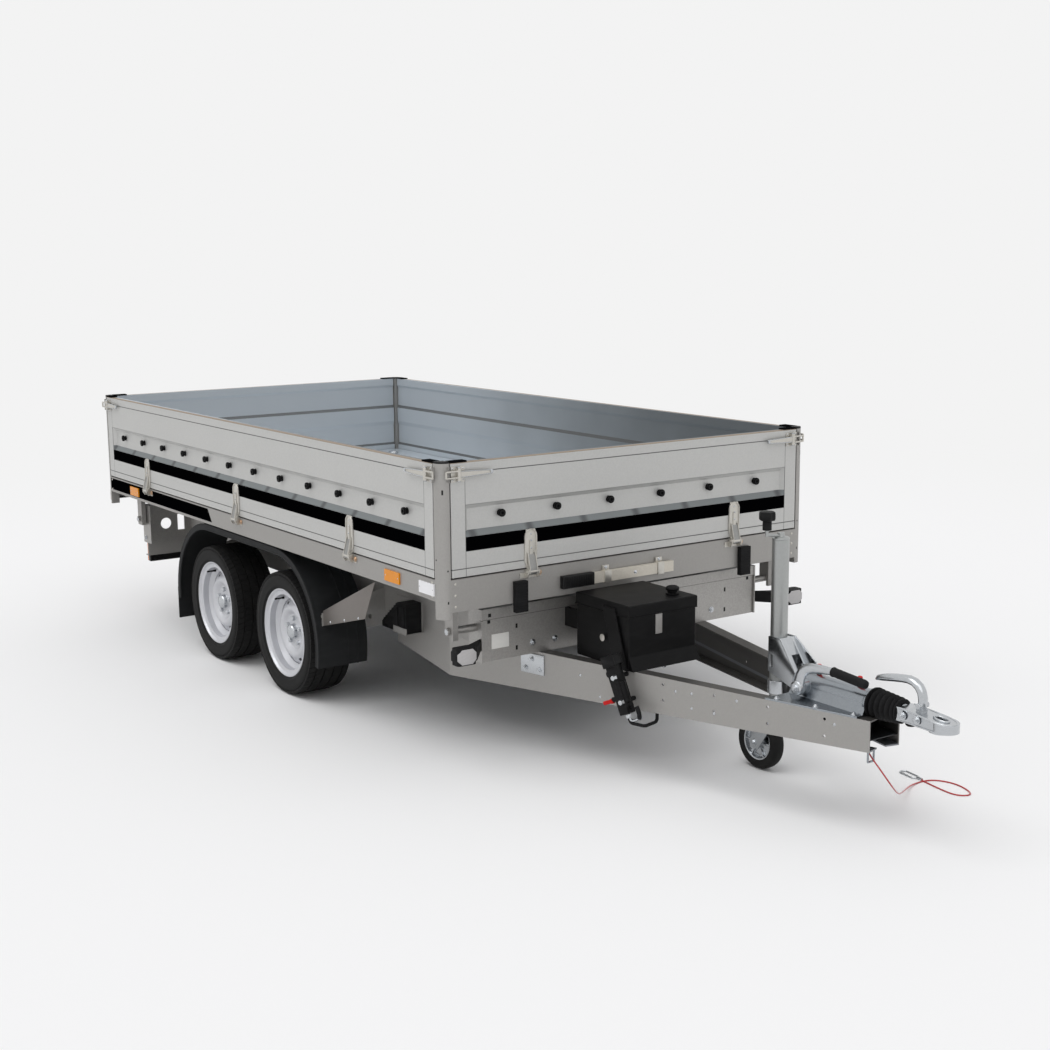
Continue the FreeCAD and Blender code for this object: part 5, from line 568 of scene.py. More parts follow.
NODE_FINISH = {
    "rail": ["bed_frame"],
    "post": ["corner_posts"],
    "frame": ["side_beams", "ram_cross_members", "bed_bearers", "bed_beams",
              "side_brackets", "rear_lamp_bar", "axle_front", "axle_rear"],
    "beam": ["cross_beams"],
    "member": ["drawbar_right", "drawbar_left"],
    "floor": ["bed_floor"],
    "bright": ["coupling_head", "coupling_handle", "jack_clamp", "jack_fork", "snap_hook", "handbrake_lever"],
    "tube": ["jack_tube", "jack_leg"],
    "fitting": ["front_board_fittings", "right_board_fittings", "left_board_fittings",
                "rear_board_fittings", "bed_fittings"],
    "lever": ["pump_lever"],
    "housing": ["overrun_housing"],
    "box": ["pump_box"],
    "pump": ["hand_pump"],
    "black": ["post_caps", "wheel_chocks", "jack_rim"],
    "guard": ["mudguards"],
    "rubber": ["bellows", "pump_hose", "front_lamps", "front_buffers"],
    "tyre": ["jack_tyre"],
    "reflector": ["reflectors"],
    "lamp": ["rear_lamps"],
    "cable": ["breakaway_cable"],
    "ram": ["ram_barrel"],
    "chrome": ["ram_stage_1", "ram_stage_2", "ram_stage_3", "ram_stage_4"],
    "front": ["front_board"],
    "right": ["right_board"],
    "left": ["left_board"],
    "rear": ["rear_board"],
}
for wheel_side in ("right", "left"):
    for axle_name in AXLES:
        wheel = "wheel_" + wheel_side + "_" + axle_name
        NODE_FINISH["tyre"].append(wheel + "_tyre")
        NODE_FINISH.setdefault("wheel", []).append(wheel + "_rim")
for finish_name, members in NODE_FINISH.items():
    for member in members:
        slots = nodes[member].data.materials
        slots.clear()
        slots.append(FINISH[finish_name].material)


# Shapes

def link(name, data):
    """A new object in the scene that holds the data."""
    holder = bpy.data.objects.new(name, data)
    bpy.context.scene.collection.objects.link(holder)
    return holder


def settled(holder):
    """The plain mesh that a helper object comes to; the helper is removed."""
    bpy.context.view_layer.update()
    graph = bpy.context.evaluated_depsgraph_get()
    mesh = bpy.data.meshes.new_from_object(holder.evaluated_get(graph))
    holder.modifiers.clear()
    bpy.data.objects.remove(holder)
    return mesh


def nurbs_line(name, points, radius, resolution, steps, closed=False):
    """A curve with a round section that follows a smooth line."""
    curve = bpy.data.curves.new(name, "CURVE")
    curve.dimensions = "3D"
    curve.bevel_depth = radius
    curve.bevel_resolution = steps
    curve.resolution_u = resolution
    curve.use_fill_caps = not closed
    line = curve.splines.new("NURBS")
    line.points.add(len(points) - 1)
    for point, place in zip(line.points, points):
        point.co = (*place, 1.0)
    line.order_u = 3
    line.use_cyclic_u = closed
    line.use_endpoint_u = not closed
    return curve


def to_row(place):
    """From millimetres behind the bed's front face to metres in the row frame."""
    x, y, z = place
    return (x / 1000, (y + SHIFT_Y) / 1000, z / 1000)


# Facets of rounded edges and of swept bars, the distance under which points are
# merged, and the radius under which a lathe's ring is one point.
EDGE_STEPS = 2
SWEEP_STEPS = 24
MERGE = 0.001
POINT = 1e-6


class Form:
    """Solids of one finish gathered into one piece."""

    def __init__(self, turn=None):
        self.bm = bmesh.new()
        self.turn = turn or Matrix.Identity(4)

    def add(self, part, bevel=0.0):
        """Take in one solid, with its edges rounded, turned to its place."""
        if bevel:
            bmesh.ops.bevel(part, geom=part.edges[:], offset=bevel, segments=EDGE_STEPS, profile=0.5,
                            affect="EDGES", clamp_overlap=True)
        bmesh.ops.transform(part, matrix=self.turn, verts=part.verts[:])
        bmesh.ops.recalc_face_normals(part, faces=part.faces[:])
        mesh = bpy.data.meshes.new("part")
        part.to_mesh(mesh)
        part.free()
        self.bm.from_mesh(mesh)
        bpy.data.meshes.remove(mesh)
        return self

    def take(self, mesh):
        """Merge a plain mesh that was made by a modifier or a curve."""
        part = bmesh.new()
        part.from_mesh(mesh)
        bmesh.ops.remove_doubles(part, verts=part.verts[:], dist=MERGE)
        bpy.data.meshes.remove(mesh)
        return self.add(part)

    def box(self, x0, x1, y0, y1, z0, z1, bevel=0.0):
        part = bmesh.new()
        bmesh.ops.create_cube(part, size=1.0)
        low = (min(x0, x1), min(y0, y1), min(z0, z1))
        high = (max(x0, x1), max(y0, y1), max(z0, z1))
        for v in part.verts:
            v.co = Vector([low[i] if v.co[i] < 0 else high[i] for i in range(3)])
        return self.add(part, bevel)

    def prism(self, points, run, bevel=0.0):
        """A flat outline run straight to its other end."""
        part = bmesh.new()
        run = Vector(run)
        low = [part.verts.new(Vector(p)) for p in points]
        high = [part.verts.new(Vector(p) + run) for p in points]
        part.faces.new(low)
        part.faces.new(high)
        for i in range(len(points)):
            j = (i + 1) % len(points)
            part.faces.new((low[i], low[j], high[j], high[i]))
        return self.add(part, bevel)

    def lathe(self, profile, origin, axis, steps=24, closed=False, lobes=None):
        """Turn (radius, distance) pairs about an axis; lobes is (count, share)."""
        part = bmesh.new()
        swing = Vector(UP).rotation_difference(Vector(axis)).to_matrix().to_4x4()
        spot = Matrix.Translation(Vector(origin)) @ swing
        rings = []
        for radius, height in profile:
            count = 1 if radius < POINT else steps
            ring = []
            for i in range(count):
                angle = 2 * math.pi * i / steps
                r = radius * (1 + lobes[1] * math.cos(lobes[0] * angle)) if lobes else radius
                ring.append(part.verts.new(spot @ Vector((r * math.cos(angle),
                                                          r * math.sin(angle), height))))
            rings.append(ring)
        if closed:
            rings.append(rings[0])
        for a, b in zip(rings, rings[1:]):
            for i in range(steps):
                j = (i + 1) % steps
                if len(a) == 1 and len(b) == 1:
                    break
                if len(a) == 1:
                    part.faces.new((a[0], b[i], b[j]))
                elif len(b) == 1:
                    part.faces.new((a[i], b[0], a[j]))
                else:
                    part.faces.new((a[i], b[i], b[j], a[j]))
        return self.add(part)

    def wire(self, points, radius, steps=4, closed=False):
        """A round bar that follows a smooth line."""
        return self.take(settled(link("wire", nurbs_line("wire", points, radius, 8, steps, closed))))

    def sweep(self, path, sections):
        """Ovals (half across, half deep) lofted along a path in the YZ plane."""
        part = bmesh.new()
        angles = [2 * math.pi * k / SWEEP_STEPS for k in range(SWEEP_STEPS)]
        rings = []
        for i, (place, (wide, deep)) in enumerate(zip(path, sections)):
            before = Vector(path[max(i - 1, 0)])
            after = Vector(path[min(i + 1, len(path) - 1)])
            up = Vector(SIDEWAYS).cross((after - before).normalized())
            rings.append([part.verts.new(Vector(place) + Vector((wide * math.cos(a), 0, 0))
                                         + up * deep * math.sin(a)) for a in angles])
        for a, b in zip(rings, rings[1:]):
            for k in range(SWEEP_STEPS):
                j = (k + 1) % SWEEP_STEPS
                part.faces.new((a[k], a[j], b[j], b[k]))
        part.faces.new(rings[0])
        part.faces.new(rings[-1])
        return self.add(part)

    def piece(self, name, node, finish, sharp=32.0, replaces=()):
        """Finish the gathered solids as an object that rides with a CAD node's body."""
        for v in self.bm.verts:
            v.co = to_row(v.co)
        mesh = bpy.data.meshes.new(name)
        self.bm.to_mesh(mesh)
        self.bm.free()
        for polygon in mesh.polygons:
            polygon.use_smooth = True
        mesh.set_sharp_from_angle(angle=math.radians(sharp))
        mesh.materials.clear()
        mesh.materials.append(FINISH[finish].material)
        made = link(name, mesh)
        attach(made, BODY_OF[node])
        if replaces:
            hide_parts(*replaces)
        return made


def side_turn(side):
    """From (along, inward depth, height) of a board to the bed."""
    angle = {"front": 0, "right": -90, "left": 90, "rear": 180}[side]
    spot = {"front": (0, 0, 0), "right": (-HALF_WIDTH, BED_LENGTH / 2, 0),
            "left": (HALF_WIDTH, BED_LENGTH / 2, 0), "rear": (0, BED_LENGTH, 0)}[side]
    return Matrix.Translation(Vector(spot)) @ Matrix.Rotation(math.radians(angle), 4, "Z")


# Trees that repeat

class Tree:
    """A Geometry Nodes tree with named inputs that ends realised and coated."""

    def __init__(self, name, **inputs):
        self.tree = bpy.data.node_groups.new(name, "GeometryNodeTree")
        face = self.tree.interface
        face.new_socket(name="Geometry", in_out="INPUT", socket_type="NodeSocketGeometry")
        for key, kind in inputs.items():
            face.new_socket(name=key, in_out="INPUT", socket_type="NodeSocket" + kind)
        face.new_socket(name="Finish", in_out="INPUT", socket_type="NodeSocketMaterial")
        face.new_socket(name="Geometry", in_out="OUTPUT", socket_type="NodeSocketGeometry")
        self.given = self.tree.nodes.new("NodeGroupInput")

    def node(self, kind, values=None, **settings):
        made = self.tree.nodes.new(kind)
        for key, value in settings.items():
            setattr(made, key, value)
        for key, value in (values or {}).items():
            if isinstance(value, bpy.types.NodeSocket):
                self.tree.links.new(value, made.inputs[key])
            else:
                made.inputs[key].default_value = value
        return made

    def sum(self, operation, a, b):
        return self.node("ShaderNodeMath", {0: a, 1: b}, operation=operation).outputs[0]

    def end(self, instances):
        real = self.node("GeometryNodeRealizeInstances", {"Geometry": instances})
        coat = self.node("GeometryNodeSetMaterial", {"Geometry": real.outputs[0],
                                                     "Material": self.given.outputs["Finish"]})
        self.node("NodeGroupOutput", {"Geometry": coat.outputs[0]})
        return self.tree


def ring_tree():
    """Copies of a mesh turned about the X axis."""
    tree = Tree("ring of copies", Count="Int")
    count = tree.given.outputs["Count"]
    line = tree.node("GeometryNodeMeshLine", {"Count": count, "Offset": (0, 0, 0)})
    turn = tree.sum("DIVIDE", tree.sum("MULTIPLY", tree.node("GeometryNodeInputIndex").outputs[0],
                                       2 * math.pi), count)
    angles = tree.node("ShaderNodeCombineXYZ", {"X": turn})
    copies = tree.node("GeometryNodeInstanceOnPoints",
                       {"Points": line.outputs[0], "Instance": tree.given.outputs["Geometry"],
                        "Rotation": angles.outputs[0]})
    return tree.end(copies.outputs[0])


def heads_tree(hexagon):
    """Rivet domes, or washers with hexagon heads, on points that face outward."""
    tree = Tree("bolt heads" if hexagon else "rivet heads", Radius="Float", Height="Float")
    radius = tree.given.outputs["Radius"]
    height = tree.given.outputs["Height"]
    if hexagon:
        head = tree.node("GeometryNodeMeshCylinder", {"Vertices": 6, "Radius": radius,
                                                      "Depth": tree.sum("MULTIPLY", height, 2)})
        washer = tree.node("GeometryNodeMeshCylinder",
                           {"Vertices": 20, "Radius": tree.sum("MULTIPLY", radius, 1.42),
                            "Depth": tree.sum("MULTIPLY", height, 0.5)})
        shank = tree.node("GeometryNodeMeshCylinder",
                          {"Vertices": 12, "Radius": tree.sum("MULTIPLY", radius, 0.5),
                           "Depth": tree.sum("MULTIPLY", height, 2.9)})
        shape = tree.node("GeometryNodeJoinGeometry")
        for part in (head, washer, shank):
            tree.tree.links.new(part.outputs[0], shape.inputs[0])
    else:
        ball = tree.node("GeometryNodeMeshUVSphere", {"Segments": 12, "Rings": 8, "Radius": 1.0})
        scale = tree.node("ShaderNodeCombineXYZ", {"X": radius, "Y": radius, "Z": height})
        shape = tree.node("GeometryNodeTransform", {"Geometry": ball.outputs[0],
                                                    "Scale": scale.outputs[0]})
    out = tree.node("GeometryNodeInputNamedAttribute", {"Name": "out"}, data_type="FLOAT_VECTOR")
    turn = tree.node("FunctionNodeAlignRotationToVector", {"Vector": out.outputs[0]}, axis="Z")
    copies = tree.node("GeometryNodeInstanceOnPoints",
                       {"Points": tree.given.outputs["Geometry"], "Instance": shape.outputs[0],
                        "Rotation": turn.outputs[0]})
    return tree.end(copies.outputs[0])


def row_tree():
    """Copies of a mesh in a straight row."""
    tree = Tree("row of copies", Count="Int", Step="Vector")
    line = tree.node("GeometryNodeMeshLine", {"Count": tree.given.outputs["Count"],
                                              "Offset": tree.given.outputs["Step"]})
    copies = tree.node("GeometryNodeInstanceOnPoints",
                       {"Points": line.outputs[0], "Instance": tree.given.outputs["Geometry"]})
    return tree.end(copies.outputs[0])


RING = ring_tree()
ROW = row_tree()
RIVETS = heads_tree(hexagon=False)
BOLTS = heads_tree(hexagon=True)


def grown(mesh, tree, **inputs):
    """The plain mesh that a tree makes from a starting mesh."""
    holder = link("seed", mesh)
    modifier = holder.modifiers.new("copies", "NODES")
    modifier.node_group = tree
    for item in tree.interface.items_tree:
        if item.in_out == "INPUT" and item.name in inputs:
            modifier[item.identifier] = inputs[item.name]
    return settled(holder)


def seed_of(form):
    """The mesh of a form, to start a tree from."""
    mesh = bpy.data.meshes.new("seed")
    form.bm.to_mesh(mesh)
    form.bm.free()
    return mesh


def heads(name, node, finish, spots, radius, height, hexagon=False):
    """Rivet or bolt heads at (place, outward direction) pairs."""
    mesh = bpy.data.meshes.new("spots")
    mesh.from_pydata([Vector(place) for place, way in spots], [], [])
    attribute = mesh.attributes.new("out", "FLOAT_VECTOR", "POINT")
    for i, (place, way) in enumerate(spots):
        attribute.data[i].vector = Vector(way).normalized()
    made = grown(mesh, BOLTS if hexagon else RIVETS, Radius=radius, Height=height,
                 Finish=FINISH[finish].material)
    return Form().take(made).piece(name, node, finish)


def mirrored(places, way):
    """(place, outward direction) pairs on both sides, from places on the left."""
    return [((hand * x, y, z), (hand * way[0], way[1], way[2]))
            for hand in HANDS for x, y, z in places]


# Wheels and tyres

def wheel_turn(side, y):
    """From a wheel's own frame, its axis outward along X, to the trailer."""
    way = -1 if side == "right" else 1
    spot = Matrix.Translation(Vector((way * WHEEL_OUT, y, WHEEL_Z)))
    return spot @ Matrix.Rotation(0 if way > 0 else math.pi, 4, "Z")


def carcass_profile():
    """Tyre section from the outer bead over the tread to the inner bead."""
    outer = [(176, 79), (183, 84), (190, 87.5), (196, 91), (198.5, 94.5), (203, 95), (206, 94.4),
             (222, 97), (235, 96.6), (243, 94.2), (249, 90.5), (253, 85), (255, 76), (255.5, 40),
             (256, 0)]
    inner = [(r, -h) for r, h in reversed(outer[4:-1])]
    bead = [(196, -87), (190, -82), (183, -77), (176, -69.5), (168, -65), (168, 74)]
    return outer + inner + bead


# Tread: its ribs as (low, high, gap, offset in pitches, slant) across and round
# the tyre, the arc's radius, the pitches round it, and the radii of its foot and crown.
TREAD_RIBS = [(-93, -64, 2.6, 0.0, 9.0), (-58, -24, 1.7, 0.5, 4.0), (-18, 18, 1.5, 0.0, 3.0),
              (24, 58, 1.7, 0.5, -4.0), (64, 93, 2.6, 0.0, -9.0)]
TREAD_RADIUS = 260.0
TREAD_PITCHES = 62
TREAD_FOOT = 247
TREAD_CROWN = 262.3
SHOULDER_EDGE = 90
SHOULDER_RADIUS = 256.5


def tread_pitch(form, step):
    """One pitch of tread: three ribs with sipes and a shoulder block each side."""
    for low, high, gap, offset, slant in TREAD_RIBS:
        part = bmesh.new()
        verts = []
        for across, lean in ((low, -slant / 2), (high, slant / 2)):
            edge_highlight_and_tread_wear = TREAD_CROWN - abs(across) * 0.012
            top = SHOULDER_RADIUS if abs(across) > SHOULDER_EDGE else edge_highlight_and_tread_wear
            for arc in (step * offset + gap / 2, step * (offset + 1) - gap / 2):
                angle = (arc + lean) / TREAD_RADIUS
                verts.append([part.verts.new(Vector((across, r * math.cos(angle), r * math.sin(angle))))
                              for r in (TREAD_FOOT, top)])
        a, b, c, d = verts
        for face in ((a[0], b[0], d[0], c[0]), (a[1], c[1], d[1], b[1]), (a[0], a[1], b[1], b[0]),
                     (c[0], d[0], d[1], c[1]), (a[0], c[0], c[1], a[1]), (b[0], b[1], d[1], d[0])):
            part.faces.new(face)
        form.add(part)


def build_tyre(side, name, y):
    """Carcass, tread and the fine nubs on the outer shoulder."""
    pattern = Form()
    tread_pitch(pattern, 2 * math.pi * TREAD_RADIUS / TREAD_PITCHES)
    nub = Form().box(88.0, 95.5, 242.0, 246.5, -1.0, 1.0, 0.5)
    form = Form(wheel_turn(side, y))
    form.lathe(carcass_profile(), (0, 0, 0), SIDEWAYS, 96, closed=True)
    for seed, count in ((pattern, TREAD_PITCHES), (nub, TREAD_PITCHES * 2)):
        form.take(grown(seed_of(seed), RING, Count=count, Finish=FINISH["tyre"].material))
    node = "wheel_" + side + "_" + name + "_tyre"
    form.piece("tyre_" + side + "_" + name, node, "tyre", 40.0, replaces=[node])


def rim_section():
    """Drop centre rim with rolled flanges, as a closed section."""
    return [(187, 77), (188.5, 80), (187, 83), (183, 83), (180, 78), (176, 74), (161, 71),
            (160.5, 44), (141, 27), (140, -14), (159, -36), (160, -70), (178, -75), (182, -80),
            (186, -81), (188, -78), (184, -74), (180, -71), (165, -66), (164, -38), (145, -17),
            (145, 23), (165, 40), (166, 66), (180, 70), (184, 74)]


# Wheel disc: its profile, its facets round, every how many of them a slot starts
# and how many it takes, at the ring of the profile where the slots lie.
DISC_STEPS = 100
DISC_SLOT_RADIUS = 117
DISC_SLOT_PITCH = 10
DISC_SLOT_STEPS = 3

# Bolt circle, the angle of its first bolt, and the valve's place on the rim.
BOLTS_PER_WHEEL = 5
BOLT_CIRCLE = 56.0
BOLT_ANGLE = 0.31
VALVE_CIRCLE = 152
VALVE_ANGLE = 2.1


def disc_mesh():
    """Pressed disc as one sheet with slots left out of it."""
    profile = [(33, 30), (50, 30), (68, 30), (74, 31), (82, 38), (90, 45), (98, 47.5), (106, 46),
               (112, 41), (117, 36.5), (129, 29), (134, 26), (139, 20), (141, 8)]
    part = bmesh.new()
    rings = []
    angles = [2 * math.pi * i / DISC_STEPS for i in range(DISC_STEPS)]
    for radius, height in profile:
        rings.append([part.verts.new(Vector((height, radius * math.cos(a), radius * math.sin(a))))
                      for a in angles])
    for k in range(len(rings) - 1):
        for i in range(DISC_STEPS):
            if profile[k][0] == DISC_SLOT_RADIUS and i % DISC_SLOT_PITCH < DISC_SLOT_STEPS:
                continue
            j = (i + 1) % DISC_STEPS
            part.faces.new((rings[k][i], rings[k][j], rings[k + 1][j], rings[k + 1][i]))
    bmesh.ops.recalc_face_normals(part, faces=part.faces[:])
    mesh = bpy.data.meshes.new("disc")
    part.to_mesh(mesh)
    part.free()
    holder = link("disc", mesh)
    wall = holder.modifiers.new("wall", "SOLIDIFY")
    wall.thickness = 4.5
    wall.offset = 0.0
    return settled(holder)


def build_rim(side, name, y):
    """Rim and disc, the hub with its drum and bolts, and the valve."""
    turn = wheel_turn(side, y) @ Matrix.Translation(Vector((5.5, 0, 0)))
    middle = (0, 0, 0)
    form = Form(turn)
    form.lathe(rim_section(), middle, SIDEWAYS, 72, closed=True)
    form.take(disc_mesh())
    node = "wheel_" + side + "_" + name + "_rim"
    form.piece("rim_" + side + "_" + name, node, "wheel", 30.0, replaces=[node])
    hub = Form(turn)
    hub.lathe([(0, 61), (14, 60.6), (22, 58.5), (28, 54.5), (31, 49), (31.5, 34), (33.5, 33),
               (33.5, 22), (0, 22)], middle, SIDEWAYS, 32)
    hub.lathe([(40, -52), (112, -52), (118, -48), (118, -30), (115, -28), (115, -10), (118, -8),
               (118, 14), (112, 19), (84, 26), (40, 26)], middle, SIDEWAYS, 48, closed=True)
    bolt = Form()
    bolt.lathe([(0, 45), (7.5, 45), (10.2, 43.6), (10.2, 33), (13.5, 31), (13.5, 29), (0, 29)],
               (0, BOLT_CIRCLE * math.cos(BOLT_ANGLE), BOLT_CIRCLE * math.sin(BOLT_ANGLE)), SIDEWAYS, 6)
    hub.take(grown(seed_of(bolt), RING, Count=BOLTS_PER_WHEEL, Finish=FINISH["bright"].material))
    hub.piece("hub_" + side + "_" + name, node, "bright", 30.0)
    valve = Form(turn)
    valve.lathe([(0, 0), (5.5, 0), (5.5, 6), (3.6, 12), (3.6, 34), (4.4, 34), (4.4, 42), (0, 43)],
                (40, VALVE_CIRCLE * math.cos(VALVE_ANGLE), VALVE_CIRCLE * math.sin(VALVE_ANGLE)),
                SIDEWAYS, 12)
    valve.piece("valve_" + side + "_" + name, node, "rubber")


for wheel_side in ("right", "left"):
    for axle_name, axle_y in AXLES.items():
        build_tyre(wheel_side, axle_name, axle_y)
        build_rim(wheel_side, axle_name, axle_y)


# Boards and bed

def knob_form(turn, side):
    """Tarpaulin knobs of one board: waisted stem, rolled head and a dimple."""
    count, pitch = knobs_of(side)
    seed = Form()
    seed.lathe([(0, -0.4), (12.5, -0.4), (12.5, 1.6), (8.6, 3.0), (8.4, 7.6), (11.5, 9.0),
                (14.0, 11.0), (14.4, 14.0), (13.2, 17.0), (10.6, 18.4), (6.0, 18.5), (5.0, 17.2),
                (0, 17.0)], (-(count - 1) * pitch / 2, 15.0, BOARD_LOW + 208), FORWARD, 18)
    form = Form(turn)
    form.take(grown(seed_of(seed), ROW, Count=count, Step=(pitch, 0.0, 0.0),
                    Finish=FINISH["black"].material))
    form.piece(side + "_knobs", side + "_board", "black")


def hinge_spots(side):
    """How far along a board its hinges lie from its middle."""
    if is_end(side):
        return [-484.0, 484.0]
    turn = 1 if side == "left" else -1
    return [turn * (y - BED_LENGTH / 2) for y in (645.0, 1658.0, 2671.0)]


def world_spots(turn, spots):
    """(place, outward direction) pairs of a board turned to the bed."""
    return [(turn @ Vector(place), turn.to_3x3() @ Vector(way)) for place, way in spots]


# Hinge straps: the middle height and radius of the rounded top, and of its plate.
STRAP_ARCH_Z = 838
STRAP_RADIUS = 24.5
STRAP_PLATE_RADIUS = 27


def strap_details(turn, side):
    """Folded hook over each hinge eye, raised border and rivets of the straps."""
    form = Form(turn)
    plates = Form(turn)
    slots = Form(turn)
    spots = []
    bolts = []
    angles = [math.pi * k / 8 for k in range(9)]
    for u in hinge_spots(side):
        form.prism([(u - 16, -4, 778), (u - 16, -9, 770), (u - 16, -21.6, 724), (u - 16, -22.6, 706),
                    (u - 16, -18, 700), (u - 16, -10, 705), (u - 16, -7, 726)], (32, 0, 0), 1.2)
        for edge in (u - 17.5, u + 14.5):
            plates.prism([(edge, -4, 786), (edge, -10, 776), (edge, -23, 724), (edge, -23, 704),
                          (edge, -16, 699), (edge, -8, 704), (edge, -4, 726)], (3.0, 0, 0), 0.6)
        arch, border = [[(u + radius * math.cos(a), depth, STRAP_ARCH_Z + radius * math.sin(a))
                         for a in angles]
                        for radius, depth in ((STRAP_PLATE_RADIUS, -0.2), (STRAP_RADIUS, -4.6))]
        plates.prism(arch + [(u - 27, -0.2, 748), (u - 20, -0.2, 733), (u + 20, -0.2, 733),
                             (u + 27, -0.2, 748)], (0, -3.9, 0), 0.8)
        plates.wire([(u + 19, -4.6, 736), (u + 24.5, -4.6, 750)] + border
                    + [(u - 24.5, -4.6, 750), (u - 19, -4.6, 736)], 2.4, 2)
        for slot in (u - 36, u - 47):
            slots.box(slot, slot + 3.5, -0.8, 0.4, 697, 706, 0.3)
        for depth, z in ((-4.2, 846.0), (-7.2, 823.0), (-7.2, 796.0)):
            spots.append(((u, depth, z), FORWARD))
        bolts.append(((u + 37.5, -2.0, 702.0), FORWARD))
    form.piece(side + "_strap_hooks", side + "_board_fittings", "hook")
    plates.piece(side + "_strap_plates", side + "_board_fittings", "fitting")
    slots.piece(side + "_hinge_slots", "bed_fittings", "black")
    heads(side + "_strap_rivets", side + "_board_fittings", "bright", world_spots(turn, spots), 3.6, 2.0)
    heads(side + "_hinge_bolts", "bed_fittings", "yellow", world_spots(turn, bolts), 7.5, 4.0, hexagon=True)


# Corner latches: the lever's middle height, its length and its pivot's inset
# from the board's end.
LATCH_Z = 1086
LATCH_LENGTH = 136.0
LATCH_INSET = 28.0


def latch_details(turn, side):
    """Pivot pins, pressed lever rim and rivets of the corner latches."""
    half = BOARD_HALF[side]
    knuckle = half - LATCH_INSET
    far = knuckle - LATCH_LENGTH
    form = Form(turn)
    rivets = [(u, -3.0, z) for z in (LATCH_Z - 20.0, LATCH_Z + 20.0) for u in (half - 6.0, half - 50.0)]
    for hand in HANDS:
        if side == "rear":
            for offset in (-25, 22):
                form.lathe([(0, 0), (5, 0), (5, 3), (0, 3)], (hand * knuckle + offset, -11, LATCH_Z),
                           SIDEWAYS, 14)
            continue
        for way in (UP, DOWN):
            form.lathe([(0, 0), (5.5, 0), (6.5, 1), (6.5, 3), (4, 4.4), (0, 4.6)],
                       (hand * knuckle, -11, LATCH_Z + 21.9 * way[2]), way, 16)
            z0 = LATCH_Z + 10.2 * way[2]
            z1 = LATCH_Z + 5.4 * way[2]
            form.wire([(hand * (knuckle - 8), -14.6, z0), (hand * (far + 50), -14.6, (z0 + z1) / 2),
                       (hand * far, -14.6, z1)], 1.6, 2)
        form.box(hand * (far - 0.6), hand * (far + 9), -17.4, -7.6, 1079.6, 1092.4, 1.4)
    form.piece(side + "_latch_pins", side + "_board_fittings", "bright")
    spots = world_spots(turn, mirrored(rivets, FORWARD))
    heads(side + "_latch_rivets", side + "_board_fittings", "bright", spots, 3.4, 2.0)


for board_side in BOARD_HALF:
    board_turn = side_turn(board_side)
    knob_form(board_turn, board_side)
    strap_details(board_turn, board_side)
    latch_details(board_turn, board_side)


# Bearers under the floor: how many lie between the two end ones, how far an end
# one's middle lies from the bed's end, and their pitch.
BEARERS = 7
BEARER_INSET = 70.0
BEARER_PITCH = (BED_LENGTH - 2 * BEARER_INSET) / (BEARERS + 1)


def build_floor_details():
    """Rivets over each bearer and four recessed lashing rings."""
    spots = [((x, BEARER_INSET + BEARER_PITCH * (i + 1), FLOOR_TOP), UP)
             for i in range(BEARERS) for x in (-690, -412, -137, 137, 412, 690)]
    heads("floor_rivets", "bed_floor", "bright", spots, 6.5, 1.8)
    cups = Form()
    rings = Form()
    for x in (-700, 700):
        for y in (212, 3018):
            cups.lathe([(0, 0.4), (34, 0.4), (38, 0.8), (44, 2.2), (50, 1.8), (53, 0.2), (53, -0.6),
                        (0, -0.6)], (x, y, FLOOR_TOP), UP, 32)
            rings.wire([(x + 25 * math.cos(a), y + 25 * math.sin(a), FLOOR_TOP + 5.4)
                        for a in [2 * math.pi * k / 8 for k in range(8)]], 4.2, 3, closed=True)
            rings.box(x - 9, x + 9, y + 20, y + 32, FLOOR_TOP + 0.2, FLOOR_TOP + 11, 2.0)
    cups.piece("lashing_cups", "bed_floor", "floor")
    rings.piece("lashing_rings", "bed_floor", "bright")


def build_rail_details():
    """Ribs on the rubber buffers, and rivets and screws along the rails."""
    ribs = Form()
    seed = Form().box(-24.5, 24.5, -21.2, -19.5, 575.0, 580.0, 0.8)
    row = grown(seed_of(seed), ROW, Count=11, Step=(0.0, 0.0, 10.0), Finish=FINISH["rubber"].material)
    for hand in HANDS:
        ribs.turn = Matrix.Translation(Vector((hand * 534.0, 0, 0)))
        ribs.take(row.copy())
    ribs.piece("buffer_ribs", "front_buffers", "rubber")
    spots = mirrored([(HALF_WIDTH, y, z) for y in (60.0, BED_LENGTH - 60.0) for z in (658.0, 706.0)],
                     SIDEWAYS)
    for y, way in ((0.0, FORWARD), (BED_LENGTH, BACKWARD)):
        spots += mirrored([(800.0, y, z) for z in (622.0, 662.0, 702.0)], way)
    heads("rail_rivets", "bed_frame", "fitting", spots, 5.0, 2.2)
    screws = [(HALF_WIDTH + 6.0, y + dy, 682.0) for y in (331.0, 2856.0, 91.0) for dy in (-44.0, 44.0)]
    heads("reflector_screws", "reflectors", "bright", mirrored(screws, SIDEWAYS), 2.6, 1.0)


build_floor_details()
build_rail_details()


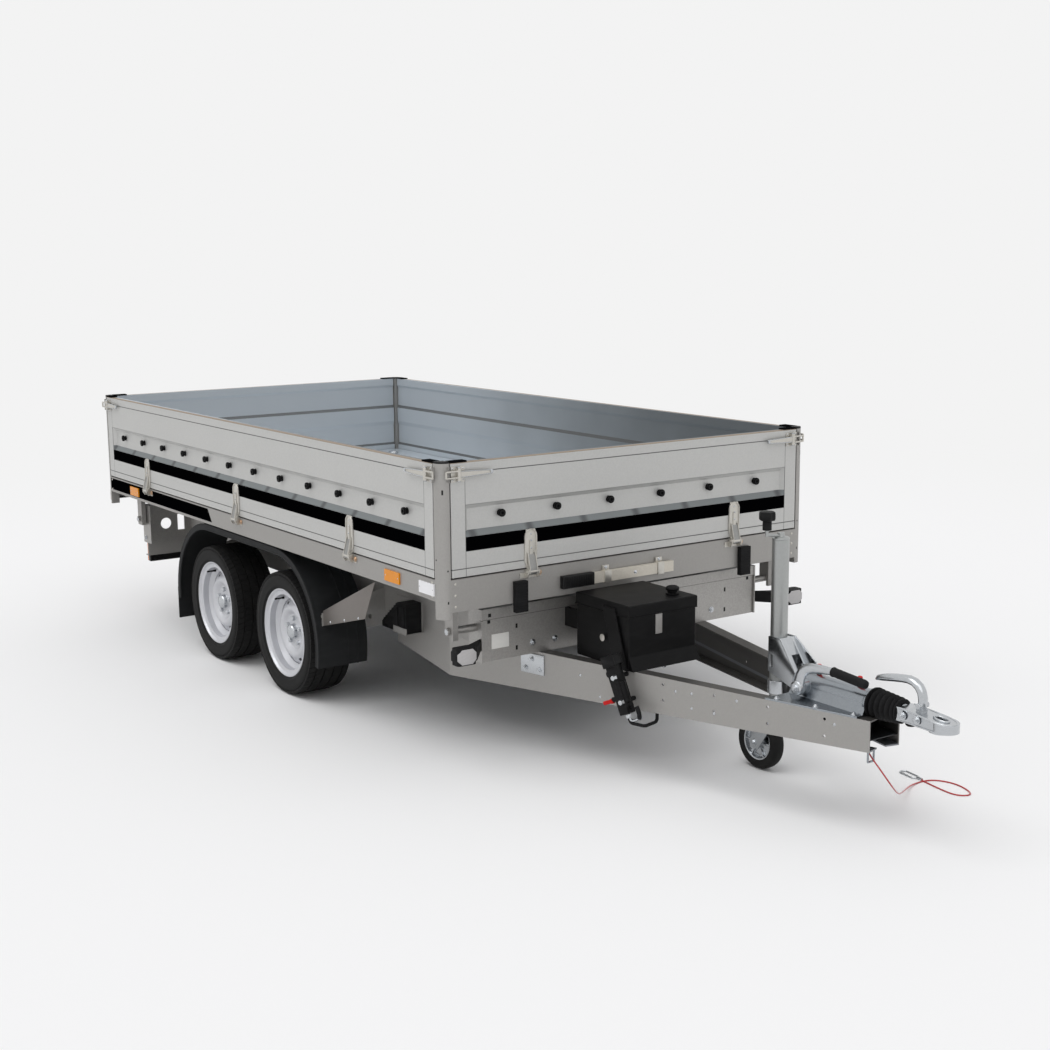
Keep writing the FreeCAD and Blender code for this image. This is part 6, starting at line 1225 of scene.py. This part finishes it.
def build_stored_lever():
    """Moulded black grip, clip tabs and bolts of the stored pump lever."""
    clips = (-150.8, 101.8)
    grip = Form().box(-355.0, -213.4, -22.7, -0.2, 628.4, 675.6, 5.0)
    seed = Form().box(-346.0, -341.0, -24.0, -22.4, 634.0, 670.0, 0.7)
    grip.take(grown(seed_of(seed), ROW, Count=12, Step=(10.5, 0.0, 0.0),
                    Finish=FINISH["black"].material))
    grip.piece("lever_grip", "pump_lever", "black")
    clip = Form()
    for x in clips:
        clip.box(x - 15.4, x + 15.4, -22.6, -18.8, 628.6, 675.4, 1.2)
        clip.box(x - 15.0, x + 15.0, -8.0, -0.1, 675.0, 692.0, 1.4)
    clip.piece("lever_clips", "pump_lever", "fitting")
    spots = [((x, -8.0, 684.0), FORWARD) for x in clips] + [((-20.0, -19.0, 652.0), FORWARD)]
    heads("lever_bolts", "pump_lever", "bright", spots, 5.0, 3.4, hexagon=True)


build_stored_lever()


# Front end and drawbar

def member_half(y):
    """How far a drawbar member's outer face lies from the middle at a given Y."""
    return NOSE_HALF + MEMBER_SPREAD * (y - NOSE_Y)


def on_members(places):
    """(place, outward direction) pairs on both members' outer faces, from (Y, Z)."""
    pairs = []
    for hand in HANDS:
        way = Vector((-hand * MEMBER_WAY.x, MEMBER_WAY.y, 0))
        pairs += [(Vector((hand * member_half(y), y, z)), way) for y, z in places]
    return pairs


def build_chassis_bolts():
    """Bolt heads on the front cross beam, the end plates and both members."""
    plate = 5.0
    bolts = mirrored([(x, 65.0, 428.0) for x in (332.0, 432.0)], FORWARD)
    bolts += mirrored([(740.0, 3050.0, z) for z in (410.0, 560.0)], SIDEWAYS)
    for place, way in on_members([(128.0, 318.0), (62.0, 318.0), (96.0, 356.0)]):
        bolts.append((place + way * plate, way))
    heads("beam_bolts", "cross_beams", "bright", bolts, 8.5, 6.5, hexagon=True)
    rivets = on_members([(-526.0, 348.0), (-590.0, 352.0), (-591.0, 300.0), (-765.0, 360.0),
                         (-122.0, 332.0), (-209.0, 268.0), (-679.0, 300.0), (-1120.0, 352.0)])
    heads("member_rivets", "drawbar_right", "bright", rivets, 5.6, 2.4)
    plates = Form()
    corners = on_members([(148.0, 300.0), (40.0, 300.0), (40.0, 376.0), (148.0, 376.0)])
    for four in (corners[:4], corners[4:]):
        plates.prism([place for place, way in four], four[0][1] * plate, 1.5)
    plates.piece("member_plates", "drawbar_right", "bright")
    # The nose tray is in the dark shaded sheet: its colour is painted shade between the members.
    tray = Form()
    tray.prism([(-64.0, -1232.0, 318.0), (64.0, -1232.0, 318.0), (149.0, -905.0, 318.0),
                (-149.0, -905.0, 318.0)], (0, 0, 3.0), 0.4)
    tray.piece("nose_tray", "drawbar_right", "shade")
    blank = Form().box(-612.0, -537.0, 63.2, 64.9, 429.0, 483.0, 0.5)
    blank.piece("blank_plate", "cross_beams", "cream")


def build_pump_box_details():
    """Filler cap, lid seam, sight slot, catch and arm plug of the pump box."""
    form = Form()
    form.lathe([(0, 0.3), (23, 0.3), (25, 2), (25, 5), (15.6, 7), (15.6, 12), (19, 14), (24, 17),
                (25.5, 22), (23.5, 27), (17, 31), (8, 32.6), (0, 33)], (-56.0, -275.0, 617.0), UP, 28)
    form.box(-308.6, 7.6, -339.6, -28.0, 573.6, 576.4, 1.0)
    form.piece("box_trim", "pump_box", "box")
    slot = Form().box(-184.0, -154.0, -337.4, -334.6, 502.0, 606.0, 1.2)
    slot.piece("sight_slot", "pump_box", "frame")
    catch = Form().box(-171.0, -143.0, -341.0, -334.6, 386.0, 412.0, 1.5)
    catch.wire([(-169.0, -343.0, 404.0), (-169.0, -350.0, 386.0), (-157.0, -353.0, 378.0),
                (-145.0, -350.0, 386.0), (-145.0, -343.0, 404.0)], 2.4, 2)
    catch.piece("box_catch", "pump_box", "bright")
    arm = Form()
    arm.lathe([(0, 0), (13, 0), (13, 1.4), (9, 2.2), (0, 2.2)], (-312.2, -196.0, 480.0), (-1, 0, 0), 20)
    arm.piece("arm_plug", "pump_box", "fitting")


build_chassis_bolts()
build_pump_box_details()


def pump_turn():
    """The hand pump's own frame, its top at the origin, as in the source."""
    angle = math.atan2(448.0, 1744.0)
    y, stand_off = -300.0, 26.0
    spot = Vector((-member_half(y), y, 412.0)) + MEMBER_WAY * stand_off
    return (Matrix.Translation(spot) @ Matrix.Rotation(angle, 4, "Z")
            @ Matrix.Rotation(math.radians(-22.0), 4, "X"))


def build_hand_pump_details():
    """Cylinder, cheeks, red release lever and bright bail on the hand pump."""
    turn = pump_turn()
    axis_x = -21.0
    body = Form(turn)
    for z0, z1 in ((-177.0, -140.0), (-60.0, -8.0)):
        body.box(-43.0, 0.8, -20.0, 20.0, z0, z1, 3.0)
    for x0, x1 in ((-48.0, -38.0), (-4.0, 5.0)):
        body.box(x0, x1, -27.0, 27.0, -6.0, 36.0, 3.0)
    body.lathe([(0, 0), (20, 0), (21.5, 2), (21.5, 70), (20, 72), (0, 72)], (axis_x, -4.0, -136.0),
               UP, 28)
    body.lathe([(0, 0), (12, 0), (12, 14), (8, 16), (0, 16)], (axis_x, 19.0, -28.0), BACKWARD, 18)
    body.lathe([(0, 0), (9, 0), (9, 30), (0, 30)], (axis_x, -30.0, -150.0), BACKWARD, 14)
    body.piece("pump_barrel", "hand_pump", "pump")
    red = Form(turn)
    red.box(-28.0, -14.0, 44.0, 90.0, -128.0, -114.0, 3.0)
    red.lathe([(0, 0), (9, 0), (9, 12), (0, 12)], (axis_x, 44.0, -121.0), BACKWARD, 16)
    red.piece("release_lever", "hand_pump", "red")
    bail = Form(turn)
    bail.wire([(axis_x, y, z) for y, z in ((0.0, -176.0), (0.0, -196.0), (-12.0, -206.0),
                                           (-40.0, -203.0), (-52.0, -188.0), (-46.0, -160.0))], 5.2)
    bail.lathe([(0, 0), (9, 0), (10, 2), (10, 16), (0, 18)], (axis_x, 0.0, -176.0), DOWN, 6)
    for z in (-44.0, -132.0):
        bail.lathe([(0, 0), (11, 0), (11, 5), (9, 8), (9, 14), (0, 15)], (-42.5, -9.5, z), (-1, 0, 0), 6)
    bail.piece("pump_bail", "hand_pump", "bright")
    sleeve = Form(turn)
    sleeve.wire([(axis_x, -42.0, -203.0), (axis_x, -52.0, -190.0), (axis_x, -46.0, -160.0)], 8.0)
    sleeve.piece("bail_sleeve", "hand_pump", "rubber")


build_hand_pump_details()


# Overrun coupling: the shaft's height, and the bellows' folds as how many there
# are, their pitch, the first one's radius and how much each next one loses.
SHAFT_Z = 424.0
FOLDS = 5
FOLD_PITCH = 20
FOLD_RADIUS = 49.5
FOLD_TAPER = 1.7


def build_overrun_details():
    """Bellows with its collar, grease caps and bolts of the overrun housing."""
    form = Form()
    points = [(26, 0), (50, 0), (51, 5)]
    for i in range(FOLDS):
        start = 8 + i * FOLD_PITCH
        size = FOLD_RADIUS - i * FOLD_TAPER
        points += [(size - 12, start), (size - 9, start + 4), (size - 2, start + 7),
                   (size, start + 10), (size - 2, start + 13), (size - 9, start + 16)]
    points += [(34, 107), (39, 109), (39.5, 115), (34, 116.4), (26, 116.4)]
    form.lathe(points, (0, -1195.5, SHAFT_Z), FORWARD, 48, closed=True)
    form.piece("bellows_folds", "bellows", "rubber", 60.0, replaces=["bellows"])
    red = Form()
    for y in (-951.25, -1130.0):
        red.lathe([(0, 0), (8.4, 0), (9.2, 1.5), (9.2, 9), (6.4, 12), (6.4, 18), (9.0, 21), (9.0, 27),
                   (6.5, 30), (0, 30.6)], (0, y, 466.0), UP, 20)
    red.piece("grease_caps", "overrun_housing", "red")
    bolts = [(member_half(y) - 16.0, y, 392.0) for y in (-1172.0, -1040.0, -900.0)]
    heads("housing_bolts", "overrun_housing", "bright", mirrored(bolts, UP), 8.5, 6.5, hexagon=True)
    collar = Form()
    collar.lathe([(40.2, 0), (44, 1), (44.5, 3), (44.5, 12), (43, 14), (40.2, 14)],
                 (0, -1181.0, SHAFT_Z), FORWARD, 40, closed=True)
    collar.piece("housing_collar", "overrun_housing", "housing")


# Coupling head: the ball socket's middle, and the mouth's half width and reach.
SOCKET_Y = -1462.0
MOUTH_HALF = 41.0
MOUTH_REACH = 57.5


def build_coupling_details():
    """Cast handle, mouth flange, head rim, bolts and rubber dock of the coupling."""
    handle = Form()
    path = [(-1386.0, 450.5), (-1388.0, 466.0), (-1388.0, 484.0), (-1383.0, 502.0), (-1372.0, 517.0),
            (-1355.0, 527.0), (-1334.0, 531.0), (-1308.0, 529.0), (-1280.0, 525.0), (-1252.0, 520.0),
            (-1228.0, 515.0), (-1210.0, 510.0), (-1202.0, 504.0)]
    sections = [(14, 12), (16, 13), (17, 13), (17, 13), (17, 13.5), (17, 13.5), (17, 13.5), (17, 13),
                (17, 13), (17, 12.5), (16, 11.5), (13, 9), (8, 5)]
    handle.sweep([(0, y, z) for y, z in path], sections)
    handle.lathe([(0, 0), (9, 0), (9, 44), (0, 44)], (-22.0, -1386.0, 462.0), SIDEWAYS, 20)
    handle.piece("coupling_grip", "coupling_handle", "bright", 50.0, replaces=["coupling_handle"])
    head = Form()
    mouth = [(MOUTH_HALF * math.cos(a), SOCKET_Y + MOUTH_REACH * math.sin(a))
             for a in [math.pi + math.pi * k / 12 for k in range(13)]]
    outline = [(-34.0, -1330.0), (-34.0, -1385.0)] + mouth + [(34.0, -1385.0), (34.0, -1330.0)]
    head.prism([(x, y, 402.0) for x, y in outline], (0, 0, 4.5), 1.6)
    head.wire([(15.0 * math.cos(a), SOCKET_Y + 27.0 * math.sin(a), 436.6 + 2.7 * math.sin(a))
               for a in [2 * math.pi * k / 16 for k in range(16)]], 3.4, 3, closed=True)
    half_rim = [(33.0, -1326.0, 444.5), (33.0, -1388.0, 441.0), (37.5, -1440.0, 435.5),
                (36.0, -1478.0, 431.5), (22.0, -1506.0, 429.0)]
    head.wire([(-x, y, z) for x, y, z in half_rim] + [(0.0, -1516.0, 428.0)] + half_rim[::-1], 3.6, 3)
    head.piece("coupling_flange", "coupling_head", "bright")
    bolts = mirrored([(37.0, y, SHAFT_Z) for y in (-1340.6, -1396.9)], SIDEWAYS)
    heads("coupling_bolts", "coupling_head", "bright", bolts, 10.0, 7.0, hexagon=True)
    dock = Form()
    dock.lathe([(0, 0), (15, 0), (18, 4), (18, 16), (14, 22), (0, 24)], (16.0, -1330.0, 402.0),
               DOWN, 20)
    dock.piece("rubber_dock", "coupling_head", "rubber")


def build_brake_lever_details():
    """Bent blade with its round boss, rubber grip and pivot bolt of the handbrake lever."""
    x = -72.0
    pivot_y = -930.0
    start = Vector((x, -1085.0, 511.0))
    end = Vector((x, -1225.0, 500.0))
    path = [(-928.0, 414.0), (-930.0, 428.0), (-934.0, 448.0), (-940.0, 467.0), (-951.0, 484.0),
            (-968.0, 496.0), (-992.0, 503.0), (-1024.0, 507.0), (-1056.0, 509.5), (-1088.0, 511.0)]
    sections = [(8, 20), (8, 22), (8, 21), (8, 20), (8, 19), (8, 18), (8, 17), (8, 15.5), (8.5, 14),
                (9, 12.5)]
    blade = Form()
    blade.sweep([(x, y, z) for y, z in path], sections)
    blade.lathe([(0, 0), (22, 0), (24, 2), (24, 24), (22, 26), (0, 26)], (x + 13.0, pivot_y, SHAFT_Z),
                (-1, 0, 0), 32)
    blade.piece("brake_blade", "handbrake_lever", "bright", 50.0, replaces=["handbrake_lever"])
    grip = Form()
    grip.lathe([(0, -4), (14.0, -4), (16.2, -2.5), (16.2, 3), (15.0, 5), (15.0, 22), (15.7, 24),
                (15.0, 26), (15.0, 112), (15.7, 114), (15.0, 116), (15.0, 131), (12.8, 138.5),
                (7, 142.5), (0, 143.5)], start, (end - start).normalized(), 28)
    grip.piece("brake_grip", "handbrake_lever", "rubber")
    bolt = ((x - 13.0, pivot_y, SHAFT_Z), (-1, 0, 0))
    heads("lever_pivot_bolt", "handbrake_lever", "bright", [bolt], 12.0, 8.0, hexagon=True)


build_overrun_details()
build_coupling_details()
build_brake_lever_details()


# Jockey wheel: its tube's place, the crank knob's X, the wheel's middle, and the
# clamp bracket's left edge.
JACK_X = 143.0
JACK_Y = -615.0
KNOB_X = 77.0
JACK_WHEEL = (143.0, -535.0, 100.0)
CLAMP_X = 107.0


def build_crank():
    """Lobed knob of the crank, cap and lower ring of the jockey wheel's tube."""
    knob = Form()
    knob.lathe([(0, -0.4), (15.4, -0.4), (16.0, 3), (15.6, 30), (15, 35.8), (0, 35.8)],
               (KNOB_X, JACK_Y, 885.0), UP, 24)
    knob.lathe([(0, 0), (20, 0), (25.4, 2), (27.2, 7), (27.2, 24), (26.0, 30.6), (20, 32.6),
                (0, 33.0)], (KNOB_X, JACK_Y, 917.6), UP, 48, lobes=(6, 0.07))
    knob.piece("crank_knob", "jack_tube", "black")
    cap = Form()
    cap.lathe([(0, 0), (30.6, 0), (31.2, 1), (31.2, 5), (26, 9), (14, 10.5), (12.6, 13),
               (12.6, 22.4), (8, 24.4), (0, 24.8)], (JACK_X, JACK_Y, 846.0), UP, 32)
    cap.lathe([(30.1, 0), (32.4, 0.6), (32.4, 8.0), (30.1, 8.6)], (JACK_X, JACK_Y, 262.0), UP, 32,
              closed=True)
    cap.piece("jack_cap", "jack_tube", "tube")


def build_clamp():
    """Folded clamp bracket: side cheek, top, sloping front with a window, foot and pin."""
    clamp = Form()
    cheek = [(-600.0, 380.0), (-600.0, 504.0), (-657.0, 504.0), (-770.0, 346.0), (-770.0, 326.0)]
    clamp.prism([(CLAMP_X, y, z) for y, z in cheek], (4.0, 0, 0), 0.8)
    top = [(-600.0, 500.0), (-648.0, 500.0), (-657.0, 504.0), (-600.0, 504.0)]
    clamp.prism([(CLAMP_X, y, z) for y, z in top], (74.0, 0, 0), 0.6)
    rise = Vector((0, -113.0, -157.0))
    lift = Vector((0, -3.2, 2.4))
    for x0, x1, a, b in ((CLAMP_X, 126.0, 0.0, 1.0), (162.0, 182.0, 0.0, 1.0),
                         (126.0, 162.0, 0.0, 0.34), (126.0, 162.0, 0.74, 1.0)):
        high, low = [Vector((x0, -655.0, 503.0)) + rise * share for share in (a, b)]
        clamp.prism([high, low, low + lift, high + lift], (x1 - x0, 0, 0), 0.5)
    clamp.box(CLAMP_X, 182.0, -774.0, -769.0, 312.0, 348.0, 1.0)
    clamp.lathe([(0, 0), (7, 0), (7, 46), (0, 46)], (180.0, JACK_Y, 322.0), SIDEWAYS, 16)
    clamp.piece("clamp_plate", "jack_clamp", "bright")
    spots = [((176.0, y, z), SIDEWAYS) for y, z in ((-640.0, 486.0), (-700.0, 410.0))]
    heads("clamp_bolts", "jack_clamp", "bright", spots, 7.0, 5.0, hexagon=True)


def build_jack_wheel():
    """Round tyre, ribbed rim and axle nuts of the jockey wheel."""
    tyre = Form()
    tyre.lathe([(66, 20), (72, 23), (84, 25), (92, 23), (97, 18), (99.6, 10), (100, 0), (99.6, -10),
                (97, -18), (92, -23), (84, -25), (72, -23), (66, -20)], JACK_WHEEL, SIDEWAYS, 56,
               closed=True)
    tyre.piece("jack_tyre_round", "jack_tyre", "tyre", 50.0, replaces=["jack_tyre"])
    rim = Form(Matrix.Translation(Vector(JACK_WHEEL)))
    rim.lathe([(8.1, -25), (17, -25), (20, -22), (21, -8), (56, -6), (60, -12), (61, -20), (66, -21),
               (66, 21), (61, 20), (60, 12), (56, 6), (21, 8), (20, 22), (17, 25), (8.1, 25)],
              (0, 0, 0), SIDEWAYS, 48, closed=True)
    rib = Form().box(-17.0, 17.0, 19.0, 62.0, -2.4, 2.4, 1.0)
    rim.take(grown(seed_of(rib), RING, Count=6, Finish=FINISH["black"].material))
    rim.piece("jack_rim_ribs", "jack_rim", "bright", replaces=["jack_rim"])
    x, y, z = JACK_WHEEL
    ends = [((x + hand * 36.0, y, z), (hand, 0, 0)) for hand in HANDS]
    heads("jack_axle_nuts", "jack_fork", "bright", ends, 9.0, 7.0, hexagon=True)


build_crank()
build_clamp()
build_jack_wheel()


# Lamps, guards, chocks

def octagon(x0, x1, z0, z1, cut, y):
    """Upright plate outline with cut corners, in a plane across the trailer."""
    side = cut if x1 > x0 else -cut
    return [(x0 + side, y, z0), (x1 - side, y, z0), (x1, y, z0 + cut), (x1, y, z1 - cut),
            (x1 - side, y, z1), (x0 + side, y, z1), (x0, y, z1 - cut), (x0, y, z0 + cut)]


def build_lamp_details():
    """Clear front lenses with dark cases, the rear lamps' cases and the plate's board."""
    glass = Form()
    case = Form()
    bezel = Form()
    seams = Form()
    for hand in HANDS:
        glass.prism(octagon(hand * 821.5, hand * 746.5, 423.5, 478.5, 15.0, -28.0), (0, -17.6, 0), 2.0)
        case.prism(octagon(hand * 823.6, hand * 744.4, 420.4, 481.6, 15.0, 1.6), (0, -32.0, 0), 1.5)
        bezel.box(hand * 711.0, hand * 489.0, 3080.5, 3096.0, 277.0, 383.0, 3.0)
        for x in LAMP_SEAMS:
            seams.box(hand * (x - 1.4), hand * (x + 1.4), 3120.0, 3130.4, 284.0, 376.0, 0.6)
    glass.piece("front_lenses", "front_lamps", "clear")
    case.piece("front_lamp_cases", "front_lamps", "rubber")
    bezel.piece("rear_lamp_cases", "rear_lamps", "black")
    seams.piece("rear_lamp_seams", "rear_lamps", "black")
    board = Form().box(-256.0, 256.0, 3084.2, 3086.6, 278.0, 382.0, 1.0)
    board.piece("number_plate_board", "rear_lamp_bar", "black")


# Mudguards: the angles, in degrees, at which the front arc starts and the rear one
# ends, and the facets of each arc and of the straight top between the axles.
GUARD_FRONT_ANGLE = 192.0
GUARD_REAR_ANGLE = -6.0
GUARD_ARC_STEPS = 12
GUARD_TOP_STEPS = 5


def guard_path(radius, x):
    """Side line of the mudguard's edge at one radius, over both wheels."""
    front, rear = AXLES.values()

    def arc(centre, first, last):
        angles = [math.radians(first + (last - first) * k / GUARD_ARC_STEPS)
                  for k in range(GUARD_ARC_STEPS + 1)]
        return [(x, centre + radius * math.cos(a), WHEEL_Z + radius * math.sin(a)) for a in angles]

    top = [(x, front + (rear - front) * k / GUARD_TOP_STEPS, WHEEL_Z + radius)
           for k in range(1, GUARD_TOP_STEPS)]
    return arc(front, GUARD_FRONT_ANGLE, 90.0) + top + arc(rear, 90.0, GUARD_REAR_ANGLE)


def build_guard_details():
    """Rolled lips and flap screws of the mudguards, and the stays' sheets and strips."""
    lips = Form()
    stay = Form()
    sheet = Form()
    outline = ((996.0, 422.0), (567.0, 614.0), (651.0, 455.0), (996.0, 360.0))
    for hand in HANDS:
        for radius, x, thick, steps in ((342.0, 832.0, 4.6, 3), (364.0, 832.5, 3.4, 2),
                                        (366.0, 700.0, 3.0, 2), (366.0, 655.0, 3.0, 2)):
            lips.wire(guard_path(radius, hand * x), thick, steps)
        stay.box(hand * 600.0, hand * 806.0, 1007.6, 1010.0, 376.0, 402.0, 1.0)
        sheet.prism([(hand * 800.0, y, z) for y, z in outline], (hand * 3.0, 0, 0), 0.8)
    lips.piece("guard_lips", "mudguards", "guard")
    screws = mirrored([(x, 2428.0, 250.0) for x in (800.0, 725.0, 650.0)], BACKWARD)
    heads("flap_screws", "mudguards", "bright", screws, 6.0, 3.0)
    # The stay wings' darker colour is painted shade.
    sheet.piece("stay_wings", "side_brackets", "wing")
    rivets = [(803.0, y, z) for y, z in ((936.0, 387.0), (817.0, 418.0), (703.0, 448.0))]
    heads("stay_wing_rivets", "side_brackets", "bright", mirrored(rivets, SIDEWAYS), 5.5, 2.6)
    stay.piece("stay_strips", "side_brackets", "fitting")
    rivets = [(x, 1007.4, 389.0) for x in (640.0, 700.0, 760.0)]
    heads("stay_rivets", "side_brackets", "bright", mirrored(rivets, FORWARD), 5.0, 2.4)


# Wheel chocks: where they start and their length, the ends of the toothed slope,
# and the number of teeth on it.
CHOCK_START = 700.0
CHOCK_LENGTH = 190.0
CHOCK_LOW = Vector((0, CHOCK_START + CHOCK_LENGTH, 374.0))
CHOCK_HIGH = Vector((0, CHOCK_START + CHOCK_LENGTH / 3, 472.0))
CHOCK_TEETH = 7


def build_chock_details():
    """Grip teeth on the chocks' slopes and ribs on their sides."""
    teeth = Form()
    run = CHOCK_HIGH - CHOCK_LOW
    web = [(764.0, 366.0), (866.0, 366.0), (866.0, 376.0), (770.0, 452.0), (764.0, 452.0)]
    for hand in HANDS:
        for k in range(CHOCK_TEETH):
            spot = CHOCK_LOW + run * ((k + 0.7) / (CHOCK_TEETH + 0.6))
            teeth.prism([(hand * 526.0, spot.y + dy, spot.z + dz) for dy, dz in ((-6, 1), (7, -6), (6, 4))],
                        (hand * 64.0, 0, 0))
        teeth.box(hand * 593.0, hand * 595.4, 712.0, 752.0, 366.0, 458.0, 1.0)
        teeth.prism([(hand * 593.0, y, z) for y, z in web], (hand * 2.4, 0, 0), 0.8)
    teeth.piece("chock_teeth", "wheel_chocks", "black")


def build_pivot_caps():
    """Pin heads on the four tipping pivots."""
    spots = mirrored([(779.0, y, 510.0) for y in (100.0, 3050.0)], SIDEWAYS)
    heads("pivot_caps", "cross_beams", "bright", spots, 12.0, 5.0)


build_lamp_details()
build_guard_details()
build_chock_details()
build_pivot_caps()


# Breakaway cord

CORD_ROUTE = [
    (0.0, -1120.0, 378.0), (-6.0, -1148.0, 330.0), (-24.0, -1184.0, 284.0), (-40.0, -1222.0, 262.0),
    (-40.0, -1266.0, 228.0), (-6.0, -1282.0, 174.0), (90.0, -1222.0, 112.0), (215.0, -1128.0, 60.0),
    (335.0, -1038.0, 20.0), (440.0, -980.0, 2.6), (530.0, -985.0, 2.6), (566.0, -1070.0, 2.6),
    (525.0, -1178.0, 2.6), (468.0, -1150.0, 2.6), (476.0, -1060.0, 2.6), (494.0, -975.0, 2.6),
]


def build_cord():
    """The breakaway cable, from its bracket at the nose to its hook on the ground."""
    route = [to_row(place) for place in CORD_ROUTE]
    curve = nurbs_line("breakaway_cord", route, 0.0025, 12, 4)
    curve.materials.append(FINISH["cable"].material)
    cord = link("breakaway_cord", curve)
    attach(cord, BODY_OF["breakaway_cable"])
    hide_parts("breakaway_cable")


build_cord()


# Floor, light, view

BACKDROP = (0.896, 0.896, 0.896, 1.0)
SKY_STRENGTH = 0.62
SKY_STOPS = ((0.0, (0.72, 0.72, 0.725)), (0.22, (0.64, 0.64, 0.65)), (0.5, (1.03, 1.03, 1.04)),
             (1.0, (1.27, 1.27, 1.29)))
FLOOR_REACH = 60

# The camera that was solved from the photograph: its place, its turns about Z, X
# and its own axis in degrees, and its focal length in pixels of the photograph.
CAMERA_PLACE = (-3.5891, -5.3217, 1.8425)
CAMERA_TURNS = ((-34.70, "Z"), (79.914, "X"), (-0.523, "Z"))
FOCAL_PIXELS = 1555.1
PHOTO_WIDTH = 1050
SENSOR_WIDTH = 36.0


def build_floor():
    """Pale floor that fades into the backdrop away from the object."""
    mesh = bpy.data.meshes.new("studio_floor")
    corners = [(x * FLOOR_REACH, y * FLOOR_REACH, 0) for x, y in ((-1, -1), (1, -1), (1, 1), (-1, 1))]
    mesh.from_pydata(corners, [], [(0, 1, 2, 3)])
    finish = Finish("studio floor", Roughness=0.9, Base_Color=(0.9, 0.9, 0.9, 1.0))
    spot = finish.node("ShaderNodeTexCoord", out="Object")
    reach = finish.node("ShaderNodeVectorMath", {"operation": "LENGTH"}, [spot], "Value")
    faded = reach.smooth(3.0, 8.5) * finish.background_rays()
    glow = finish.node("ShaderNodeEmission", None, {"Color": BACKDROP})
    finish.show(finish.node("ShaderNodeMixShader", None, {0: faded, 1: finish.surface, 2: glow}))
    mesh.materials.append(finish.material)
    link("studio_floor", mesh)


def build_world():
    """Soft light by direction on the object, and an even backdrop behind it."""
    world = bpy.data.worlds.new("studio")
    bpy.context.scene.world = world
    net = Net(world)
    way = net.node("ShaderNodeTexCoord", out="Generated")
    height = net.node("ShaderNodeSeparateXYZ", None, [way], "Z")
    sky = net.node("ShaderNodeValToRGB", {"stops": SKY_STOPS}, [height])
    light = net.node("ShaderNodeBackground", None, {"Color": sky, "Strength": SKY_STRENGTH})
    back = net.node("ShaderNodeBackground", None, {"Color": BACKDROP})
    both = net.node("ShaderNodeMixShader", None, {0: net.background_rays(), 1: light, 2: back})
    net.node("ShaderNodeOutputWorld", None, {"Surface": both})


def build_light(name, way, spread, power):
    """A soft sun lamp that shines along a direction."""
    lamp = bpy.data.lights.new(name, "SUN")
    lamp.angle = math.radians(spread)
    lamp.energy = power
    holder = link(name, lamp)
    holder.rotation_mode = "QUATERNION"
    holder.rotation_quaternion = Vector(way).to_track_quat("-Z", "Y")


def build_camera():
    """The photograph's view."""
    data = bpy.data.cameras.new("view")
    data.sensor_width = SENSOR_WIDTH
    data.lens = FOCAL_PIXELS / PHOTO_WIDTH * SENSOR_WIDTH
    data.clip_end = 200.0
    camera = link("view", data)
    camera.matrix_world = Matrix.Translation(Vector(CAMERA_PLACE))
    for angle, axis in CAMERA_TURNS:
        camera.matrix_world = camera.matrix_world @ Matrix.Rotation(math.radians(angle), 4, axis)
    bpy.context.scene.camera = camera


build_floor()
build_world()
build_light("key", (0.55, -0.1, -1.0), 42.0, 0.85)
build_light("front", (0.3, 0.75, -1.0), 50.0, 0.45)
build_camera()
bpy.context.scene.view_settings.view_transform = "Standard"
